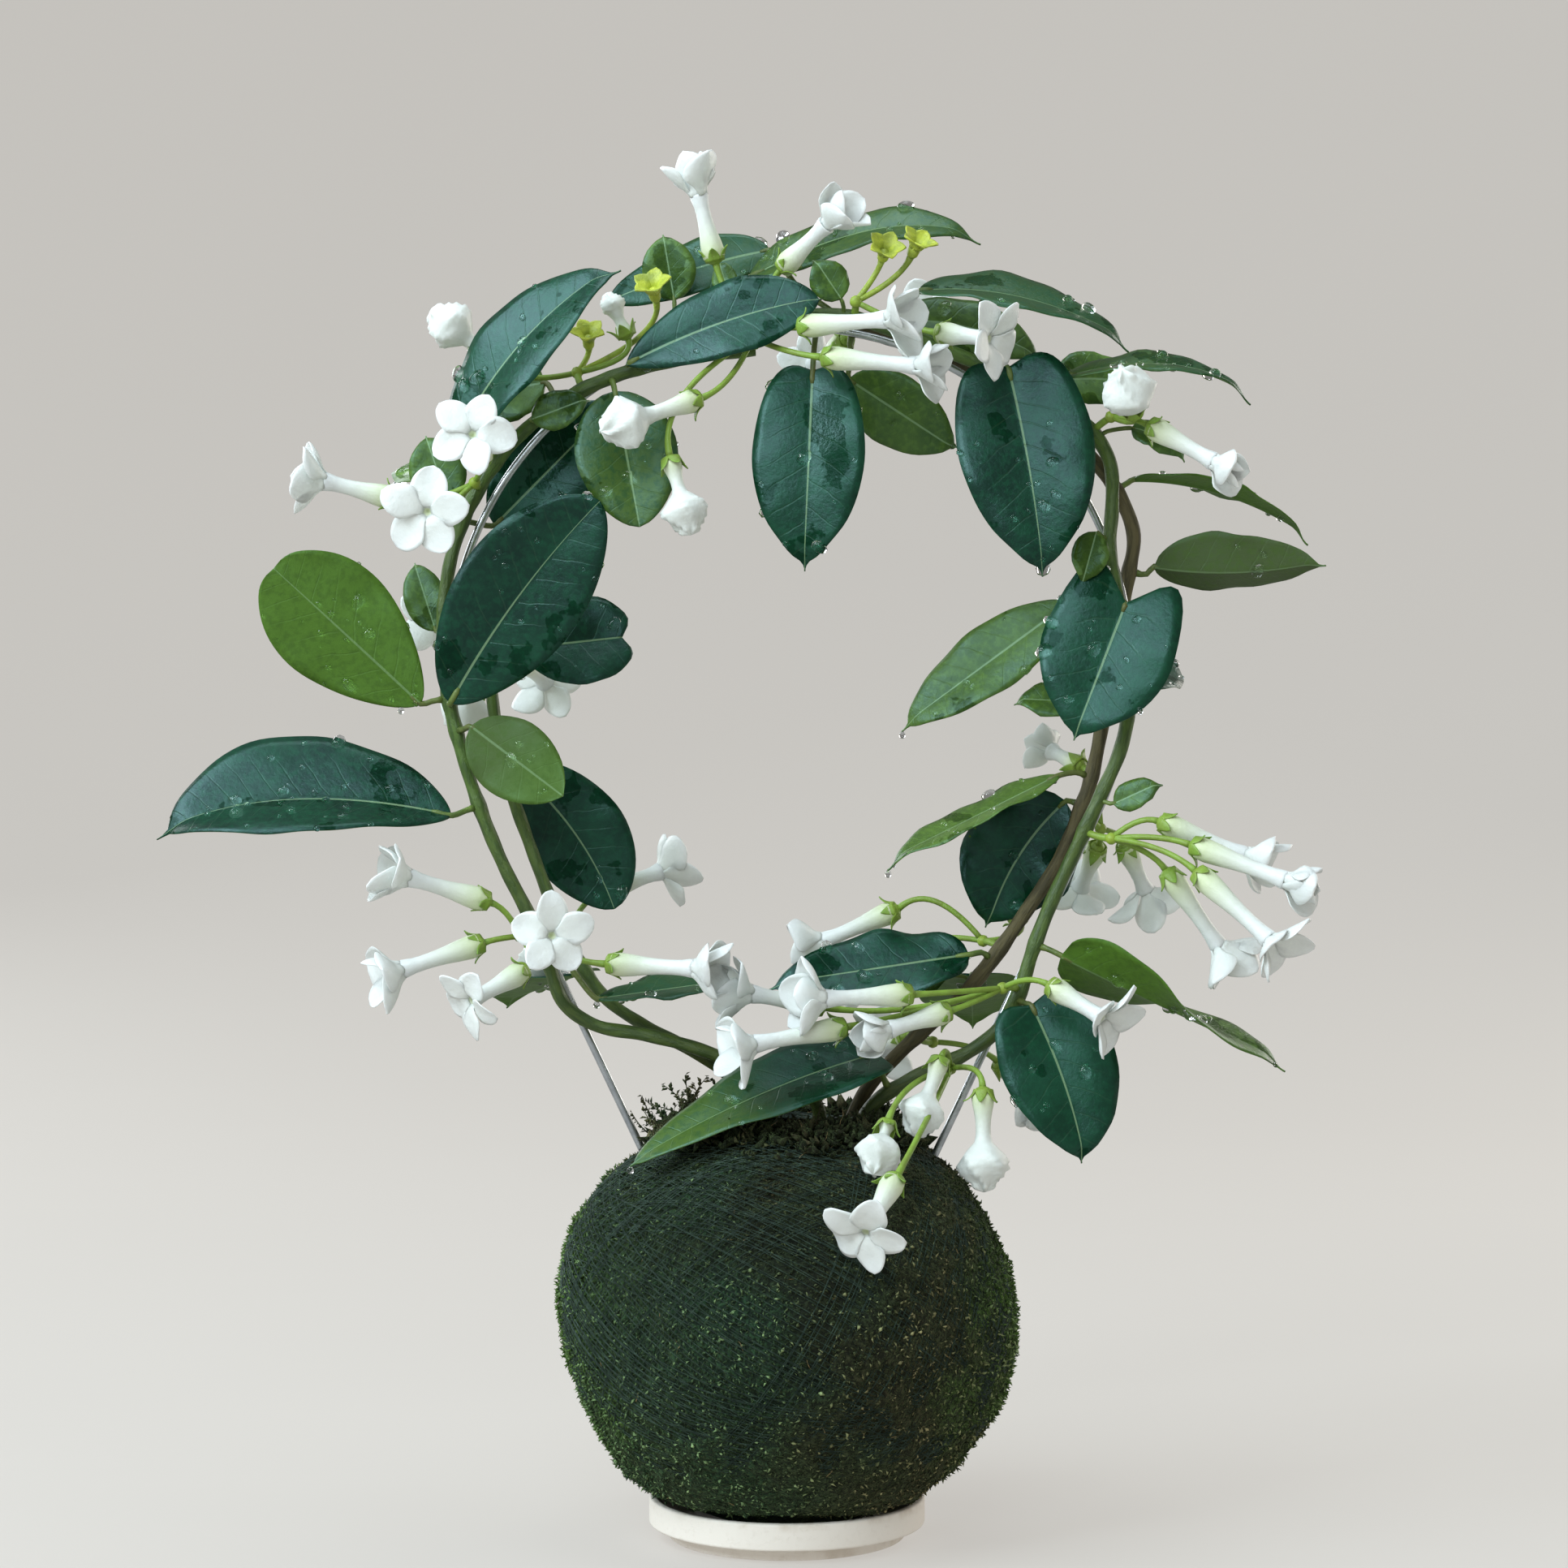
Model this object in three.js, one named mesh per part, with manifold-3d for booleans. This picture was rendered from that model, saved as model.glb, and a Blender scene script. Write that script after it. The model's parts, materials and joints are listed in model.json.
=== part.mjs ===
// Kokedama moss ball plant: a flowering vine trained round a wire hoop, growing from a ball of
// soil wrapped in moss and thread, which sits in a small ceramic saucer.
// Millimetres, +Z up, seen from the front along +Y. The origin is the centre of the saucer's
// flat underside.
import * as THREE from 'three';
import { mergeVertices } from 'three/addons/utils/BufferGeometryUtils.js';
import Module from 'manifold-3d';

const wasm = await Module();
wasm.setup();

// Driving dimensions
const CLEARANCE = 0.3;
const SAUCER = {
  footRadius: 41.5,
  rimRadius: 48.5,
  footHeight: 4.3,
  height: 14,
  wall: 3,
  floor: 5,
  rimStep: 0.4,
  bevel: 4,
  sides: 28,
};
const BALL = {
  centre: 78,
  radius: 81,
  halfHeight: 74,
  top: 146.5,
  bottom: 5.3,
  lump: 1.2,
  mossThickness: 11,
  openingRadius: 33,
  columns: 22,
  rows: 10,
  smoothRows: 2,
};
const SOIL = { top: 133.5, openingRadius: 30, columns: 11, rows: 7 };
const STEM_FOOT = 112;
const BORE = { sides: 8, overrun: 5, legShare: 0.4 };
const HOOP = { x: 1, z: 305, radius: 120, lean: 0.445, footZ: 62, wireRadius: 1.35, sides: 6, steps: 40 };
const THREAD = { radius: 0.45, lift: 1.55, steps: 24, sides: 3 };
const STEM = { sides: 6, step: 14, samples: 400 };
const PETIOLE = { halfWidth: 1.1, thickness: 2.0, reach: 3.5 };
const BLADE = {
  thickness: 1.0,
  tipWidth: 0.05,
  lean: 0.9,
  fullness: 0.57,
  fold: 0.2,
  waves: 2.5,
  columns: 4,
};
const YOUNG_BLADE = { small: true, columns: 2 };
const HOOK_POWER = 4;
const PEDUNCLE = { radius: 1.3, sides: 5, steps: 2, arch: 0.5 };
const PEDICEL = { radius: 0.95, steps: 2, arch: 0.4 };
const HUB_RADIUS = 2.5;
const FLOWER = {
  footRadius: 1.2,
  calyxRadius: 3.1,
  calyxLength: 3.5,
  calyxShare: 0.3,
  shortest: 12,
  throatRadius: 2.3,
  throatShare: 0.86,
  eyeDepth: 1.2,
  lobe: 13.4,
  petalThickness: 1.1,
};
// A bud's rings, as shares of its size: how far each lies from its widest ring, and how wide it is.
const BUD = {
  size: 8,
  tip: 0.4,
  neck: { drop: 0.8, share: 0.5, wall: 0.5 },
  shoulder: { rise: 0.65, share: 0.62 },
};

const MERGE_DISTANCE = 1e-4;
const LEAST_COSINE = 1e-3;

const UP = new THREE.Vector3(0, 0, 1);
const vec = ([x, y, z]) => new THREE.Vector3(x, y, z);

// Materials
const surface = (color, roughness, metalness = 0) => ({ color, roughness, metalness });
const FINISH = {
  ceramic: surface(0xe9e4da, 0.75),
  moss: surface(0x26331f, 0.95),
  soil: surface(0x2b2018, 1.0),
  thread: surface(0x1d1f1a, 0.8),
  wire: surface(0xb9bcc0, 0.35, 0.9),
  greenStem: surface(0x5b7a35, 0.55),
  woodyStem: surface(0x6b6140, 0.8),
  darkLeaf: surface(0x173f33, 0.3),
  oliveLeaf: surface(0x4a6a2c, 0.4),
  lightLeaf: surface(0x6f9a3c, 0.5),
  petal: surface(0xf0f1ea, 0.45),
};

// Basic solids

function geometryOf(points, faces) {
  const geometry = new THREE.BufferGeometry();
  const numbers = points.flatMap((point) => point.toArray());
  geometry.setAttribute('position', new THREE.Float32BufferAttribute(numbers, 3));
  geometry.setIndex(faces.flat());
  return geometry;
}

// Joins two neighbouring rings, of which one may have several times the points of the other.
function bridge(faces, startA, countA, startB, countB) {
  if (countA === 1 || countB === 1) {
    const count = Math.max(countA, countB);
    for (let j = 0; j < count; j += 1) {
      const next = (j + 1) % count;
      faces.push(countA === 1 ? [startA, startB + next, startB + j] : [startB, startA + j, startA + next]);
    }
    return;
  }
  const coarseFirst = countA <= countB;
  const [coarse, fine] = coarseFirst ? [startA, startB] : [startB, startA];
  const coarseCount = Math.min(countA, countB);
  const fineCount = Math.max(countA, countB);
  const share = fineCount / coarseCount;
  const half = Math.ceil(share / 2);
  const add = (a, b, c) => faces.push(coarseFirst ? [a, b, c] : [b, a, c]);
  for (let j = 0; j < coarseCount; j += 1) {
    const here = coarse + j;
    const next = coarse + ((j + 1) % coarseCount);
    const fineAt = (k) => fine + ((j * share + k) % fineCount);
    for (let k = 0; k < share; k += 1) add(k < half ? here : next, fineAt(k + 1), fineAt(k));
    add(here, next, fineAt(half));
  }
}

// A closed skin over a row of rings, each turning anticlockwise round the way the row runs.
function loft(rings) {
  const faces = [];
  const starts = [];
  let total = 0;
  for (const ring of rings) {
    starts.push(total);
    total += ring.length;
  }
  for (let r = 0; r + 1 < rings.length; r += 1) {
    bridge(faces, starts[r], rings[r].length, starts[r + 1], rings[r + 1].length);
  }
  const last = rings.length - 1;
  for (let k = 1; k + 1 < rings[0].length; k += 1) faces.push([0, k + 1, k]);
  for (let k = 1; k + 1 < rings[last].length; k += 1) {
    faces.push([starts[last], starts[last] + k, starts[last] + k + 1]);
  }
  return geometryOf(rings.flat(), faces);
}

function lathe(profile, sides) {
  const points = profile.map(([radius, height]) => new THREE.Vector2(radius, height));
  return new THREE.LatheGeometry(points, sides).rotateX(Math.PI / 2);
}

function polygon(radius, sides) {
  const outline = new THREE.Shape();
  for (let k = 0; k < sides; k += 1) {
    const angle = (2 * Math.PI * k) / sides;
    const [x, y] = [radius * Math.cos(angle), radius * Math.sin(angle)];
    if (k === 0) outline.moveTo(x, y);
    else outline.lineTo(x, y);
  }
  outline.closePath();
  return outline;
}

function tube(path, radius, sides, steps) {
  const options = { steps, bevelEnabled: false, extrudePath: path };
  return new THREE.ExtrudeGeometry(polygon(radius, sides), options);
}

// Joining and cutting

function solidOf(geometry) {
  const plain = geometry.clone();
  plain.deleteAttribute('normal');
  plain.deleteAttribute('uv');
  const merged = mergeVertices(plain, MERGE_DISTANCE);
  const index = merged.index.array;
  const triangles = [];
  for (let k = 0; k < index.length; k += 3) {
    const [a, b, c] = [index[k], index[k + 1], index[k + 2]];
    if (a !== b && b !== c && c !== a) triangles.push(a, b, c);
  }
  return new wasm.Manifold(new wasm.Mesh({
    numProp: 3,
    vertProperties: new Float32Array(merged.attributes.position.array),
    triVerts: new Uint32Array(triangles),
  }));
}

function geometryFrom(solid) {
  const mesh = solid.getMesh();
  const geometry = new THREE.BufferGeometry();
  geometry.setAttribute('position', new THREE.BufferAttribute(new Float32Array(mesh.vertProperties), 3));
  geometry.setIndex(new THREE.BufferAttribute(new Uint32Array(mesh.triVerts), 1));
  return geometry;
}

function unite(geometries) {
  return geometryFrom(geometries.map(solidOf).reduce((whole, piece) => whole.add(piece)));
}

function cut(geometry, tools) {
  return geometryFrom(tools.map(solidOf).reduce((whole, tool) => whole.subtract(tool), solidOf(geometry)));
}

// A straight prism between two points, used to make a plain hole round a stem or a wire leg.
function bore(from, to, radius) {
  return tube(new THREE.LineCurve3(from, to), radius / Math.cos(Math.PI / BORE.sides), BORE.sides, 1);
}

// Hoop

// The bent wire: up one straight leg, round the hoop and down the other leg. Centred on the hoop.
class HoopPath extends THREE.Curve {
  constructor() {
    super();
    this.tangentX = HOOP.radius * Math.cos(HOOP.lean);
    this.tangentZ = -HOOP.radius * Math.sin(HOOP.lean);
    this.legLength = (HOOP.z + this.tangentZ - HOOP.footZ) / Math.cos(HOOP.lean);
    this.arc = Math.PI + 2 * HOOP.lean;
    this.length = 2 * this.legLength + HOOP.radius * this.arc;
  }

  legPoint(side, alongLeg) {
    return new THREE.Vector3(
      side * (this.tangentX - alongLeg * Math.sin(HOOP.lean)),
      0,
      this.tangentZ - alongLeg * Math.cos(HOOP.lean),
    );
  }

  getPoint(t, target = new THREE.Vector3()) {
    const along = t * this.length;
    if (along < this.legLength) return target.copy(this.legPoint(-1, this.legLength - along));
    const beyond = along - this.legLength - HOOP.radius * this.arc;
    if (beyond > 0) return target.copy(this.legPoint(1, beyond));
    const angle = Math.PI + HOOP.lean - (along - this.legLength) / HOOP.radius;
    return target.set(HOOP.radius * Math.cos(angle), 0, HOOP.radius * Math.sin(angle));
  }
}

const hoopPath = new HoopPath();
const hoopPlace = new THREE.Vector3(HOOP.x, 0, HOOP.z);

// Stems: the points that each one passes through as it winds round the wire.
const STEMS = {
  left_main: {
    radius: 1.95,
    finish: 'greenStem',
    points: [
      [12, 3, 112], [12, 3, 134], [12, 3, 141], [10, 1, 152], [2, -1, 158.5], [-10, -3, 162],
      [-28, -5, 170], [-49, -6, 176], [-67, -6, 179.5], [-78, -6, 187], [-83, -5, 199], [-90, -5, 217],
      [-100, -5, 237], [-109, -5, 259], [-116, -5, 283], [-119.5, -5, 300], [-120.5, -4.5, 326],
      [-114, -3, 356], [-100, -3, 380], [-79, -5, 398], [-62, -5.5, 406.5], [-47, -5, 411],
      [-28, -4, 414.5], [-11, -3, 416],
    ],
  },
  left_second: {
    radius: 1.8,
    finish: 'greenStem',
    points: [
      [-14, 10, 112], [-14, 10, 134], [-14, 10, 141], [-15, 9, 152], [-22, 8, 161.5], [-36, 6, 171],
      [-51, 5, 179], [-64, 5.5, 188], [-75, 6, 204], [-84, 6, 224], [-92, 6, 245], [-99, 6, 266],
      [-103, 6, 285], [-105, 7, 303], [-104, 8, 318],
    ],
  },
  right_woody: {
    radius: 2.1,
    finish: 'woodyStem',
    points: [
      [22, 8, 112], [22, 8, 134], [22, 8, 141], [27, 7, 154], [37, 5, 166], [48, 4, 176.5],
      [60, 4, 187], [74, 4, 204], [84, 4, 218], [94, 4, 233], [102, 5, 250], [108, 6, 267],
      [113, 6, 292], [117, 6, 318], [121, 5, 338], [122.5, 3, 352], [117, 2, 366], [106, 3, 381],
      [89, 5, 397], [66, 6, 411], [40, 6, 421], [14, 5, 427],
    ],
  },
  right_green: {
    radius: 2.05,
    finish: 'greenStem',
    points: [
      [24, -10, 112], [24, -10, 134], [24, -10, 141], [30, -9, 152], [44, -7, 161], [62, -6, 169],
      [74, -6, 178], [81, -6, 190], [86, -6, 205], [93, -6, 223], [102, -6, 243], [110, -6, 260],
      [117, -6, 276], [120, -6, 293], [119, -6, 313], [115, -6, 334], [113, -6, 348], [114, -5, 362],
      [113, -5, 378], [104, -5, 391], [88, -5, 401], [66, -5, 412], [40, -6, 422], [24, -6, 427],
      [8, -6, 429.5],
    ],
  },
};
for (const stem of Object.values(STEMS)) {
  stem.path = new THREE.CatmullRomCurve3(stem.points.map(vec), false, 'centripetal');
}

// Where a stalk meets its stem: the point on the stem's surface nearest to the side it leaves on.
function seatOn(stemName, near, towards, gap) {
  const { path, radius } = STEMS[stemName];
  const distanceAt = (t) => path.getPoint(t).distanceTo(near);
  let best = 0;
  for (let k = 1; k <= STEM.samples; k += 1) {
    if (distanceAt(k / STEM.samples) < distanceAt(best)) best = k / STEM.samples;
  }
  const centre = path.getPoint(best);
  const along = path.getTangent(best);
  const out = towards.clone().sub(centre).projectOnPlane(along).normalize();
  return { point: centre.clone().addScaledVector(out, gap > 0 ? radius + gap : 0), out };
}

// Leaves

const BLADE_STATIONS = [0, 0.09, 0.32, 0.6, 0.85, 1];
const SMALL_STATIONS = [0, 0.12, 0.45, 0.78, 1];

// Half width along the blade, as a share of its widest: rounded at the foot, blunt at the tip.
const bladeOutline = (t) => Math.max(BLADE.tipWidth, Math.sin(Math.PI * t ** BLADE.lean) ** BLADE.fullness);

// One cross-section of a leaf: points over and under its sheet, folded and waved.
function leafSection(leaf, centre, tangent, side, t, halfWidth, thickness) {
  const normal = side.clone().cross(tangent).normalize();
  const over = [];
  const under = [];
  for (let j = 0; j <= leaf.columns; j += 1) {
    const s = (2 * j) / leaf.columns - 1;
    const across = s * halfWidth;
    const wave = ((leaf.wave ?? 0) * 2 * halfWidth) / leaf.width;
    const ripple = wave * s * s * Math.sin(BLADE.waves * 2 * Math.PI * t + s);
    const rise = (leaf.fold ?? BLADE.fold) * Math.abs(across) + ripple;
    const middle = centre.clone().addScaledVector(side, across).addScaledVector(normal, rise);
    over.push(middle.clone().addScaledVector(normal, thickness / 2));
    under.push(middle.clone().addScaledVector(normal, -thickness / 2));
  }
  return { over, under };
}

// Closes a row of sections into one thin solid, split into triangles alike on both faces.
function sheet(sections) {
  const width = sections[0].over.length;
  const points = [...sections.flatMap((s) => s.over), ...sections.flatMap((s) => s.under)];
  const low = sections.length * width;
  const faces = [];
  const last = sections.length - 1;
  for (let i = 0; i < last; i += 1) {
    for (let j = 0; j + 1 < width; j += 1) {
      const a = i * width + j;
      const [b, c, d] = [a + 1, a + width + 1, a + width];
      faces.push([a, b, c], [a, c, d], [low + a, low + c, low + b], [low + a, low + d, low + c]);
    }
    const left = i * width;
    const right = left + width - 1;
    faces.push([left, left + width, low + left + width], [left, low + left + width, low + left]);
    faces.push([right, low + right + width, right + width], [right, low + right, low + right + width]);
  }
  for (let j = 0; j + 1 < width; j += 1) {
    const tip = last * width + j;
    faces.push([j, low + j, low + j + 1], [j, low + j + 1, j + 1]);
    faces.push([tip, low + tip + 1, low + tip], [tip, tip + 1, low + tip + 1]);
  }
  return geometryOf(points, faces);
}

// The blade's midrib: a bowed line from base to tip, whose last stretch may hook aside.
function midrib(leaf, t) {
  const base = vec(leaf.base);
  const hook = vec(leaf.hook ?? [0, 0, 0]);
  const end = vec(leaf.tip).sub(hook);
  const bow = base.clone().lerp(end, 0.5).add(vec(leaf.bow ?? [0, 0, 0]));
  base.multiplyScalar((1 - t) ** 2).addScaledVector(bow, 2 * t * (1 - t)).addScaledVector(end, t * t);
  return base.addScaledVector(hook, t ** HOOK_POWER);
}

// The way across the leaf at each point of its line: square to the face on the blade, and
// carried on down the stalk without a twist.
function sideways(leaf, tangents, stationAt, stalkLength) {
  const sides = [];
  for (let i = tangents.length - 1; i >= 0; i -= 1) {
    const face = vec(leaf.face).lerp(vec(leaf.faceTip ?? leaf.face), stationAt(i));
    const onBlade = i > stalkLength;
    const side = onBlade ? tangents[i].clone().cross(face) : sides[0].clone().projectOnPlane(tangents[i]);
    sides.unshift(side.normalize());
  }
  return sides;
}

function leafGeometry(leaf, gap) {
  const shape = { columns: BLADE.columns, ...leaf };
  const base = vec(leaf.base);
  const first = leaf.via ? vec(leaf.via) : base;
  const seat = seatOn(leaf.stem, vec(leaf.from ?? leaf.base), first, gap);
  const stalk = [seat.point, seat.point.clone().addScaledVector(seat.out, PETIOLE.reach)];
  if (leaf.via) stalk.push(vec(leaf.via));
  const stations = leaf.small ? SMALL_STATIONS : BLADE_STATIONS;
  const stationAt = (i) => stations[i - stalk.length] ?? 0;
  const line = [...stalk, ...stations.map((t) => midrib(leaf, t))];
  const tangents = line.map((centre, i) => {
    const before = line[Math.max(i - 1, 0)];
    const after = line[Math.min(i + 1, line.length - 1)];
    return i === 0 ? seat.out.clone() : after.clone().sub(before).normalize();
  });
  const sides = sideways(leaf, tangents, stationAt, stalk.length);
  const sections = line.map((centre, i) => {
    const onBlade = i > stalk.length;
    const t = stationAt(i);
    const halfWidth = onBlade ? (leaf.width / 2) * bladeOutline(t) : PETIOLE.halfWidth;
    const thickness = onBlade ? BLADE.thickness : PETIOLE.thickness;
    return leafSection(shape, centre, tangents[i], sides[i], t, halfWidth, thickness);
  });
  return sheet(sections);
}

// Large leaves: base and tip of the blade, its width, and the way its upper side faces.
const LEAVES = {
  left_low: {
    stem: 'left_main', base: [-117, -12, 253], tip: [-214, -22, 249], width: 46,
    face: [0, -0.7, 0.7], fold: 0.45, bow: [0, 0, 10], hook: [0, 0, -6], finish: 'darkLeaf',
  },
  left_pale: {
    stem: 'left_main', base: [-128, -8, 292], tip: [-179, -22, 340], width: 43,
    face: [-0.3, 0.9, 0.35], bow: [-6, 0, 6], finish: 'lightLeaf',
  },
  left_broad: {
    stem: 'left_main', base: [-117, -16, 292], tip: [-64, -32, 361], width: 44,
    face: [0.15, -1, 0.1], bow: [-4, -4, 4], finish: 'darkLeaf',
  },
  left_inner: {
    stem: 'left_main', base: [-110, -14, 284], tip: [-80, -20, 257], width: 34,
    face: [0.2, 0.9, -0.3], columns: 2, finish: 'lightLeaf',
  },
  left_hanging: {
    stem: 'left_second', base: [-100, 15, 272], tip: [-62, 24, 219], width: 36,
    face: [0.1, -1, 0.2], bow: [8, 6, 4], finish: 'darkLeaf',
  },
  left_behind: {
    stem: 'left_second', base: [-97, 13, 312], tip: [-53, 18, 317], width: 36, face: [0, -0.9, 0.4],
    columns: 2, finish: 'darkLeaf',
  },
  crown_left_front: {
    stem: 'left_main', from: [-103, -3, 376], base: [-116, -10, 382], tip: [-62, -24, 441],
    width: 34, face: [-0.35, -0.8, 0.5], bow: [-8, -4, 8], finish: 'darkLeaf',
  },
  crown_front: {
    stem: 'left_main', from: [-52, -5, 410], base: [-56, -13, 410], tip: [11, -20, 432], width: 28,
    face: [0, -0.95, 0.3], bow: [0, -2, 6], finish: 'darkLeaf',
  },
  crown_left_behind: {
    stem: 'left_main', from: [-84, -5, 395], via: [-83, 7, 402], base: [-86, 13, 407],
    tip: [-112, 16, 402], width: 28, face: [0, -0.9, 0.4], columns: 2, finish: 'oliveLeaf',
  },
  crown_top_behind: {
    stem: 'right_woody', from: [16, 5, 427], via: [4, 14, 441], base: [-6, 19, 455],
    tip: [-64, 21, 437], width: 22, face: [0.1, -0.9, 0.4], bow: [4, 0, 5], columns: 2,
    finish: 'darkLeaf',
  },
  crown_long: {
    stem: 'left_main', from: [-14, -3, 416], via: [-14, -4, 428], base: [-13, 5, 443],
    tip: [65, 6, 459], width: 28, face: [-0.2, -0.6, 0.8], hook: [4, 0, -8], bow: [0, 0, 8],
    columns: 2, finish: 'darkLeaf',
  },
  crown_arched: {
    stem: 'right_green', from: [44, -6, 420], via: [44, -8, 430], base: [46, -10, 436],
    tip: [117, -14, 419], width: 34, face: [0.2, -0.45, 0.9], bow: [0, 0, 12], finish: 'darkLeaf',
  },
  crown_olive: {
    stem: 'right_woody', from: [36, 6, 421], base: [39, 14, 429], tip: [90, 18, 417], width: 24,
    face: [0.1, -0.8, 0.5], bow: [0, 2, 8], columns: 2, finish: 'oliveLeaf',
  },
  crown_right_behind: {
    stem: 'right_woody', from: [86, 5, 399], via: [89, 13, 404], base: [96, 19, 408],
    tip: [126, 28, 408], width: 22, face: [0, -0.9, 0.4], bow: [0, 0, 3], columns: 2,
    finish: 'lightLeaf',
  },
  crown_right_narrow: {
    stem: 'right_green', from: [97, -5, 396], base: [97, -10, 406], tip: [160, -12, 401], width: 24,
    face: [0, -0.35, 0.95], hook: [2, 0, -8], bow: [0, 0, 7], columns: 2, finish: 'darkLeaf',
  },
  right_front: {
    stem: 'right_green', base: [77, -14, 409], tip: [88, -26, 339], width: 47, face: [0, -1, 0.15],
    bow: [2, -6, 0], finish: 'darkLeaf',
  },
  centre_hanging: {
    stem: 'right_green', from: [12, -6, 429], via: [10, -11, 420], base: [9, -13, 408],
    tip: [6, -20, 341], width: 39, face: [-0.1, -1, 0.15], bow: [0, -5, 0], finish: 'darkLeaf',
  },
  centre_olive: {
    stem: 'right_woody', from: [24, 5, 425], via: [23, 10, 417], base: [22, 11, 408],
    tip: [59, 13, 384], width: 26, face: [0, -0.9, -0.4], columns: 2, finish: 'oliveLeaf',
  },
  inner_oval: {
    stem: 'left_main', base: [-60, -12, 401], tip: [-51, -20, 353], width: 36, face: [0.1, -1, 0.2],
    finish: 'darkLeaf',
  },
  inner_dark: {
    stem: 'left_main', from: [-114, -3, 356], via: [-113, 8, 357], base: [-104, 12, 356],
    tip: [-62, 14, 399], width: 34, face: [0.1, -1, 0.1], columns: 2, finish: 'darkLeaf',
  },
  right_olive: {
    stem: 'right_woody', from: [118, 6, 323], via: [110, 11, 325], base: [100, 12, 328],
    tip: [43, 14, 286], width: 26, face: [0.3, -0.6, 0.6], columns: 2, finish: 'oliveLeaf',
  },
  right_heart: {
    stem: 'right_green', base: [118, -14, 327], tip: [100, -22, 282], width: 46,
    face: [-0.1, -1, 0.2], finish: 'darkLeaf',
  },
  right_far: {
    stem: 'right_woody', from: [121, 5, 339], base: [130, 5, 341], tip: [188, -4, 338], width: 40,
    face: [0, 0.7, 0.7], fold: 0.4, finish: 'lightLeaf',
  },
  right_arch: {
    stem: 'right_woody', from: [116, 2, 368], base: [123, 7, 372], tip: [183, 4, 353], width: 30,
    face: [0, 0.05, 1], bow: [0, 0, 10], columns: 2, finish: 'oliveLeaf',
  },
  right_drip: {
    stem: 'right_woody', from: [108, 6, 267], base: [96, 2, 267], tip: [37, -8, 238], width: 24,
    face: [-0.3, -0.3, 0.9], columns: 2, finish: 'oliveLeaf',
  },
  right_wavy: {
    stem: 'right_woody', from: [104, 5, 257], base: [97, 12, 252], tip: [73, 18, 217], width: 26,
    face: [0.2, -1, 0.2], wave: 2, finish: 'darkLeaf',
  },
  low_right_long: {
    stem: 'right_woody', from: [72, 4, 202], base: [64, -3, 204], tip: [-4, -8, 194], width: 28,
    face: [0, -0.8, 0.6], wave: 2, finish: 'darkLeaf',
  },
  low_left_long: {
    stem: 'left_main', from: [-84, -5, 202], base: [-66, -13, 189], tip: [-18, -4, 195], width: 24,
    face: [0, -0.25, 0.97], columns: 2, finish: 'darkLeaf',
  },
  over_ball: {
    stem: 'right_green', from: [36, -8, 157], base: [31, -16, 168], tip: [-51, -44, 129], width: 40,
    face: [-0.2, -0.5, 0.85], bow: [0, -8, 10], finish: 'darkLeaf',
  },
  low_right_front: {
    stem: 'right_green', base: [85, -14, 187], tip: [102, -26, 136], width: 41,
    face: [0.2, -1, 0.2], bow: [4, -3, 0], finish: 'darkLeaf',
  },
  low_right_twisted: {
    stem: 'right_green', base: [96, -10, 204], tip: [171, -14, 168], width: 36,
    face: [0.3, 0.7, 0.6], faceTip: [0.3, -0.5, 0.8], finish: 'oliveLeaf',
  },
  back_left: {
    stem: 'left_second', from: [-72, 6, 198], base: [-76, 16, 196], tip: [-104, 70, 184], width: 40,
    face: [-0.3, 0.3, 0.9], columns: 2, finish: 'darkLeaf',
  },
  back_right: {
    stem: 'right_woody', from: [114, 6, 298], base: [119, 17, 300], tip: [140, 84, 316], width: 42,
    face: [0.4, 0.1, 0.9], columns: 2, finish: 'darkLeaf',
  },
  back_top_left: {
    stem: 'left_main', from: [-110, -3, 364], via: [-116, 8, 372], base: [-118, 16, 376],
    tip: [-134, 76, 388], width: 38, face: [-0.4, 0, 0.9], columns: 2, finish: 'oliveLeaf',
  },
  back_low: {
    stem: 'right_woody', from: [67, 4, 196], base: [66, 15, 196], tip: [70, 80, 176], width: 40,
    face: [0, 0.4, 0.9], columns: 2, finish: 'darkLeaf',
  },
};

// Small young leaves, fused to the stem that they grow from.
const YOUNG_LEAVES = {
  left_main: [
    { base: [-89, -12, 391], tip: [-70, -13, 398], width: 14, face: [0, -1, 0.2] },
    {
      from: [-40, -4, 412], via: [-40, -6, 422], base: [-40, 11, 436], tip: [-44, 12, 459],
      width: 19, face: [0, -1, 0.1],
    },
    {
      from: [-22, -4, 415], via: [-22, -6, 427], base: [-20, 1, 436], tip: [-24, 6, 449], width: 9,
      face: [-0.2, -1, 0.1],
    },
    { base: [-119, -3, 363], tip: [-127, -1, 386], width: 20, face: [0, -1, 0.2] },
    { base: [-124, 3, 318], tip: [-132, 8, 342], width: 15, face: [0, -1, 0.2] },
  ],
  right_woody: [
    { from: [116, 6, 293], base: [106, 8, 293], tip: [82, 9, 294], width: 15, face: [0, -0.8, 0.6] },
    { from: [66, 4, 193], base: [57, 9, 196], tip: [37, 14, 192], width: 14, face: [0, -0.8, 0.6] },
  ],
  right_green: [
    { from: [20, -6, 428], base: [19, -12, 433], tip: [10, -14, 446], width: 14, face: [0, -1, 0.2] },
    {
      from: [109, -5, 386], base: [121, -4, 389], tip: [139, -9, 379], width: 13,
      face: [0, -0.8, 0.6], bow: [0, 0, 3],
    },
    { from: [113, -6, 350], base: [108, -11, 352], tip: [103, -16, 335], width: 13, face: [0, -1, 0.2] },
    { base: [114, -10, 257], tip: [129, -15, 264], width: 11, face: [0, -1, 0.4] },
  ],
  left_second: [],
};

// Flowers

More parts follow.
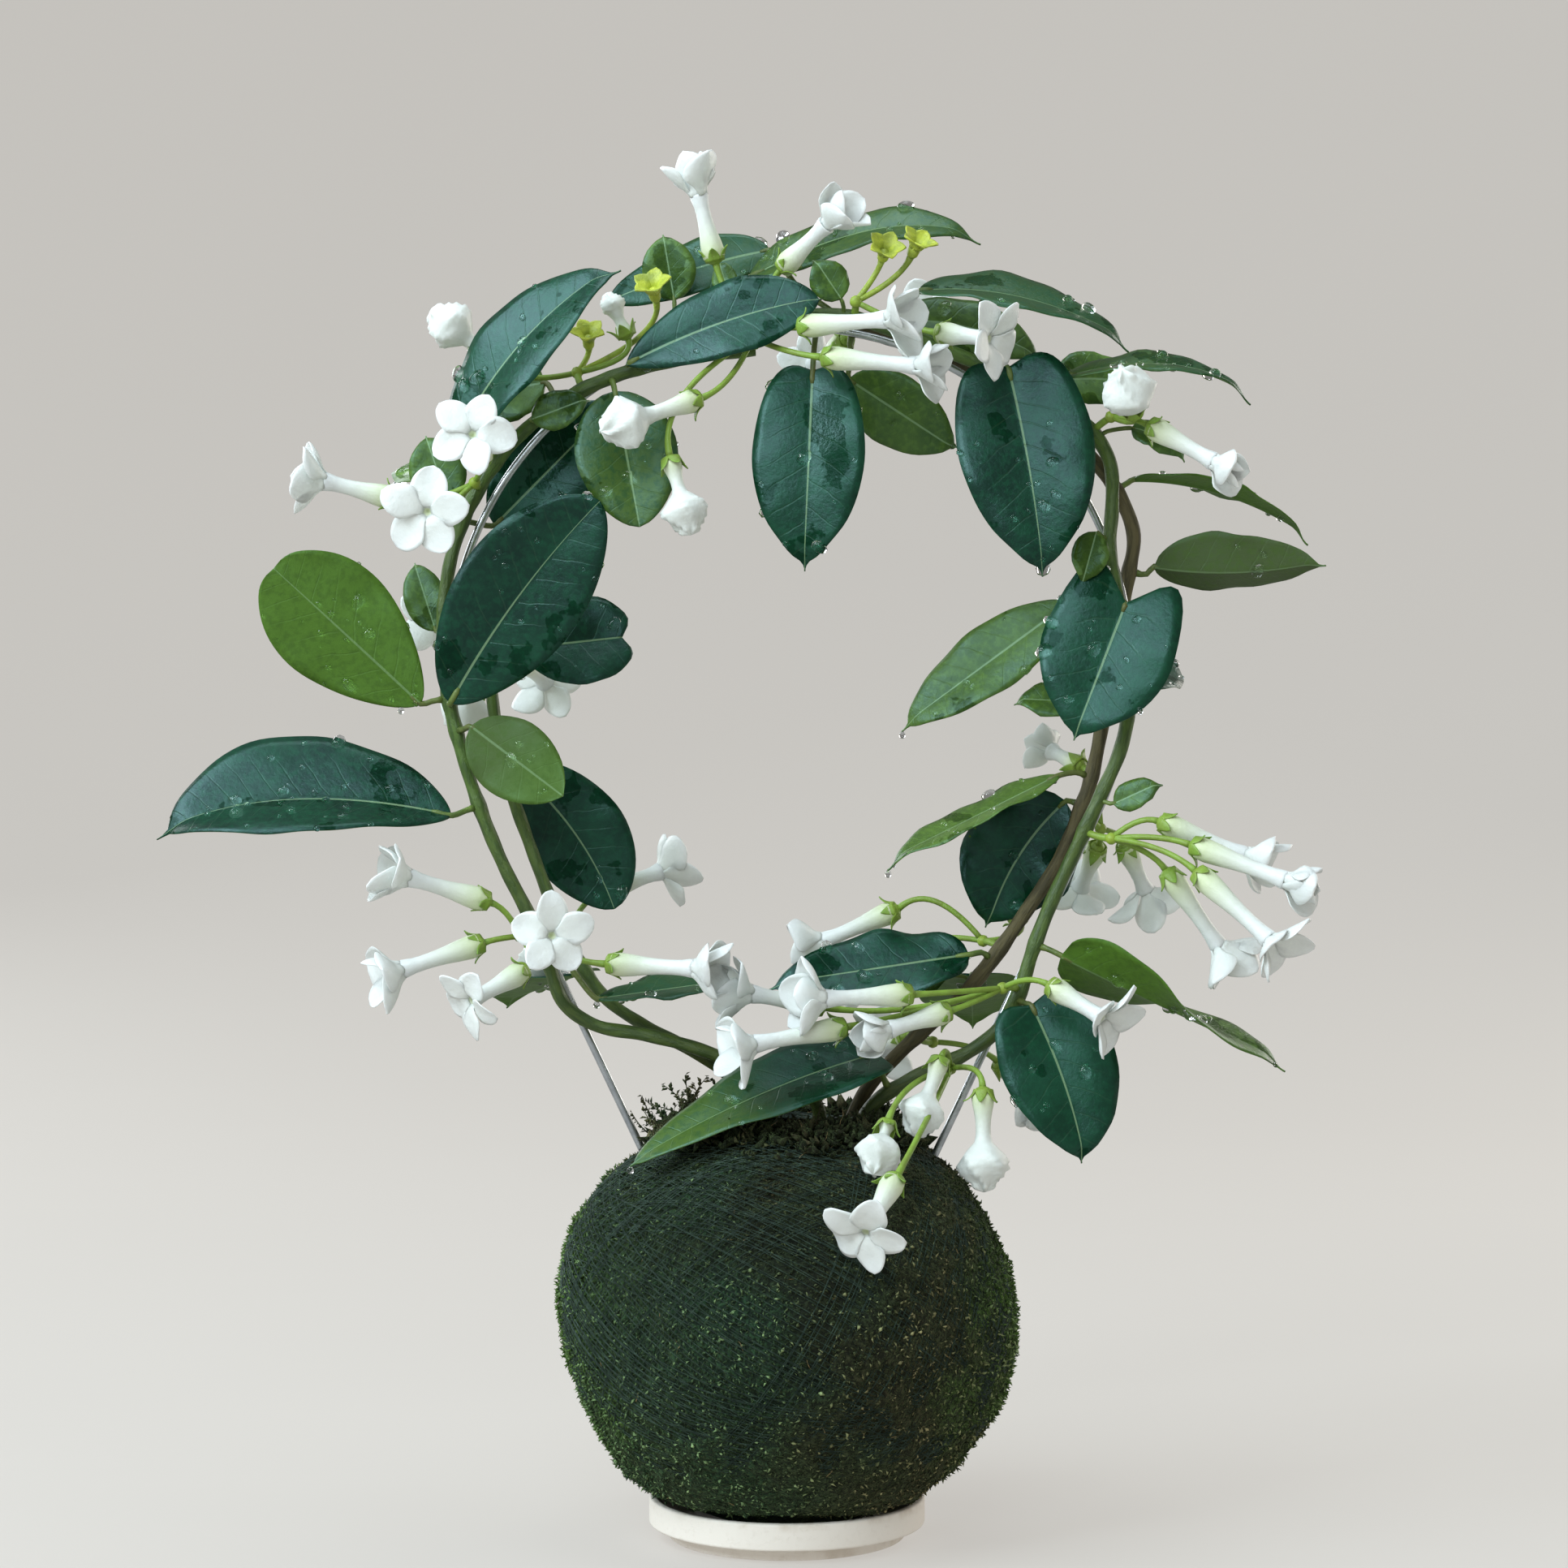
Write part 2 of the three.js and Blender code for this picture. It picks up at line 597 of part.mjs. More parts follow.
function ringRound(centre, [e1, e2], radii, angles) {
  return angles.map((angle, k) => centre.clone()
    .addScaledVector(e1, radii[k % radii.length] * Math.cos(angle))
    .addScaledVector(e2, radii[k % radii.length] * Math.sin(angle)));
}

const TUBE_SIDES = 5;
const evenAngles = (count) => Array.from({ length: count }, (_, k) => (2 * Math.PI * k) / count);
// Notch, shoulder, tip and shoulder of each of the five lobes, as an angle and a share of the lobe.
const LOBE_STEPS = [[0, 0.34], [0.2, 0.8], [0.628, 1], [1.057, 0.8]];
const lobeFrom = (start) => LOBE_STEPS.map(([turn, share]) => ({ angle: start + turn, share }));
const LOBES = evenAngles(TUBE_SIDES).flatMap(lobeFrom);
// Angle between the flower's axis and its lobes.
const OPENING = { open: 1.6, half: 0.75, spent: 1.1 };

// Rings of a flower stalk, which leaves the hub, arches and runs into the foot of its flower,
// and the basis that the flower's own rings go on with.
function stalkRings(hub, flower, axis) {
  const base = vec(flower.base);
  const control = base.clone().addScaledVector(axis, -PEDICEL.arch * hub.distanceTo(base));
  const path = new THREE.QuadraticBezierCurve3(hub, control.add(vec(flower.bow ?? [0, 0, 0])), base);
  const { normals, binormals } = path.computeFrenetFrames(PEDICEL.steps);
  const rings = [];
  for (let k = 0; k < PEDICEL.steps; k += 1) {
    const centre = path.getPointAt(k / PEDICEL.steps);
    rings.push(ringRound(centre, [normals[k], binormals[k]], [PEDICEL.radius], evenAngles(TUBE_SIDES)));
  }
  const across = normals[PEDICEL.steps].clone().projectOnPlane(axis).normalize();
  return { rings, basis: [across, axis.clone().cross(across)] };
}

// Rings of a closed bud from its calyx to its tip.
function budRings(length, size, round, at) {
  const belly = Math.max(length - BUD.tip * size, size);
  return [
    round(FLOWER.calyxLength, FLOWER.calyxRadius),
    round(belly - BUD.neck.drop * size, BUD.neck.share * size + BUD.neck.wall),
    round(belly, size),
    round(belly + BUD.shoulder.rise * size, BUD.shoulder.share * size),
    [at(belly + size)],
  ];
}

// One flower and its stalk: rings of the tube, then the lobes' rim and the eye, or a closed bud.
function flowerGeometry(hub, flower) {
  const base = vec(flower.base);
  const axis = vec(flower.head).sub(base).normalize();
  const length = base.distanceTo(vec(flower.head));
  const { rings, basis } = stalkRings(hub, flower, axis);
  const at = (h) => base.clone().addScaledVector(axis, h);
  const round = (h, radius) => ringRound(at(h), basis, [radius], evenAngles(TUBE_SIDES));
  rings.push(round(0, FLOWER.footRadius));
  if (flower.kind === 'bud') {
    return loft([...rings, ...budRings(length, flower.size ?? BUD.size, round, at)]);
  }
  const psi = OPENING[flower.kind ?? 'open'];
  const rim = (lift) => LOBES.map(({ angle, share }) => {
    const reach = share * (flower.size ?? FLOWER.lobe);
    const radial = FLOWER.throatRadius + reach * Math.sin(psi) - lift * Math.cos(psi);
    const height = length + reach * Math.cos(psi) + lift * Math.sin(psi);
    return ringRound(at(height), basis, [radial], [angle])[0];
  });
  rings.push(round(Math.min(FLOWER.calyxLength, length * FLOWER.calyxShare), FLOWER.calyxRadius));
  if (length > FLOWER.shortest) rings.push(round(length * FLOWER.throatShare, FLOWER.throatRadius));
  rings.push(rim(-FLOWER.petalThickness), rim(0), [at(length - FLOWER.eyeDepth)]);
  return loft(rings);
}

// Flower bunches: the stem each one grows from, the hub of its stalks, and its flowers.
const BUNCHES = {
  upper_left: { stem: 'left_main', hub: [-109, -11, 369], flowers: [
    { base: [-105, -24, 376], head: [-106, -52, 382] },
    { base: [-118, -20, 360], head: [-122, -46, 356], size: 14.5 },
    { base: [-136, -15, 363], head: [-161, -20, 369], size: 12 },
  ] },
  left_low: { stem: 'left_main', hub: [-93, -13, 211], flowers: [
    { base: [-103, -18, 223], head: [-131, -26, 232] },
    { base: [-105, -20, 209], head: [-133, -30, 200] },
    { base: [-90, -26, 200], head: [-108, -42, 190], size: 12 },
    { base: [-84, -24, 211], head: [-79, -52, 213], size: 13 },
    { base: [-62, -26, 202], head: [-31, -36, 201] },
  ] },
  left_back: { stem: 'left_second', from: [-79, 6, 213], hub: [-77, 18, 212], flowers: [
    { base: [-66, 40, 225], head: [-46, 50, 232] },
    { base: [-86, 36, 206], head: [-92, 56, 198], kind: 'bud', size: 7 },
  ] },
  crown_left: { stem: 'left_main', from: [-72, -5, 402], hub: [-74, 1, 409], flowers: [
    { base: [-102, 4, 412], head: [-121, 3, 428], size: 10, kind: 'half' },
    { base: [-70, 4, 418], head: [-70, 4, 424], kind: 'spent', size: 6 },
    { base: [-56, -1, 421], head: [-62, -2, 434], kind: 'bud', size: 4 },
    { base: [-46, -1, 434], head: [-47, -1, 440], kind: 'spent', size: 7 },
  ] },
  crown_centre: { stem: 'left_main', from: [-11, -3, 416], hub: [-12, -9, 420], flowers: [
    { base: [-25, -4, 447], head: [-31, -6, 471], kind: 'half', size: 12 },
    { base: [-2, -8, 444], head: [14, -22, 456] },
    { base: [4, -22, 422], head: [35, -34, 423] },
    { base: [12, -26, 411], head: [45, -34, 407], size: 12 },
    { base: [-30, -24, 397], head: [-58, -38, 386], kind: 'bud', size: 8 },
    { base: [-40, -32, 376], head: [-34, -37, 354], size: 11, kind: 'half' },
  ] },
  crown_right: { stem: 'right_green', hub: [24, -13, 432], flowers: [
    { base: [33, -15, 446], head: [34, -15, 451], kind: 'spent', size: 7 },
    { base: [43, -16, 447], head: [44, -16, 452], kind: 'spent', size: 7 },
    { base: [52, -22, 420], head: [70, -35, 416] },
  ] },
  right_top: { stem: 'right_green', from: [107, -5, 388], hub: [113, -12, 392], flowers: [
    { base: [120, -24, 391], head: [116, -34, 401], kind: 'bud', size: 8.5 },
    { base: [125, -22, 388], head: [147, -32, 374] },
  ] },
  right_side: { stem: 'right_green', from: [104, -6, 247], hub: [113, -13, 245], flowers: [
    { base: [129, -18, 251], head: [159, -22, 239] },
    { base: [139, -28, 243], head: [170, -42, 231], size: 12 },
    { base: [132, -14, 234], head: [151, -12, 207] },
    { base: [140, -34, 234], head: [163, -50, 211] },
  ] },
  right_side_back: { stem: 'right_woody', from: [103, 5, 253], hub: [112, 15, 248], flowers: [
    { base: [112, 24, 242], head: [107, 40, 226] },
    { base: [121, 22, 243], head: [130, 32, 225] },
    { base: [106, 22, 270], head: [96, 36, 276], kind: 'half', size: 11 },
  ] },
  low_right: { stem: 'right_green', from: [82, -6, 192], hub: [75, -15, 193], flowers: [
    { base: [13, -24, 187], head: [-13, -28, 192] },
    { base: [20, -36, 181], head: [-12, -48, 176] },
    { base: [43, -34, 192], head: [12, -42, 191] },
    { base: [56, -28, 186], head: [34, -37, 180], kind: 'half', size: 12 },
    { base: [90, -30, 195], head: [108, -42, 184] },
  ] },
  low_right_back: { stem: 'right_woody', from: [75, 4, 206], hub: [70, 15, 208], flowers: [
    { base: [40, 24, 219], head: [13, 30, 207], bow: [0, 0, 6] },
    { base: [47, 32, 206], head: [27, 42, 197] },
    { base: [84, 24, 214], head: [78, 34, 226], kind: 'bud', size: 7 },
  ] },
  ball_front: { stem: 'right_green', from: [56, -6, 166], hub: [57, -14, 165], flowers: [
    { base: [54, -30, 166], head: [45, -39, 150], kind: 'bud', size: 7 },
    { base: [34, -50, 150], head: [30, -60, 138], kind: 'bud', size: 7 },
    { base: [36, -72, 134], head: [25, -92, 118] },
    { base: [68, -36, 152], head: [67, -39, 132], kind: 'bud', size: 8 },
  ] },
  ball_back: { stem: 'right_woody', from: [46, 4, 175], hub: [52, 14, 172], flowers: [
    { base: [76, 26, 164], head: [88, 34, 152] },
    { base: [44, 42, 172], head: [36, 66, 166] },
  ] },
  back_crown: { stem: 'right_woody', from: [30, 6, 424], hub: [28, 16, 426], flowers: [
    { base: [40, 34, 432], head: [50, 62, 436] },
    { base: [22, 38, 426], head: [10, 68, 420] },
  ] },
  back_left: { stem: 'left_second', from: [-104, 8, 312], hub: [-106, 18, 314], flowers: [
    { base: [-118, 34, 322], head: [-130, 62, 326] },
    { base: [-98, 38, 310], head: [-90, 68, 302] },
    { base: [-112, 36, 300], head: [-120, 58, 290], kind: 'bud', size: 8 },
  ] },
};

function bunchGeometry(bunch) {
  const hub = vec(bunch.hub);
  const seat = seatOn(bunch.stem, vec(bunch.from ?? bunch.hub), hub, CLEARANCE);
  const arch = PEDUNCLE.arch * seat.point.distanceTo(hub);
  const control = seat.point.clone().addScaledVector(seat.out, arch);
  const path = new THREE.QuadraticBezierCurve3(seat.point, control, hub);
  const peduncle = tube(path, PEDUNCLE.radius, PEDUNCLE.sides, PEDUNCLE.steps);
  const knob = new THREE.OctahedronGeometry(HUB_RADIUS, 0).translate(hub.x, hub.y, hub.z);
  return unite([peduncle, knob, ...bunch.flowers.map((flower) => flowerGeometry(hub, flower))]);
}

// Ball: soil, moss and thread, all measured from the ball's centre

const ballPlace = new THREE.Vector3(0, 0, BALL.centre);
const lumpAt = (azimuth, polar) => BALL.lump * Math.sin(polar)
  * (Math.sin(3 * azimuth + 4 * polar) + 0.7 * Math.sin(5 * azimuth - 3 * polar + 1));

// Distance from the ball's centre to its surface: an ellipsoid, flat on top and underneath.
function ballReach(polar) {
  const [sine, cosine] = [Math.sin(polar), Math.cos(polar)];
  const round = 1 / Math.hypot(sine / BALL.radius, cosine / BALL.halfHeight);
  const flat = cosine > 0 ? BALL.top - BALL.centre : BALL.centre - BALL.bottom;
  return Math.min(round, flat / Math.max(Math.abs(cosine), LEAST_COSINE));
}

function ballPoint(azimuth, polar, reach) {
  return new THREE.Vector3(
    reach * Math.sin(polar) * Math.cos(azimuth),
    reach * Math.sin(polar) * Math.sin(azimuth),
    reach * Math.cos(polar),
  );
}

// Rings of a ball surface from its lowest point up to the edge of the opening.
function ballRings(inset, lumps, columns, rows, openingRadius) {
  const height = BALL.top - inset - BALL.centre;
  const rimPolar = Math.atan2(openingRadius, height);
  const rings = [[ballPoint(0, Math.PI, ballReach(Math.PI) - inset)]];
  for (let i = 1; i <= rows; i += 1) {
    const polar = Math.PI + (rimPolar - Math.PI) * (i / rows);
    const lumpShare = lumps && i > BALL.smoothRows && i < rows ? 1 : 0;
    rings.push(evenAngles(columns).map((azimuth) => {
      const reach = ballReach(polar) - inset + lumpShare * lumpAt(azimuth, polar);
      return ballPoint(azimuth, polar, reach);
    }));
  }
  return rings;
}

function stemBores(lowest, highest) {
  return Object.values(STEMS).map(({ points, radius }) => {
    const [x, y] = points[0];
    const local = (z) => new THREE.Vector3(x, y, z - BALL.centre);
    return bore(local(lowest), local(highest), radius + CLEARANCE);
  });
}

function legBores() {
  const shift = hoopPlace.clone().sub(ballPlace);
  const outside = hoopPath.legLength * BORE.legShare;
  return [-1, 1].map((side) => {
    const foot = hoopPath.legPoint(side, hoopPath.legLength + CLEARANCE).add(shift);
    return bore(foot, hoopPath.legPoint(side, outside).add(shift), HOOP.wireRadius + CLEARANCE);
  });
}

function soilGeometry() {
  const inset = BALL.mossThickness + CLEARANCE;
  const rings = ballRings(inset, false, SOIL.columns, SOIL.rows, SOIL.openingRadius);
  const top = new THREE.Vector3(0, 0, SOIL.top - BALL.centre);
  const stemHoles = stemBores(STEM_FOOT - CLEARANCE, BALL.top + BORE.overrun);
  return cut(loft([...rings, [top]]), [...stemHoles, ...legBores()]);
}

function mossGeometry() {
  const outside = ballRings(0, true, BALL.columns, BALL.rows, BALL.openingRadius);
  const inside = ballRings(BALL.mossThickness, false, SOIL.columns, SOIL.rows, SOIL.openingRadius);
  return cut(loft([...outside, ...inside.reverse()]), legBores());
}

// One turn of thread round the ball, in a plane tilted about a line at the given azimuth.
function threadTurn(tilt, azimuth) {
  const points = [];
  const faces = [];
  const across = new THREE.Vector3(Math.cos(azimuth), Math.sin(azimuth), 0);
  const pole = UP.clone().applyAxisAngle(across, tilt);
  for (let i = 0; i < THREAD.steps; i += 1) {
    const outward = across.clone().applyAxisAngle(pole, (2 * Math.PI * i) / THREAD.steps);
    const polar = Math.acos(outward.z);
    const around = Math.atan2(outward.y, outward.x);
    const centre = outward.clone().multiplyScalar(ballReach(polar) + lumpAt(around, polar) + THREAD.lift);
    points.push(...ringRound(centre, [outward, pole], [THREAD.radius], evenAngles(THREAD.sides)));
    for (let k = 0; k < THREAD.sides; k += 1) {
      const [next, ahead] = [(k + 1) % THREAD.sides, (i + 1) % THREAD.steps];
      const here = i * THREAD.sides;
      const there = ahead * THREAD.sides;
      faces.push([here + k, there + next, here + next], [here + k, there + k, there + next]);
    }
  }
  return geometryOf(points, faces);
}

// Tilt from level and azimuth of each turn of thread.
const THREAD_TURNS = [[0.3, 0.3], [0.8, 2.4], [0.85, 0.8], [0.55, 1.7]];

// Saucer

function saucerGeometry() {
  const { footRadius, rimRadius, footHeight, height, wall, floor, rimStep, bevel, sides } = SAUCER;
  const inner = rimRadius - wall;
  return lathe([
    [0, 0], [footRadius, 0], [footRadius, footHeight], [rimRadius, footHeight + rimStep],
    [rimRadius, height], [inner, height], [inner, floor + bevel], [inner - bevel, floor], [0, floor],
  ], sides);
}

// Assembly

const model = new THREE.Group();

function place(group, name, geometry, finish) {
  const mesh = new THREE.Mesh(geometry, new THREE.MeshStandardMaterial(FINISH[finish]));
  mesh.name = name;
  geometry.computeVertexNormals();
  group.add(mesh);
}

place(model, 'saucer', saucerGeometry(), 'ceramic');

const ball = new THREE.Group();
ball.position.copy(ballPlace);
place(ball, 'soil_core', soilGeometry(), 'soil');
place(ball, 'moss_wrap', mossGeometry(), 'moss');
place(ball, 'thread_winding', unite(THREAD_TURNS.map((turn) => threadTurn(...turn))), 'thread');
model.add(ball);

const hoop = new THREE.Group();
hoop.position.copy(hoopPlace);
place(hoop, 'wire_hoop', tube(hoopPath, HOOP.wireRadius, HOOP.sides, HOOP.steps), 'wire');
model.add(hoop);

const vine = new THREE.Group();
for (const [name, stem] of Object.entries(STEMS)) {
  const bare = tube(stem.path, stem.radius, STEM.sides, Math.ceil(stem.path.getLength() / STEM.step));
  const young = YOUNG_LEAVES[name].map((leaf) => leafGeometry({ ...YOUNG_BLADE, ...leaf, stem: name }, 0));
  place(vine, `stem_${name}`, unite([bare, ...young]), stem.finish);
}
for (const [name, leaf] of Object.entries(LEAVES)) {
  place(vine, `leaf_${name}`, leafGeometry(leaf, CLEARANCE), leaf.finish);
}
for (const [name, bunch] of Object.entries(BUNCHES)) {
  place(vine, `bunch_${name}`, bunchGeometry(bunch), 'petal');
}
model.add(vine);

export default model;
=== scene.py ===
"""Looks of a kokedama: a flowering wax vine on a wire hoop, in a moss ball on a saucer.

Sizes are millimetres in the plans and are turned into metres where a mesh is made. +Z is up and
+Y points away from the viewer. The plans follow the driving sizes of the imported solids.
"""

import logging
import math
from collections.abc import Callable, Sequence
from dataclasses import dataclass, field
from enum import Enum
from typing import Any

import bpy
import json
import numpy as np
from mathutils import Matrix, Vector, noise

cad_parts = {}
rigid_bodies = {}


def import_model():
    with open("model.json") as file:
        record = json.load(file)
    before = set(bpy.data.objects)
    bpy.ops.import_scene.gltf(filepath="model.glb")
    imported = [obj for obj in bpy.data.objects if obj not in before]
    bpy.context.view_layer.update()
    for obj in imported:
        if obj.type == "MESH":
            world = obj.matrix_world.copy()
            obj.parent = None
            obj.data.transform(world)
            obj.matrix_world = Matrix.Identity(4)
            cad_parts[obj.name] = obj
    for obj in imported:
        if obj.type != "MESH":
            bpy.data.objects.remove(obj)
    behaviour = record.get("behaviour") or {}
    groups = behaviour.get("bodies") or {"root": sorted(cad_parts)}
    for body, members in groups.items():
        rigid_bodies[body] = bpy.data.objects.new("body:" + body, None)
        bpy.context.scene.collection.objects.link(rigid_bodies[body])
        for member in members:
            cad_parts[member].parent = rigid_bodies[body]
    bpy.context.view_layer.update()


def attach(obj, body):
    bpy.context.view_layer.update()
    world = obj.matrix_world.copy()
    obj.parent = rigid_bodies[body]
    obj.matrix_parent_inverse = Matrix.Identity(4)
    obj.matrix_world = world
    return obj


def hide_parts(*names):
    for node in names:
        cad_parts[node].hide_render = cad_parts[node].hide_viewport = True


LOG = logging.getLogger("kokedama")
MM = 0.001
BODY = "root"

Point = tuple[float, float, float]
Colour = tuple[float, float, float]
Array = np.ndarray
Piece = bpy.types.Object
Mesh = bpy.types.Mesh
Material = bpy.types.Material
Tree = bpy.types.NodeTree
Node = bpy.types.Node
Socket = bpy.types.NodeSocket
Faces = Sequence[tuple[int, ...]]


class Slot(Enum):
    """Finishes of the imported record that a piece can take."""

    SAUCER = "saucer_ceramic"
    SOIL = "soil"
    MOSS = "moss"
    THREAD = "thread"
    WIRE = "galvanised_wire"
    GREEN_STEM = "green_stem"
    WOODY_STEM = "woody_stem"
    DARK_LEAF = "dark_leaf"
    OLIVE_LEAF = "olive_leaf"
    PALE_LEAF = "pale_leaf"
    FLOWER = "flower"


class Stage(Enum):
    """How far a flower has opened, as the angle between its axis and its lobes, in radians."""

    OPEN = 1.6
    HALF = 0.75
    SPENT = 1.1
    BUD = 0.0


# Driving sizes


@dataclass(frozen=True)
class BallPlan:
    """The ball of soil and moss: an ellipsoid, flat on top and underneath."""

    centre: float = 78.0
    radius: float = 81.0
    half_height: float = 74.0
    top: float = 146.5
    bottom: float = 5.3
    lump: float = 1.2
    moss_thickness: float = 11.0
    opening_radius: float = 33.0
    soil_top: float = 133.5
    soil_opening: float = 30.0


@dataclass(frozen=True)
class HoopPlan:
    """The bent wire: a round hoop and two straight legs that lean in towards the ball."""

    x: float = 1.0
    z: float = 305.0
    radius: float = 120.0
    lean: float = 0.445
    foot_z: float = 62.0
    wire_radius: float = 1.35


@dataclass(frozen=True)
class StemPlan:
    """One vine stem: its radius, its finish and the points that it passes through."""

    radius: float
    slot: Slot
    points: tuple[Point, ...]


@dataclass(frozen=True)
class LeafPlan:
    """One leaf: the stem that bears it, its blade's base, tip and width, and how it lies."""

    stem: str
    base: Point
    tip: Point
    width: float
    face: Point
    near: Point | None = None
    via: Point | None = None
    face_tip: Point | None = None
    bow: Point = (0, 0, 0)
    hook: Point = (0, 0, 0)
    fold: float = 0.2
    wave: float = 0.0
    heart: float = 0.0
    point: float = 1.0
    lean: float = 0.9
    notch: float = 0.0
    pale: tuple[float, float] = (0.0, 0.0)
    slot: Slot = Slot.DARK_LEAF


@dataclass(frozen=True)
class FlowerPlan:
    """One flower or bud: the foot of its tube, the middle of its head and its stage."""

    base: Point
    head: Point
    stage: Stage = Stage.OPEN
    size: float | None = None
    bow: Point = (0, 0, 0)


@dataclass(frozen=True)
class BunchPlan:
    """One bunch: the stem that bears it, the hub of its stalks and its flowers."""

    stem: str
    hub: Point
    flowers: tuple[FlowerPlan, ...]
    near: Point | None = None


BALL = BallPlan()
HOOP = HoopPlan()
CLEARANCE = 0.3
PETIOLE_REACH = 3.5

STEMS: dict[str, StemPlan] = {
    "left_main": StemPlan(1.95, Slot.GREEN_STEM, (
        (12, 3, 112), (12, 3, 134), (12, 3, 141), (10, 1, 152), (2, -1, 158.5), (-10, -3, 162),
        (-28, -5, 170), (-49, -6, 176), (-67, -6, 179.5), (-78, -6, 187), (-83, -5, 199),
        (-90, -5, 217), (-100, -5, 237), (-109, -5, 259), (-116, -5, 283), (-119.5, -5, 300),
        (-120.5, -4.5, 326), (-114, -3, 356), (-100, -3, 380), (-79, -5, 398), (-62, -5.5, 406.5),
        (-47, -5, 411), (-28, -4, 414.5), (-11, -3, 416),
    )),
    "left_second": StemPlan(1.8, Slot.GREEN_STEM, (
        (-14, 10, 112), (-14, 10, 134), (-14, 10, 141), (-15, 9, 152), (-22, 8, 161.5), (-36, 6, 171),
        (-51, 5, 179), (-64, 5.5, 188), (-75, 6, 204), (-84, 6, 224), (-92, 6, 245), (-99, 6, 266),
        (-103, 6, 285), (-105, 7, 303), (-104, 8, 318),
    )),
    "right_woody": StemPlan(2.1, Slot.WOODY_STEM, (
        (22, 8, 112), (22, 8, 134), (22, 8, 141), (27, 7, 154), (37, 5, 166), (48, 4, 176.5),
        (60, 4, 187), (74, 4, 204), (84, 4, 218), (94, 4, 233), (102, 5, 250), (108, 6, 267),
        (113, 6, 292), (117, 6, 318), (121, 5, 338), (122.5, 3, 352), (117, 2, 366), (106, 3, 381),
        (89, 5, 397), (66, 6, 411), (40, 6, 421), (14, 5, 427),
    )),
    "right_green": StemPlan(2.05, Slot.GREEN_STEM, (
        (24, -10, 112), (24, -10, 134), (24, -10, 141), (30, -9, 152), (44, -7, 161), (62, -6, 169),
        (74, -6, 178), (81, -6, 190), (86, -6, 205), (93, -6, 223), (102, -6, 243), (110, -6, 260),
        (117, -6, 276), (120, -6, 293), (119, -6, 313), (115, -6, 334), (113, -6, 348), (114, -5, 362),
        (113, -5, 378), (104, -5, 391), (88, -5, 401), (66, -5, 412), (40, -6, 422), (24, -6, 427),
        (8, -6, 429.5),
    )),
}

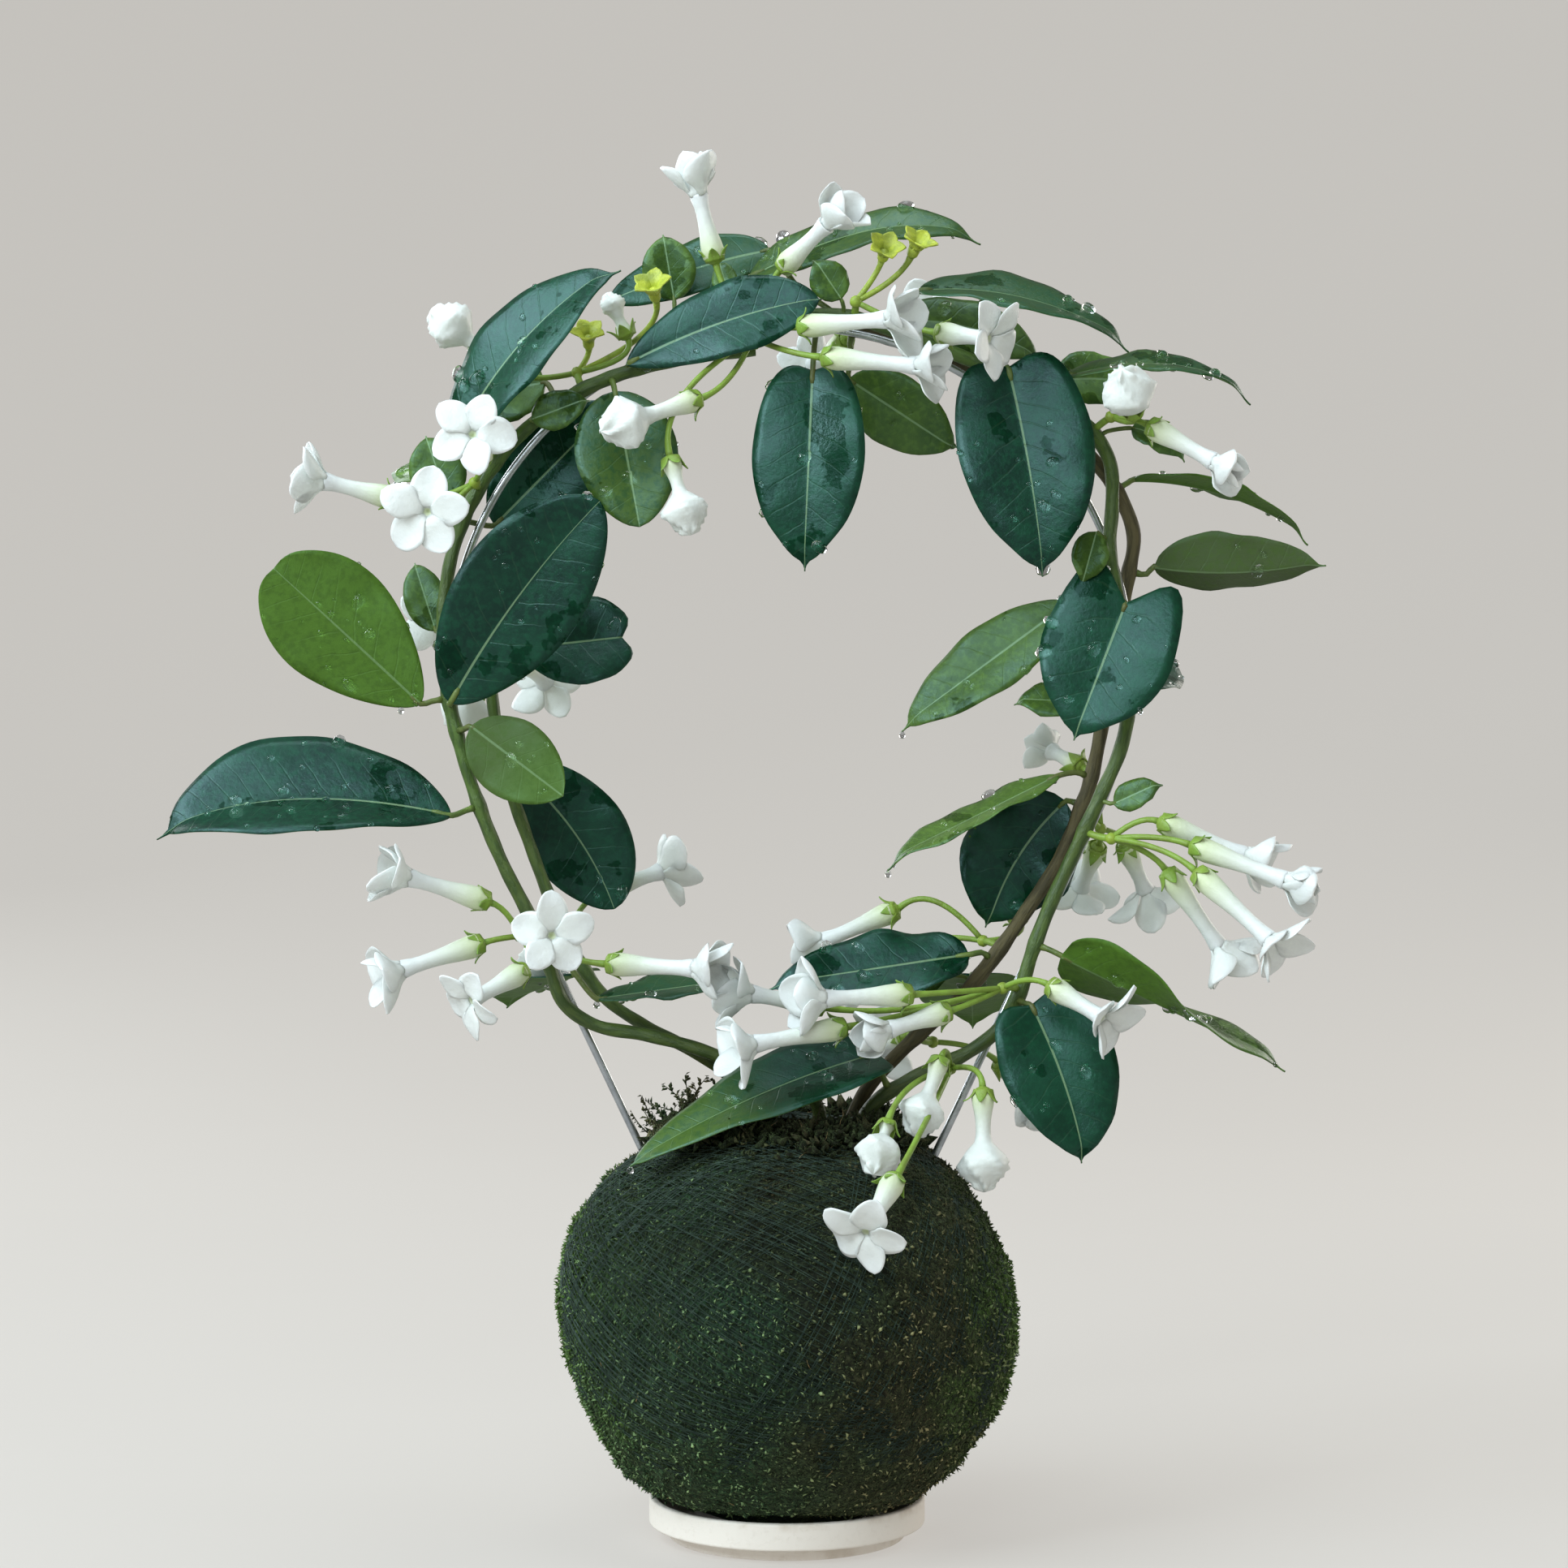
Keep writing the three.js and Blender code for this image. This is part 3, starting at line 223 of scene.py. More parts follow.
LEAVES: dict[str, LeafPlan] = {
    "left_low": LeafPlan("left_main", (-117, -12, 253), (-214, -22, 249), 46, (0, -0.7, 0.7),
        bow=(0, 0, 10), hook=(0, 0, -6), fold=0.45, lean=1.1),
    "left_pale": LeafPlan("left_main", (-128, -8, 292), (-179, -22, 340), 43, (-0.3, 0.9, 0.35),
        bow=(-6, 0, 6), slot=Slot.PALE_LEAF, lean=1.12, point=0, notch=2.2),
    "left_broad": LeafPlan("left_main", (-117, -16, 292), (-64, -32, 361), 44, (0.15, -1, 0.1),
        bow=(-4, -4, 4), lean=1.05, point=0),
    "left_inner": LeafPlan("left_main", (-110, -14, 284), (-78, -18, 260), 28, (0.2, 0.9, -0.3),
        slot=Slot.PALE_LEAF, point=0.3, pale=(0.7, 0.3)),
    "left_hanging": LeafPlan("left_second", (-100, 15, 272), (-62, 24, 219), 36, (0.1, -1, 0.2),
        bow=(8, 6, 4), lean=1.15, point=0),
    "left_behind": LeafPlan("left_second", (-97, 13, 312), (-53, 18, 317), 36, (0, -0.9, 0.4),
        lean=1.15, point=0, notch=6),
    "crown_left_front": LeafPlan("left_main", (-116, -10, 382), (-62, -24, 441), 34, (-0.35, -0.8, 0.5),
        near=(-103, -3, 376), bow=(-8, -4, 8)),
    "crown_front": LeafPlan("left_main", (-56, -13, 410), (11, -20, 432), 28, (0, -0.95, 0.3),
        near=(-52, -5, 410), bow=(0, -2, 6), lean=1.2, point=0.3),
    "crown_left_behind": LeafPlan("left_main", (-86, 13, 407), (-112, 16, 402), 28, (0, -0.9, 0.4),
        near=(-84, -5, 395), via=(-83, 7, 402), slot=Slot.OLIVE_LEAF),
    "crown_top_behind": LeafPlan("right_woody", (-6, 19, 455), (-64, 21, 437), 22, (0.1, -0.9, 0.4),
        near=(16, 5, 427), via=(4, 14, 441), bow=(4, 0, 5), point=0.2, pale=(0.4, 0.1)),
    "crown_long": LeafPlan("left_main", (-13, 5, 443), (65, 6, 459), 28, (-0.2, -0.6, 0.8),
        near=(-14, -3, 416), via=(-14, -4, 428), bow=(0, 0, 8), hook=(4, 0, -8), lean=0.9, pale=(0.9, 0.7)),
    "crown_arched": LeafPlan("right_green", (46, -10, 436), (117, -14, 419), 34, (0.2, -0.45, 0.9),
        near=(44, -6, 420), via=(44, -8, 430), bow=(0, 0, 12), lean=0.8, pale=(0.4, 0.3)),
    "crown_olive": LeafPlan("right_woody", (39, 14, 429), (90, 18, 417), 24, (0.1, -0.8, 0.5),
        near=(36, 6, 421), bow=(0, 2, 8), slot=Slot.OLIVE_LEAF),
    "crown_right_behind": LeafPlan("right_woody", (96, 19, 408), (126, 28, 408), 22, (0, -0.9, 0.4),
        near=(86, 5, 399), via=(89, 13, 404), bow=(0, 0, 3), slot=Slot.PALE_LEAF),
    "crown_right_narrow": LeafPlan("right_green", (97, -10, 406), (160, -12, 401), 24, (0, -0.35, 0.95),
        near=(97, -5, 396), bow=(0, 0, 7), hook=(2, 0, -8), lean=0.8, pale=(0.8, 0.3)),
    "right_front": LeafPlan("right_green", (77, -14, 409), (88, -26, 339), 47, (0, -1, 0.15),
        bow=(2, -6, 0), lean=0.76, heart=0.5),
    "centre_hanging": LeafPlan("right_green", (9, -13, 408), (6, -20, 341), 39, (-0.1, -1, 0.15),
        near=(12, -6, 429), via=(10, -11, 420), bow=(0, -5, 0), lean=0.85, heart=0.5),
    "centre_olive": LeafPlan("right_woody", (22, 11, 408), (59, 13, 384), 26, (0, -0.9, -0.4),
        near=(24, 5, 425), via=(23, 10, 417), slot=Slot.OLIVE_LEAF),
    "inner_oval": LeafPlan("left_main", (-60, -12, 401), (-51, -20, 353), 36, (0.1, -1, 0.2), point=0,
        pale=(0.6, 1.0)),
    "inner_dark": LeafPlan("left_main", (-104, 12, 356), (-62, 14, 399), 34, (0.1, -1, 0.1),
        near=(-114, -3, 356), via=(-113, 8, 357), point=0),
    "right_olive": LeafPlan("right_woody", (100, 12, 328), (43, 14, 286), 26, (0.3, -0.6, 0.6),
        near=(118, 6, 323), via=(110, 11, 325), slot=Slot.OLIVE_LEAF),
    "right_heart": LeafPlan("right_green", (118, -14, 327), (100, -22, 282), 46, (-0.1, -1, 0.2),
        lean=0.72, heart=1),
    "right_far": LeafPlan("right_woody", (130, 5, 341), (186, -4, 342), 25, (0, 0.7, 0.6),
        near=(121, 5, 339), bow=(0, 0, -5), fold=0.6, lean=0.8, pale=(0.9, 0.9), slot=Slot.PALE_LEAF),
    "right_arch": LeafPlan("right_woody", (123, 7, 372), (183, 4, 353), 30, (0, 0.05, 1),
        near=(116, 2, 368), bow=(0, 0, 10), slot=Slot.OLIVE_LEAF),
    "right_drip": LeafPlan("right_woody", (96, 2, 267), (37, -8, 238), 24, (-0.3, -0.3, 0.9),
        near=(108, 6, 267), slot=Slot.OLIVE_LEAF),
    "right_wavy": LeafPlan("right_woody", (99, 9, 258), (72, 12, 215), 41, (0.2, -1, 0.2),
        near=(104, 5, 257), bow=(-6, 0, 4), wave=3.5, lean=0.95),
    "low_right_long": LeafPlan("right_woody", (64, -3, 204), (-4, -8, 194), 28, (0, -0.8, 0.6),
        near=(72, 4, 202), wave=2, lean=0.8),
    "low_left_long": LeafPlan("left_main", (-66, -13, 189), (-18, -4, 195), 24, (0, -0.25, 0.97),
        near=(-84, -5, 202), pale=(0.3, 0.3)),
    "over_ball": LeafPlan("right_green", (31, -16, 170), (-52, -44, 136), 39, (-0.2, -0.5, 0.85),
        near=(36, -8, 157), bow=(0, -8, 8), lean=0.4, point=0.4, pale=(0, 1)),
    "low_right_front": LeafPlan("right_green", (85, -14, 187), (102, -26, 136), 41, (0.2, -1, 0.2),
        bow=(4, -3, 0), lean=0.74, heart=0.4),
    "low_right_twisted": LeafPlan("right_green", (96, -10, 204), (171, -14, 168), 36, (0.3, 0.7, 0.6),
        face_tip=(0.3, -0.5, 0.8), slot=Slot.OLIVE_LEAF, lean=0.58),
    "back_left": LeafPlan("left_second", (-76, 16, 196), (-104, 70, 184), 40, (-0.3, 0.3, 0.9),
        near=(-72, 6, 198)),
    "back_right": LeafPlan("right_woody", (119, 17, 300), (136, 84, 314), 38, (0.4, -0.1, 0.9),
        near=(114, 6, 298)),
    "back_top_left": LeafPlan("left_main", (-118, 16, 376), (-134, 76, 388), 38, (-0.4, -0.3, 0.9),
        near=(-110, -3, 364), via=(-116, 8, 372), slot=Slot.OLIVE_LEAF),
    "back_low": LeafPlan("right_woody", (66, 15, 196), (70, 80, 176), 40, (0, 0.4, 0.9),
        near=(67, 4, 196)),
}

YOUNG_LEAVES: tuple[LeafPlan, ...] = (
    LeafPlan("left_main", (-89, -12, 391), (-70, -13, 398), 14, (0, -1, 0.2)),
    LeafPlan("left_main", (-40, 11, 436), (-44, 12, 459), 19, (0, -1, 0.1), near=(-40, -4, 412),
        via=(-40, -6, 422)),
    LeafPlan("left_main", (-20, 1, 436), (-24, 6, 449), 9, (-0.2, -1, 0.1), near=(-22, -4, 415),
        via=(-22, -6, 427)),
    LeafPlan("left_main", (-119, -3, 363), (-127, -1, 386), 20, (0, -1, 0.2)),
    LeafPlan("left_main", (-124, 3, 318), (-132, 8, 342), 15, (0, -1, 0.2)),
    LeafPlan("right_woody", (106, 8, 293), (82, 9, 294), 15, (0, -0.8, 0.6), near=(116, 6, 293)),
    LeafPlan("right_woody", (57, 9, 196), (37, 14, 192), 14, (0, -0.8, 0.6), near=(66, 4, 193)),
    LeafPlan("right_green", (19, -12, 433), (10, -14, 446), 14, (0, -1, 0.2), near=(20, -6, 428)),
    LeafPlan("right_green", (121, -4, 389), (139, -9, 379), 13, (0, -0.8, 0.6), near=(109, -5, 386),
        bow=(0, 0, 3)),
    LeafPlan("right_green", (108, -11, 352), (103, -16, 335), 13, (0, -1, 0.2), near=(113, -6, 350)),
    LeafPlan("right_green", (114, -10, 257), (129, -15, 264), 11, (0, -1, 0.4)),
)

BUNCHES: dict[str, BunchPlan] = {
    "upper_left": BunchPlan("left_main", (-109, -11, 369), (
        FlowerPlan((-105, -24, 376), (-106, -52, 382)),
        FlowerPlan((-118, -20, 360), (-122, -46, 356), size=14.5),
        FlowerPlan((-136, -15, 363), (-161, -20, 369), size=12),
    )),
    "left_low": BunchPlan("left_main", (-93, -13, 211), (
        FlowerPlan((-103, -18, 223), (-131, -26, 232)),
        FlowerPlan((-105, -20, 209), (-133, -30, 200)),
        FlowerPlan((-90, -26, 200), (-108, -42, 190), size=12),
        FlowerPlan((-84, -24, 211), (-79, -52, 213), size=13),
        FlowerPlan((-62, -26, 202), (-31, -36, 201)),
    )),
    "left_back": BunchPlan("left_second", (-77, 18, 212), (
        FlowerPlan((-66, 40, 225), (-46, 50, 232)),
        FlowerPlan((-86, 36, 206), (-92, 56, 198), Stage.BUD, size=7),
    ), near=(-79, 6, 213)),
    "crown_left": BunchPlan("left_main", (-74, 1, 409), (
        FlowerPlan((-102, 4, 412), (-121, 3, 428), Stage.BUD, size=7.6),
        FlowerPlan((-70, 4, 418), (-70, 0, 422), Stage.SPENT, size=7),
        FlowerPlan((-56, -1, 421), (-62, -2, 434), Stage.BUD, size=4),
        FlowerPlan((-46, -1, 434), (-47, -5, 438), Stage.SPENT, size=8),
    ), near=(-72, -5, 402)),
    "crown_centre": BunchPlan("left_main", (-12, -9, 420), (
        FlowerPlan((-25, -4, 447), (-31, -6, 471), Stage.HALF, size=14),
        FlowerPlan((-2, -8, 444), (14, -20, 458), Stage.HALF, size=14),
        FlowerPlan((4, -22, 422), (35, -34, 423)),
        FlowerPlan((12, -26, 411), (45, -34, 407), size=12),
        FlowerPlan((-30, -24, 397), (-58, -38, 386), Stage.BUD, size=8),
        FlowerPlan((-40, -32, 376), (-34, -37, 354), Stage.BUD, size=7),
    ), near=(-11, -3, 416)),
    "crown_right": BunchPlan("right_green", (24, -13, 432), (
        FlowerPlan((33, -15, 446), (34, -19, 449), Stage.SPENT, size=7.5),
        FlowerPlan((43, -16, 447), (45, -19, 451), Stage.SPENT, size=7.5),
        FlowerPlan((52, -22, 420), (70, -35, 416)),
    )),
    "right_top": BunchPlan("right_green", (113, -12, 392), (
        FlowerPlan((120, -24, 391), (116, -34, 401), Stage.BUD, size=8.5),
        FlowerPlan((125, -22, 388), (147, -32, 374), Stage.HALF, size=11),
    ), near=(107, -5, 388)),
    "right_side": BunchPlan("right_green", (113, -13, 245), (
        FlowerPlan((129, -18, 251), (159, -22, 239)),
        FlowerPlan((139, -28, 243), (170, -42, 231), Stage.HALF, size=12),
        FlowerPlan((132, -14, 234), (151, -12, 207)),
        FlowerPlan((140, -34, 234), (163, -50, 211)),
    ), near=(104, -6, 247)),
    "right_side_back": BunchPlan("right_woody", (112, 15, 248), (
        FlowerPlan((112, 24, 242), (107, 40, 226)),
        FlowerPlan((121, 22, 243), (130, 32, 225)),
        FlowerPlan((106, 22, 270), (96, 36, 276), Stage.HALF, size=11),
    ), near=(103, 5, 253)),
    "low_right": BunchPlan("right_green", (75, -15, 193), (
        FlowerPlan((13, -24, 187), (-13, -28, 192)),
        FlowerPlan((20, -36, 181), (-12, -48, 176)),
        FlowerPlan((43, -34, 192), (12, -42, 191)),
        FlowerPlan((56, -28, 186), (34, -37, 180), Stage.HALF, size=12),
        FlowerPlan((90, -30, 195), (108, -42, 184)),
    ), near=(82, -6, 192)),
    "low_right_back": BunchPlan("right_woody", (70, 15, 208), (
        FlowerPlan((40, 24, 219), (13, 30, 207), bow=(0, 0, 6)),
        FlowerPlan((47, 32, 206), (27, 42, 197)),
        FlowerPlan((84, 24, 214), (78, 34, 226), Stage.BUD, size=7),
    ), near=(75, 4, 206)),
    "ball_front": BunchPlan("right_green", (57, -14, 165), (
        FlowerPlan((53, -29, 170), (45, -39, 149), Stage.BUD, size=7),
        FlowerPlan((34, -50, 150), (30, -60, 138), Stage.BUD, size=7),
        FlowerPlan((36, -72, 134), (25, -92, 118)),
        FlowerPlan((67, -34, 160), (67, -39, 131), Stage.BUD, size=7.6),
    ), near=(56, -6, 166)),
    "ball_back": BunchPlan("right_woody", (52, 14, 172), (
        FlowerPlan((76, 26, 164), (88, 34, 152)),
        FlowerPlan((44, 42, 172), (36, 66, 166)),
    ), near=(46, 4, 175)),
    "back_crown": BunchPlan("right_woody", (28, 16, 426), (
        FlowerPlan((40, 34, 432), (50, 62, 436)),
        FlowerPlan((22, 38, 426), (10, 68, 420)),
    ), near=(30, 6, 424)),
    "back_left": BunchPlan("left_second", (-106, 18, 314), (
        FlowerPlan((-118, 34, 322), (-130, 62, 326)),
        FlowerPlan((-98, 38, 310), (-90, 68, 302)),
        FlowerPlan((-112, 36, 300), (-120, 58, 290), Stage.BUD, size=8),
    ), near=(-104, 8, 312)),
}


# Vectors and paths


def vec(point: Sequence[float]) -> Array:
    """Returns a point as an array of floats."""
    return np.asarray(point, float)


def unit(rows: Array) -> Array:
    """Scales each vector to a length of one.

    Args:
        rows: one vector, or an array of them along its last axis.

    Returns:
        The vectors, with a length of one each.
    """
    length = np.linalg.norm(rows, axis=-1, keepdims=True)
    return rows / np.maximum(length, 1e-12)


def across_of(rows: Array, axis: Array) -> Array:
    """Returns the part of each vector that is square to an axis, scaled to a length of one."""
    share = np.sum(rows * axis, axis=-1, keepdims=True)
    return unit(rows - share * axis)


def smooth(low: float, high: float, value: Any) -> Any:
    """Returns a smooth step from 0 at low to 1 at high."""
    share = np.clip((value - low) / (high - low), 0.0, 1.0)
    return share * share * (3 - 2 * share)


def circle(count: int) -> Array:
    """Returns the angles of evenly spaced corners of a full turn."""
    return np.linspace(0, 2 * math.pi, count, endpoint=False)


def spokes(sides: int, side: Array, other: Array) -> Array:
    """Returns vectors of one round each point of a path, in the plane of its two side vectors."""
    angles = circle(sides)
    return np.cos(angles)[None, :, None] * side[:, None] + np.sin(angles)[None, :, None] * other[:, None]


def round_ring(radius: Any, angles: Array, height: Any) -> Array:
    """Returns points round the Z axis, from their distance to it, their angle and their height."""
    x = radius * np.cos(angles)
    return np.stack([x, radius * np.sin(angles), np.broadcast_to(height, x.shape)], axis=-1)


def bezier(start: Array, control: Array, end: Array, count: int) -> Array:
    """Samples a quadratic curve.

    Args:
        start: first point.
        control: point that the curve leans towards.
        end: last point.
        count: number of points.

    Returns:
        The points along the curve.
    """
    t = np.linspace(0, 1, count)[:, None]
    return (1 - t) ** 2 * start + 2 * t * (1 - t) * control + t * t * end


def carried_frames(path: Array, first: Array | None = None) -> tuple[Array, Array, Array]:
    """Carries a frame along a path without twisting it.

    Args:
        path: points of the path.
        first: a direction that the first side vector leans towards.

    Returns:
        The tangents, the side vectors and the vectors square to both.
    """
    tangents = unit(np.gradient(path, axis=0))
    start = vec((0.31, 0.52, 0.79)) if first is None else first
    sides = [across_of(start, tangents[0])]
    for tangent in tangents[1:]:
        sides.append(across_of(sides[-1], tangent))
    side = np.array(sides)
    return tangents, side, np.cross(tangents, side)


class StemPath:
    """A smooth path through a stem's points, with even speed between near points."""

    def __init__(self, points: Sequence[Point]) -> None:
        """Stores the points that the path passes through."""
        self.points = [vec(p) for p in points]

    def at(self, t: float) -> Array:
        """Finds a point of the path.

        Args:
            t: place along the path, from 0 to 1, with each stretch between points alike.

        Returns:
            The point.
        """
        points = self.points
        last = len(points) - 1
        place = min(max(t, 0.0), 1.0) * last
        k = min(int(place), last - 1)
        weight = place - k
        b, c = points[k], points[k + 1]
        a = points[k - 1] if k > 0 else 2 * b - c
        d = points[k + 2] if k + 2 <= last else 2 * c - b
        gaps = [max(np.linalg.norm(q - p), 1e-4) ** 0.5 for p, q in ((a, b), (b, c), (c, d))]
        leave = (b - a) / gaps[0] - (c - a) / (gaps[0] + gaps[1]) + (c - b) / gaps[1]
        reach = (c - b) / gaps[1] - (d - b) / (gaps[1] + gaps[2]) + (d - c) / gaps[2]
        leave, reach = leave * gaps[1], reach * gaps[1]
        w2, w3 = weight * weight, weight ** 3
        near = (2 * w3 - 3 * w2 + 1) * b + (w3 - 2 * w2 + weight) * leave
        return near + (3 * w2 - 2 * w3) * c + (w3 - w2) * reach

    def sample(self, spacing: float) -> Array:
        """Spaces points evenly along the whole path.

        Args:
            spacing: about how far apart they lie.

        Returns:
            The points.
        """
        dense = np.array([self.at(t) for t in np.linspace(0, 1, 40 * len(self.points))])
        run = np.concatenate([[0.0], np.cumsum(np.linalg.norm(np.diff(dense, axis=0), axis=1))])
        wanted = np.linspace(0, run[-1], max(int(run[-1] / spacing), 4))
        return np.stack([np.interp(wanted, run, dense[:, k]) for k in range(3)], axis=1)

    def seat(self, near: Array, towards: Array, lift: float) -> tuple[Array, Array]:
        """Finds where a stalk leaves the stem.

        Args:
            near: point that the seat is closest to.
            towards: point that the stalk leaves towards.
            lift: distance of the seat from the stem's middle line.

        Returns:
            The seat and the direction away from the stem.
        """
        places = np.linspace(0, 1, 401)
        line = np.array([self.at(t) for t in places])
        best = int(np.argmin(np.linalg.norm(line - near, axis=1)))
        centre = line[best]
        step = 1e-4
        along = unit(self.at(places[best] + step) - self.at(places[best] - step))
        out = across_of(towards - centre, along)
        return centre + out * lift, out


# Meshes


def soften(mesh: Mesh) -> Mesh:
    """Shades a mesh smoothly and returns it."""
    mesh.polygons.foreach_set("use_smooth", [True] * len(mesh.polygons))
    return mesh


def mesh_of(name: str, points: Array, faces: Faces) -> Mesh:
    """Makes a smooth mesh.

    Args:
        name: its name.
        points: its points, in millimetres.
        faces: corners of each face.

    Returns:
        The mesh.
    """
    mesh = bpy.data.meshes.new(name)
    mesh.from_pydata((points.reshape(-1, 3) * MM).tolist(), [], faces)
    return soften(mesh)


def placed(name: str, data: bpy.types.ID) -> Piece:
    """Puts a new object in the scene.

    Args:
        name: its name.
        data: the mesh, lamp or camera that it shows.

    Returns:
        The object.
    """
    made = bpy.data.objects.new(name, data)
    bpy.context.scene.collection.objects.link(made)
    return made


class Draft:
    """Collects the vertices, faces and vertex values of one piece, in millimetres."""

    def __init__(self) -> None:
        """Starts an empty draft."""
        self.vertices: list[Array] = []
        self.faces: list[tuple[int, ...]] = []
        self.materials: list[int] = []
        self.values: dict[str, list[Array]] = {}
        self.count = 0

    def add(self, points: Array, faces: Faces, material: int = 0, **values: Any) -> None:
        """Adds a set of vertices and faces.

        Args:
            points: the vertices.
            faces: corners of each face, counted from the first of these vertices.
            material: place of the faces' material in the piece's list.
            values: numbers for each vertex, by attribute name.
        """
        start = self.count
        self.vertices.append(points)
        self.faces.extend(tuple(start + k for k in face) for face in faces)
        self.materials.extend([material] * len(faces))
        for name in dict.fromkeys((*self.values, *values)):
            known = self.values.setdefault(name, [np.zeros(start)] if start else [])
            given = np.broadcast_to(np.asarray(values.get(name, 0.0), float), (len(points),))
            known.append(given)
        self.count += len(points)

    def loft(self, rings: Array, material: int = 0, closed: bool = False, **values: Any) -> None:
        """Adds a closed skin over a row of rings that turn anticlockwise round the way they run.

        Args:
            rings: points of the rings, as rows by corners by three.
            material: place of the faces' material in the piece's list.
            closed: joins the last ring to the first instead of capping both.
            values: numbers for each ring or each vertex, by attribute name.
        """
        rows, sides = rings.shape[:2]
        faces: list[tuple[int, ...]] = []
        for i in range(rows if closed else rows - 1):
            here, there = i * sides, ((i + 1) % rows) * sides
            for j in range(sides):
                k = (j + 1) % sides
                faces.append((here + j, here + k, there + k, there + j))
        if not closed:
            faces.append(tuple(reversed(range(sides))))
            faces.append(tuple(range((rows - 1) * sides, rows * sides)))
        spread = {}
        for name, value in values.items():
            array = np.asarray(value, float)
            per_row = array.ndim == 1 and len(array) == rows
            spread[name] = np.repeat(array, sides) if per_row else array.reshape(-1)
        self.add(rings.reshape(-1, 3), faces, material, **spread)

    def tube(self, path: Array, radii: Any, sides: int, material: int = 0, **values: Any) -> None:
        """Adds a round rod along a path.

        Args:
            path: points of its middle line.
            radii: one radius, or one for each point.
            sides: corners of its section.
            material: place of the faces' material in the piece's list.
            values: numbers for each point of the path, by attribute name.
        """
        _, side, other = carried_frames(path)
        radius = np.broadcast_to(np.asarray(radii, float), (len(path),))[:, None, None]
        self.loft(path[:, None] + radius * spokes(sides, side, other), material, **values)

    def piece(self, name: str, materials: Sequence[Material], slot: Slot, *nodes: str) -> Piece:
        """Makes the piece and ties it to the frame.

        Args:
            name: name of the piece.
            materials: its materials, in the order that the faces count them.
            slot: finish of the record that it takes.
            nodes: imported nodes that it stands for.

        Returns:
            The new object.
        """
        mesh = mesh_of(name, np.concatenate(self.vertices), self.faces)
        for attribute, parts in self.values.items():
            layer = mesh.attributes.new(attribute, "FLOAT", "POINT")
            layer.data.foreach_set("value", np.concatenate(parts).astype(np.float32))
        for material in materials:
            mesh.materials.append(material)
        mesh.polygons.foreach_set("material_index", self.materials)
        mesh.update()
        return tie(placed(name, mesh), slot, *nodes)


def tie(piece: Piece, slot: Slot, *nodes: str) -> Piece:
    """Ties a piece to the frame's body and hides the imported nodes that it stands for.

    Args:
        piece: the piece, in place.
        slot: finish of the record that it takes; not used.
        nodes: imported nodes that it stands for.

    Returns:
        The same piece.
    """
    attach(piece, BODY)
    if nodes:
        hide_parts(*nodes)
    LOG.info("%s: %d faces", piece.name, len(piece.data.polygons))
    return piece


# Node trees


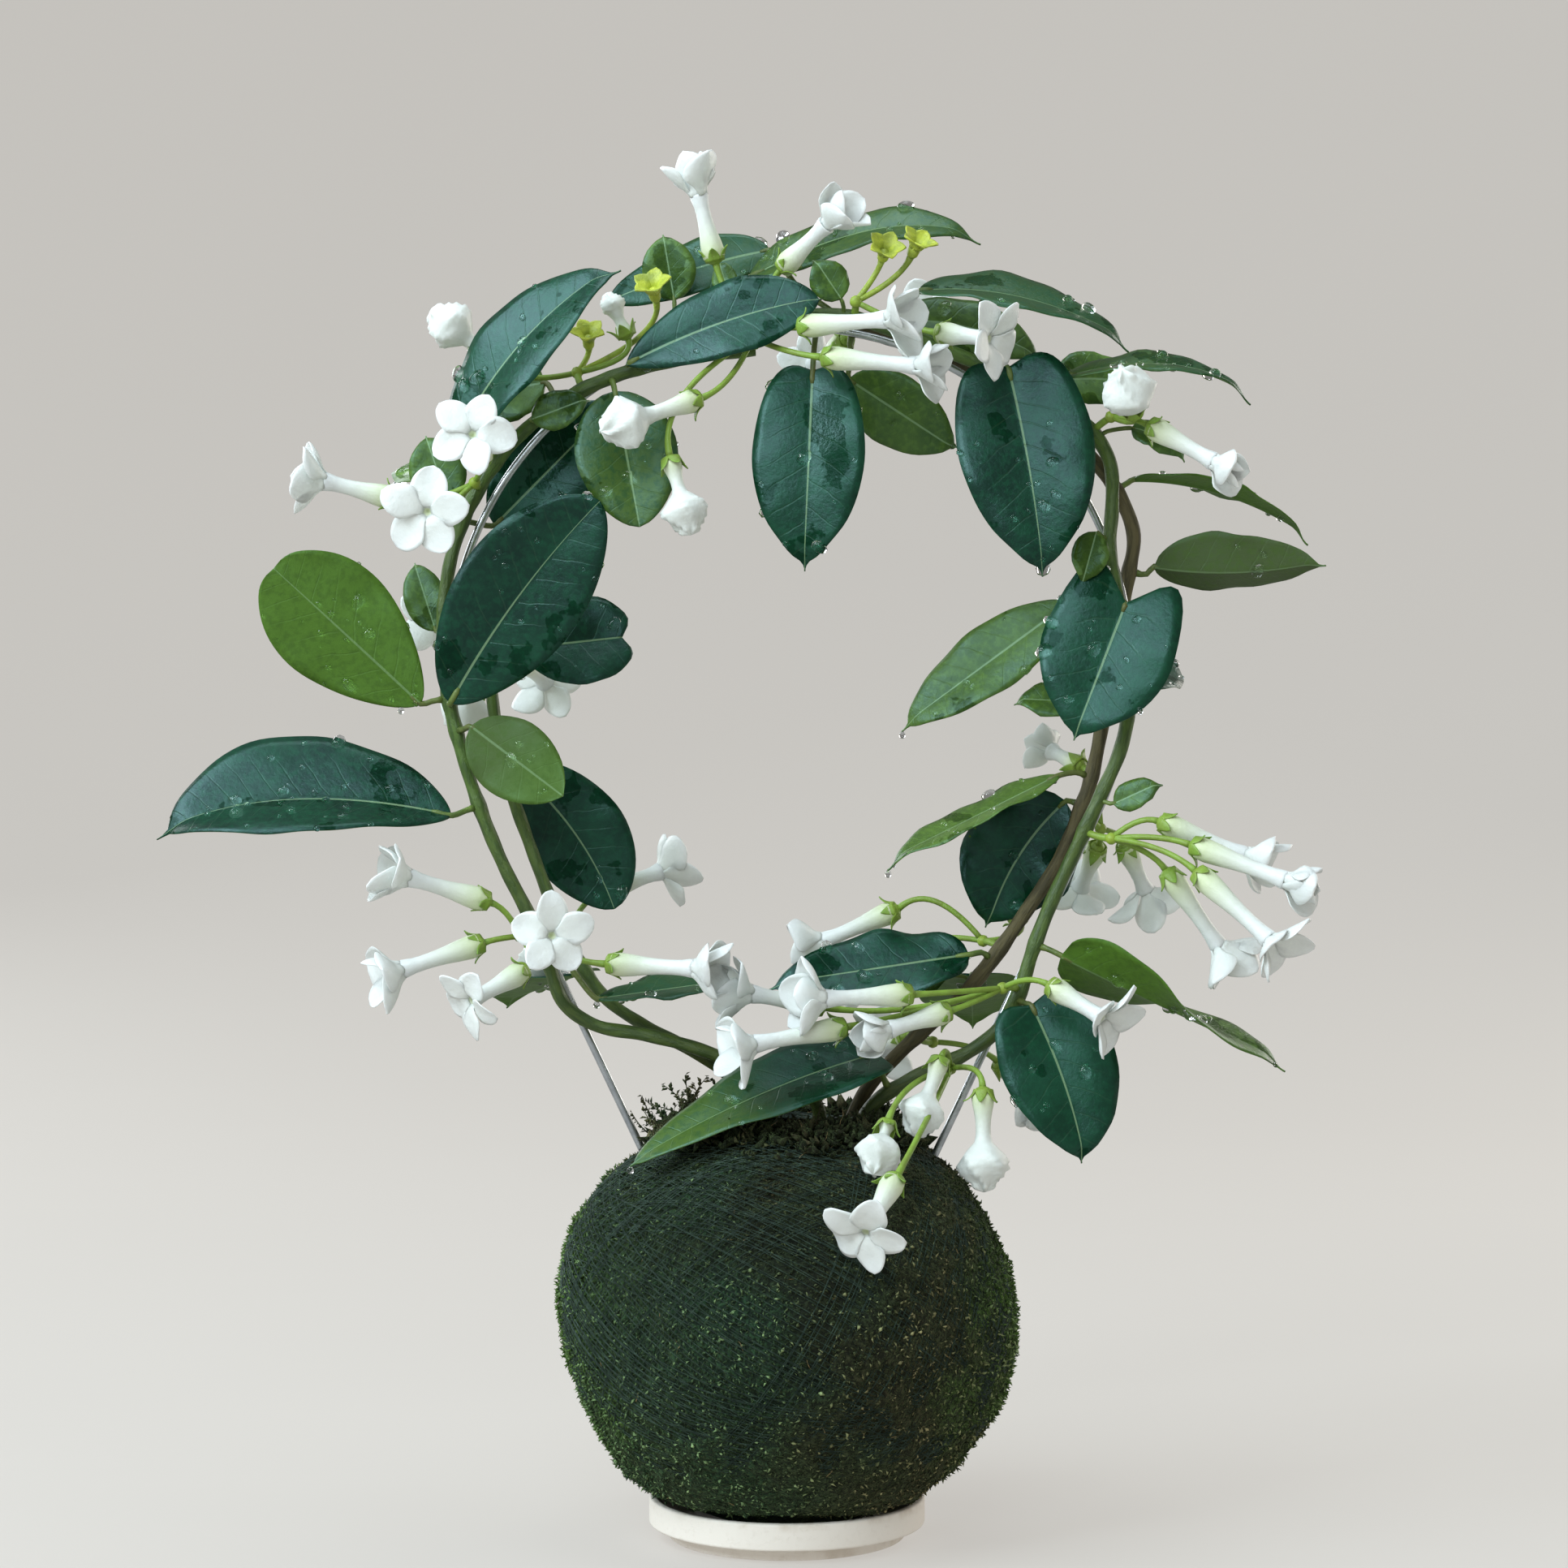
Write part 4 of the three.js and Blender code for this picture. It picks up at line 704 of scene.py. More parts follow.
class Sheet:
    """Short calls that place and join the nodes of one tree."""

    def __init__(self, tree: Tree) -> None:
        """Stores the tree."""
        self.tree = tree

    def add(self, kind: str, **settings: Any) -> Node:
        """Places a node.

        Args:
            kind: Blender's name of its kind.
            settings: its settings, by name.

        Returns:
            The node.
        """
        node = self.tree.nodes.new(kind)
        for key, value in settings.items():
            setattr(node, key, value)
        return node

    def feed(self, socket: Socket, value: Any) -> None:
        """Joins a socket to another, or gives it a plain value.

        Args:
            socket: the socket that is fed.
            value: a socket, a number, a colour or a vector.
        """
        if isinstance(value, Socket):
            self.tree.links.new(value, socket)
        elif isinstance(value, tuple) and len(value) == 3 and socket.type == "RGBA":
            socket.default_value = (*value, 1.0)
        else:
            socket.default_value = value

    def node(self, kind: str, feeds: dict[Any, Any], **settings: Any) -> Node:
        """Places a node and feeds its sockets.

        Args:
            kind: Blender's name of its kind.
            feeds: values of its sockets, by name or place.
            settings: its settings, by name.

        Returns:
            The node.
        """
        made = self.add(kind, **settings)
        for key, value in feeds.items():
            self.feed(made.inputs[key], value)
        return made

    def math(self, operation: str, a: Any, b: Any = 0.0, c: Any = 0.0) -> Socket:
        """Returns the result of a sum on one to three numbers."""
        return self.node("ShaderNodeMath", {0: a, 1: b, 2: c}, operation=operation).outputs[0]

    def times(self, a: Any, b: Any) -> Socket:
        """Returns one number times another."""
        return self.math("MULTIPLY", a, b)

    def line(self, a: Any, b: Any, c: Any) -> Socket:
        """Returns one number times a second, plus a third."""
        return self.math("MULTIPLY_ADD", a, b, c)

    def vector(self, operation: str, a: Any, b: Any = (0.0, 0.0, 0.0), scale: Any = 1.0) -> Socket:
        """Places a sum on vectors.

        Args:
            operation: Blender's name of the sum.
            a: first vector.
            b: second vector.
            scale: number that SCALE takes.

        Returns:
            The result.
        """
        node = self.add("ShaderNodeVectorMath", operation=operation)
        self.feed(node.inputs[0], a)
        if operation == "SCALE":
            self.feed(node.inputs["Scale"], scale)
        elif operation not in ("LENGTH", "NORMALIZE"):
            self.feed(node.inputs[1], b)
        number = operation in ("LENGTH", "DOT_PRODUCT", "DISTANCE")
        return node.outputs["Value" if number else "Vector"]

    def step(self, value: Any, low: Any, high: Any, out_low: Any = 0.0, out_high: Any = 1.0) -> Socket:
        """Returns a smooth step of the result from out_low to out_high, as a value goes from low to high."""
        feeds = {0: value, 1: low, 2: high, 3: out_low, 4: out_high}
        return self.node("ShaderNodeMapRange", feeds, interpolation_type="SMOOTHSTEP").outputs[0]

    def blend(self, share: Any, a: Any, b: Any, how: str = "MIX") -> Socket:
        """Blends two colours.

        Args:
            share: share of the second.
            a: first colour.
            b: second colour.
            how: Blender's name of the blend.

        Returns:
            The colour.
        """
        node = self.add("ShaderNodeMix", data_type="RGBA", blend_type=how)
        colours = [s for s in node.inputs if s.type == "RGBA"]
        self.feed(node.inputs["Factor"], share)
        self.feed(colours[0], a)
        self.feed(colours[1], b)
        return next(s for s in node.outputs if s.type == "RGBA")

    def noise(self, place: Any, scale: Any, detail: float = 2.0, rough: float = 0.5) -> Socket:
        """Returns a soft random value over space, with some finer layers of some strength."""
        feeds = {"Vector": place, "Scale": scale, "Detail": detail, "Roughness": rough}
        return self.node("ShaderNodeTexNoise", feeds).outputs[0]

    def attribute(self, name: str) -> Socket:
        """Returns the piece's own value of that name."""
        return self.add("ShaderNodeAttribute", attribute_name=name).outputs["Fac"]

    def place(self) -> Socket:
        """Returns the Object coordinates."""
        return self.add("ShaderNodeTexCoord").outputs["Object"]

    def group(self, name: str, **inputs: Any) -> Node:
        """Places a shared group of nodes, with values for its inputs."""
        return self.node("ShaderNodeGroup", inputs, node_tree=shared_group(name))


def shared_group(name: str) -> Tree:
    """Returns the shared group of that name, built on first use."""
    found = bpy.data.node_groups.get(name)
    return found or GROUPS[name]()


def open_group(name: str, inputs: dict[str, str], outputs: dict[str, str]) -> tuple[Sheet, Any, Any]:
    """Starts a shared shader group.

    Args:
        name: name of the group.
        inputs: socket type of each input, by name.
        outputs: socket type of each output, by name.

    Returns:
        The group's sheet, its inputs and its outputs.
    """
    tree = bpy.data.node_groups.new(name, "ShaderNodeTree")
    for in_out, sockets in (("INPUT", inputs), ("OUTPUT", outputs)):
        for label, kind in sockets.items():
            tree.interface.new_socket(label, in_out=in_out, socket_type=kind)
    sheet = Sheet(tree)
    return sheet, sheet.add("NodeGroupInput").outputs, sheet.add("NodeGroupOutput").inputs


FLOAT, VECTOR, COLOUR = "NodeSocketFloat", "NodeSocketVector", "NodeSocketColor"


def mottle_group() -> Tree:
    """Builds the group that blotches a surface: a soft mask from noise over space.

    Returns:
        The group.
    """
    sheet, given, out = open_group(
        "mottle", {"Place": VECTOR, "Scale": FLOAT, "Low": FLOAT, "High": FLOAT}, {"Mask": FLOAT}
    )
    value = sheet.noise(given["Place"], given["Scale"], 4.0, 0.6)
    sheet.feed(out["Mask"], sheet.step(value, given["Low"], given["High"]))
    return sheet.tree


def grain_group() -> Tree:
    """Builds the group that roughens a surface: a normal from fine noise and a height.

    Returns:
        The group.
    """
    sheet, given, out = open_group(
        "grain",
        {"Place": VECTOR, "Scale": FLOAT, "Height": FLOAT, "Depth": FLOAT, "Strength": FLOAT},
        {"Normal": VECTOR},
    )
    fine = sheet.noise(given["Place"], given["Scale"], 3.0, 0.6)
    bump = sheet.add("ShaderNodeBump")
    sheet.feed(bump.inputs["Height"], sheet.math("ADD", fine, given["Height"]))
    sheet.feed(bump.inputs["Distance"], given["Depth"])
    sheet.feed(bump.inputs["Strength"], given["Strength"])
    sheet.feed(out["Normal"], bump.outputs[0])
    return sheet.tree


def vein_group() -> Tree:
    """Builds the group that draws a leaf's midrib and its slanted side veins.

    Returns:
        The group.
    """
    sheet, given, out = open_group(
        "leaf_veins",
        {"Run": FLOAT, "Across": FLOAT, "Phase": FLOAT, "Spacing": FLOAT},
        {"Midrib": FLOAT, "Veins": FLOAT},
    )
    away = sheet.math("ABSOLUTE", given["Across"])
    fading = sheet.step(given["Run"], 10.0, 78.0, 0.5, 0.2)
    edge = sheet.math("SUBTRACT", fading, 0.17)
    sheet.feed(out["Midrib"], sheet.step(away, fading, edge))
    off = sheet.math("ABSOLUTE", sheet.math("SUBTRACT", sheet.math("FRACT", given["Phase"]), 0.5))
    near = sheet.times(off, given["Spacing"])
    line = sheet.step(near, 0.42, 0.08)
    inside = sheet.step(away, 19.0, 6.0)
    sheet.feed(out["Veins"], sheet.times(line, inside))
    return sheet.tree


def region_group() -> Tree:
    """Builds the group that colours the moss: green at the left, browner at the right and on top, brighter
    green at the far left and right as a painted rim light, and near black over the upper right as a painted
    shadow of the plant.

    Returns:
        The group.
    """
    sheet, given, out = open_group("moss_region", {"Place": VECTOR, "Tint": FLOAT}, {"Color": COLOUR})
    parts = sheet.add("ShaderNodeSeparateXYZ")
    sheet.feed(parts.inputs[0], given["Place"])
    drift = sheet.line(sheet.noise(given["Place"], 34.0, 3.0), 0.13, -0.065)
    sideways = sheet.step(sheet.math("ADD", parts.outputs["X"], drift), -0.03, 0.06)
    away = sheet.math("ABSOLUTE", parts.outputs["X"])
    # Painted rim light: the moss turns brighter green and less brown towards the far left and right of the
    # ball.
    painted_rim_light = sheet.step(sheet.line(drift, 0.45, away), 0.052, 0.077)
    sideways = sheet.times(sideways, sheet.line(painted_rim_light, -0.9, 1.0))
    upward = sheet.step(sheet.math("ADD", parts.outputs["Z"], drift), 0.118, 0.15)
    brown = sheet.math("MAXIMUM", sheet.times(sideways, 0.85), sheet.times(upward, 0.92))
    deep = sheet.blend(brown, (0.006, 0.014, 0.009), (0.01, 0.007, 0.004))
    middle = sheet.blend(brown, (0.024, 0.064, 0.03), (0.048, 0.033, 0.017))
    middle = sheet.blend(painted_rim_light, middle, (0.07, 0.15, 0.02))
    bright = sheet.blend(brown, (0.36, 0.55, 0.24), (0.5, 0.38, 0.2))
    low = sheet.blend(sheet.step(given["Tint"], 0.0, 0.5), deep, middle)
    moss = sheet.blend(sheet.step(given["Tint"], 0.5, 1.0), low, bright)
    # Painted shadow of the plant: the moss is darkened to near black over the upper right of the ball.
    painted_plant_shadow = sheet.math(
        "MULTIPLY", sheet.step(sheet.math("ADD", parts.outputs["X"], drift), -0.06, 0.015),
        sheet.step(sheet.math("ADD", parts.outputs["Z"], drift), 0.075, 0.125, 0.0, 0.7),
    )
    sheet.feed(out["Color"], sheet.blend(painted_plant_shadow, moss, (0.006, 0.008, 0.005)))
    return sheet.tree


GROUPS: dict[str, Callable[[], Tree]] = {
    "mottle": mottle_group,
    "grain": grain_group,
    "leaf_veins": vein_group,
    "moss_region": region_group,
}


# Finishes


class Coat(Sheet):
    """The nodes of one material, round its shader."""

    def __init__(self, name: str, **sockets: Any) -> None:
        """Starts the material.

        Args:
            name: its name.
            sockets: values for its shader's sockets.
        """
        self.material = bpy.data.materials.new(name)
        self.material.use_nodes = True
        super().__init__(self.material.node_tree)
        self.shader = next(n for n in self.tree.nodes if n.type == "BSDF_PRINCIPLED")
        self.paint(**sockets)

    def paint(self, **sockets: Any) -> None:
        """Feeds the shader's sockets, whose names have _ for a space."""
        for key, value in sockets.items():
            self.feed(self.shader.inputs[key.replace("_", " ")], value)

    def mottle(self, place: Socket, scale: float, low: float, high: float) -> Socket:
        """Returns the mask of the shared group that blotches a surface."""
        return self.group("mottle", Place=place, Scale=scale, Low=low, High=high).outputs[0]

    def grained(self, place: Socket, scale: float, height: Socket, depth: float, share: float) -> Material:
        """Roughens the surface and returns the material.

        Args:
            place: Object coordinates.
            scale: how often the grain repeats, per metre.
            height: a relief that is added to the grain.
            depth: height of the grain in metres.
            share: how much of it shows.

        Returns:
            The material.
        """
        grain = self.group("grain", Place=place, Scale=scale, Height=height, Depth=depth, Strength=share)
        self.paint(Normal=grain.outputs[0])
        return self.material


@dataclass(frozen=True)
class Finish:
    """What every finish shares: the name of its material."""

    name: str


@dataclass(frozen=True)
class LeafFinish(Finish):
    """Waxy leaf: its upper side, its underside and its pale midrib."""

    top: Colour = (0.0015, 0.015, 0.007)
    top_light: Colour = (0.003, 0.042, 0.016)
    wet_top: Colour = (0.001, 0.014, 0.005)
    under: Colour = (0.07, 0.15, 0.014)
    dusty: Colour = (0.06, 0.085, 0.03)
    midrib: Colour = (0.25, 0.38, 0.2)
    aged: Colour = (0.055, 0.105, 0.012)
    vein_share: float = 0.03
    gloss: float = 0.36
    depth: float = 0.0004

    def build(self) -> Material:
        """Builds the nodes.

        Returns:
            The material.
        """
        coat = Coat(self.name, IOR=1.45, Specular_Tint=(0.52, 0.85, 0.87, 1.0))
        place = coat.place()
        under = coat.step(coat.attribute("under"), 0.35, 0.65)
        blotch = coat.mottle(place, 55.0, 0.35, 0.68)
        speck = coat.mottle(place, 420.0, 0.42, 0.66)
        wander = coat.line(coat.noise(place, 90.0), 0.4, coat.attribute("vein"))
        veins = coat.group(
            "leaf_veins", Run=coat.attribute("run"), Across=coat.attribute("across"), Phase=wander,
            Spacing=Leaf.vein_spacing,
        )
        tone = coat.line(coat.attribute("seed"), 0.5, coat.times(blotch, 0.6))
        top = coat.blend(tone, self.top, self.top_light)
        top = coat.blend(coat.times(speck, 0.45), top, tuple(c * 1.5 for c in self.top_light))
        fleck = coat.times(speck, 0.5)
        low = coat.blend(fleck, self.under, tuple(c * 0.62 for c in self.under))
        low = coat.blend(coat.attribute("pale"), low, coat.blend(fleck, self.dusty, self.aged))
        top = coat.blend(coat.attribute("pale"), top, coat.blend(fleck, self.aged, self.top_light))
        wet = coat.mottle(place, 44.0, 0.575, 0.6)
        film = coat.times(wet, coat.math("SUBTRACT", 1.0, under))
        top = coat.blend(coat.times(film, 0.5), top, self.wet_top)
        face = coat.blend(under, top, low)
        face = coat.blend(coat.times(veins.outputs["Veins"], self.vein_share), face, self.midrib)
        rib_share = coat.blend(under, (0.5, 0.5, 0.5), (0.3, 0.3, 0.3))
        rib = coat.times(veins.outputs["Midrib"], rib_share)
        coat.paint(Base_Color=coat.blend(rib, face, self.midrib))
        dull = coat.line(blotch, 0.06, self.gloss)
        dry = coat.math("SUBTRACT", dull, coat.times(film, 0.14))
        coat.paint(Roughness=coat.math("MAXIMUM", dry, coat.times(under, 0.55)))
        shine = coat.line(film, -0.45, coat.line(under, -0.35, 0.72))
        coat.paint(Specular_IOR_Level=shine)
        relief = coat.line(veins.outputs["Veins"], -0.5, coat.times(blotch, 0.6))
        return coat.grained(place, 700.0, relief, self.depth, 0.35)


@dataclass(frozen=True)
class StalkFinish(Finish):
    """Stem, stalk or sepal: two tones that turn into each other by a tint and by patches."""

    young: Colour = (0.1, 0.2, 0.03)
    old: Colour = (0.3, 0.34, 0.02)
    patch: Colour = (0.05, 0.09, 0.02)
    patch_scale: float = 160.0
    roughness: float = 0.45
    streak: float = 0.0

    def build(self) -> Material:
        """Builds the nodes.

        Returns:
            The material.
        """
        coat = Coat(self.name, Roughness=self.roughness, Specular_IOR_Level=0.4)
        place = coat.place()
        if self.streak:
            turned = coat.add("ShaderNodeCombineXYZ")
            for axis, name in zip("XYZ", ("round_x", "round_y", "run")):
                coat.feed(turned.inputs[axis], coat.times(coat.attribute(name), 0.001))
            squeezed = coat.vector("MULTIPLY", turned.outputs[0], (1.0, 1.0, self.streak))
            mask = coat.mottle(squeezed, 700.0, 0.4, 0.62)
        else:
            mask = coat.mottle(place, self.patch_scale, 0.42, 0.66)
        tone = coat.blend(coat.attribute("tint"), self.young, self.old)
        coat.paint(Base_Color=coat.blend(coat.times(mask, 0.7), tone, self.patch))
        return coat.grained(place, 900.0, mask, 0.0003, 0.5)


@dataclass(frozen=True)
class PetalFinish(Finish):
    """Waxy white petal, cream green where its tube leaves the calyx."""

    white: Colour = (0.66, 0.69, 0.685)
    cream: Colour = (0.5, 0.58, 0.3)

    def build(self) -> Material:
        """Builds the nodes.

        Returns:
            The material.
        """
        coat = Coat(
            self.name, Roughness=0.42, Specular_IOR_Level=0.4, Subsurface_Weight=0.25,
            Subsurface_Scale=0.003, Subsurface_Radius=(1.0, 1.0, 0.9),
        )
        place = coat.place()
        soft = coat.mottle(place, 260.0, 0.3, 0.75)
        shade = coat.blend(coat.times(soft, 0.5), self.white, tuple(c * 0.9 for c in self.white))
        coat.paint(Base_Color=coat.blend(coat.attribute("tint"), shade, self.cream))
        return coat.grained(place, 380.0, soft, 0.0004, 0.3)


@dataclass(frozen=True)
class MossFinish(Finish):
    """Moss and fibres: the colour follows the place on the ball and a tint of each fibre."""

    own_tint: bool = True
    roughness: float = 0.85
    depth: float = 0.0008

    def build(self) -> Material:
        """Builds the nodes.

        Returns:
            The material.
        """
        coat = Coat(
            self.name, Roughness=self.roughness, Specular_IOR_Level=0.15, Sheen_Weight=0.25,
            Sheen_Roughness=0.4, Sheen_Tint=(0.42, 0.6, 0.24, 1.0),
        )
        place = coat.place()
        specks = coat.mottle(place, 620.0, 0.38, 0.72)
        tint = coat.attribute("tint") if self.own_tint else coat.times(specks, 0.5)
        region = coat.group("moss_region", Place=place, Tint=tint)
        coat.paint(Base_Color=region.outputs[0])
        return coat.grained(place, 1500.0, specks, self.depth, 0.9)


@dataclass(frozen=True)
class EarthFinish(Finish):
    """Damp crumbly soil, straw or thread: two close tones and a rough surface."""

    dark: Colour = (0.012, 0.009, 0.006)
    light: Colour = (0.04, 0.028, 0.016)
    scale: float = 300.0
    roughness: float = 0.9

    def build(self) -> Material:
        """Builds the nodes.

        Returns:
            The material.
        """
        coat = Coat(self.name, Roughness=self.roughness, Specular_IOR_Level=0.25)
        place = coat.place()
        crumbs = coat.mottle(place, self.scale, 0.35, 0.7)
        coat.paint(Base_Color=coat.blend(crumbs, self.dark, self.light))
        return coat.grained(place, 1100.0, crumbs, 0.0006, 0.8)


@dataclass(frozen=True)
class WireFinish(Finish):
    """Bright galvanised wire with dull patches of zinc."""

    bright: Colour = (0.74, 0.77, 0.8)
    dull: Colour = (0.52, 0.54, 0.57)

    def build(self) -> Material:
        """Builds the nodes.

        Returns:
            The material.
        """
        coat = Coat(self.name, Metallic=1.0)
        place = coat.place()
        patch = coat.mottle(place, 240.0, 0.35, 0.75)
        coat.paint(Base_Color=coat.blend(patch, self.bright, self.dull))
        coat.paint(Roughness=coat.line(patch, 0.12, 0.27))
        return coat.grained(place, 500.0, patch, 0.00004, 0.15)


@dataclass(frozen=True)
class CeramicFinish(Finish):
    """Unglazed white ceramic with faint brown water stains round its rim and foot."""

    clay: Colour = (0.76, 0.715, 0.65)
    stain: Colour = (0.36, 0.27, 0.17)
    rim_height: float = 0.014

    def build(self) -> Material:
        """Builds the nodes.

        Returns:
            The material.
        """
        coat = Coat(self.name, Roughness=0.62, Specular_IOR_Level=0.35)
        place = coat.place()
        parts = coat.add("ShaderNodeSeparateXYZ")
        coat.feed(parts.inputs[0], place)
        height = parts.outputs["Z"]
        patch = coat.mottle(place, 70.0, 0.45, 0.7)
        fine = coat.mottle(place, 480.0, 0.52, 0.72)
        rim = coat.step(height, self.rim_height - 0.0035, self.rim_height)
        groove = coat.step(height, 0.0058, 0.0042)
        where = coat.math("MAXIMUM", coat.times(rim, 0.8), coat.times(groove, 0.5))
        spots = coat.times(patch, where)
        share = coat.line(fine, 0.07, coat.times(spots, 0.6))
        coat.paint(Base_Color=coat.blend(share, self.clay, self.stain))
        return coat.grained(place, 800.0, fine, 0.0002, 0.35)


@dataclass(frozen=True)
class WaterFinish(Finish):
    """Clear water."""

    def build(self) -> Material:
        """Returns the material."""
        clear = {"Roughness": 0.02, "IOR": 1.33, "Transmission_Weight": 1.0}
        return Coat(self.name, Base_Color=(1.0, 1.0, 1.0), **clear).material


@dataclass(frozen=True)
class PlainFinish(Finish):
    """Floor and backdrop: one soft pale tone."""

    tone: Colour = (0.18, 0.175, 0.165)
    glow: Colour = (1.0, 0.965, 0.91)
    lit: float = 0.46

    def build(self) -> Material:
        """Builds the nodes.

        Returns:
            The material.
        """
        coat = Coat(self.name, Roughness=0.9, Specular_IOR_Level=0.2, Emission_Color=(*self.glow, 1.0))
        seen = coat.add("ShaderNodeLightPath").outputs["Is Glossy Ray"]
        coat.paint(Emission_Strength=coat.line(seen, -0.8 * self.lit, self.lit))
        cloud = coat.mottle(coat.place(), 1.6, 0.2, 0.8)
        dim = tuple(c * 0.96 for c in self.tone)
        coat.paint(Base_Color=coat.blend(cloud, self.tone, dim))
        return coat.material


class Palette:
    """Every material of the object, made once."""

    def __init__(self) -> None:
        """Builds the materials."""
        self.leaf = {
            Slot.DARK_LEAF: LeafFinish("dark_waxy_leaf").build(),
            Slot.OLIVE_LEAF: LeafFinish(
                "olive_waxy_leaf", top=(0.035, 0.075, 0.009), top_light=(0.07, 0.13, 0.014), gloss=0.4,
            ).build(),
            Slot.PALE_LEAF: LeafFinish(
                "pale_leaf", top=(0.05, 0.11, 0.012), top_light=(0.09, 0.17, 0.02), gloss=0.44,
            ).build(),
        }
        self.stem = {
            Slot.GREEN_STEM: StalkFinish(
                "green_stem_skin", young=(0.07, 0.13, 0.022), old=(0.06, 0.05, 0.02),
                patch=(0.03, 0.06, 0.014), streak=0.2,
            ).build(),
            Slot.WOODY_STEM: StalkFinish(
                "woody_stem_bark", young=(0.1, 0.085, 0.035), old=(0.06, 0.045, 0.02),
                patch=(0.032, 0.028, 0.012), roughness=0.75, streak=0.12,
            ).build(),
        }
        self.stalk = StalkFinish("leaf_stalk", young=(0.13, 0.2, 0.04), old=(0.07, 0.05, 0.02)).build()
        self.calyx = StalkFinish(
            "flower_stalk_and_calyx", young=(0.16, 0.29, 0.04), old=(0.44, 0.5, 0.045),
            patch=(0.16, 0.22, 0.035),
        ).build()
        self.petal = PetalFinish("waxy_petal").build()
        self.moss_bed = MossFinish("moss_bed", own_tint=False).build()
        self.moss = MossFinish("moss_fibre").build()
        self.soil = EarthFinish("damp_soil").build()
        self.straw = EarthFinish(
            "dry_straw", dark=(0.22, 0.15, 0.06), light=(0.42, 0.32, 0.16), roughness=0.7
        ).build()
        self.thread = EarthFinish(
            "dark_thread", dark=(0.014, 0.028, 0.02), light=(0.045, 0.078, 0.055), roughness=0.55
        ).build()
        self.wire = WireFinish("galvanised_wire").build()
        self.ceramic = CeramicFinish("matte_ceramic").build()
        self.water = WaterFinish("water").build()
        self.studio = PlainFinish("plain_backdrop").build()


# Vine


@dataclass
class Vine:
    """The four stems: where each runs, and where a stalk leaves it."""

    plans: dict[str, StemPlan] = field(default_factory=lambda: STEMS)
    paths: dict[str, StemPath] = field(default_factory=dict)

    def __post_init__(self) -> None:
        """Makes the path of each stem."""
        self.paths = {name: StemPath(plan.points) for name, plan in self.plans.items()}

    def seat(self, stem: str, near: Point, towards: Array, fused: bool = False) -> tuple[Array, Array]:
        """Finds where a stalk leaves its stem.

        Args:
            stem: name of the stem.
            near: point that the seat is closest to.
            towards: point that the stalk leaves towards.
            fused: starts the stalk in the stem's middle, not on its skin.

        Returns:
            The seat and the direction away from the stem.
        """
        lift = 0.0 if fused else self.plans[stem].radius + CLEARANCE
        return self.paths[stem].seat(vec(near), towards, lift)


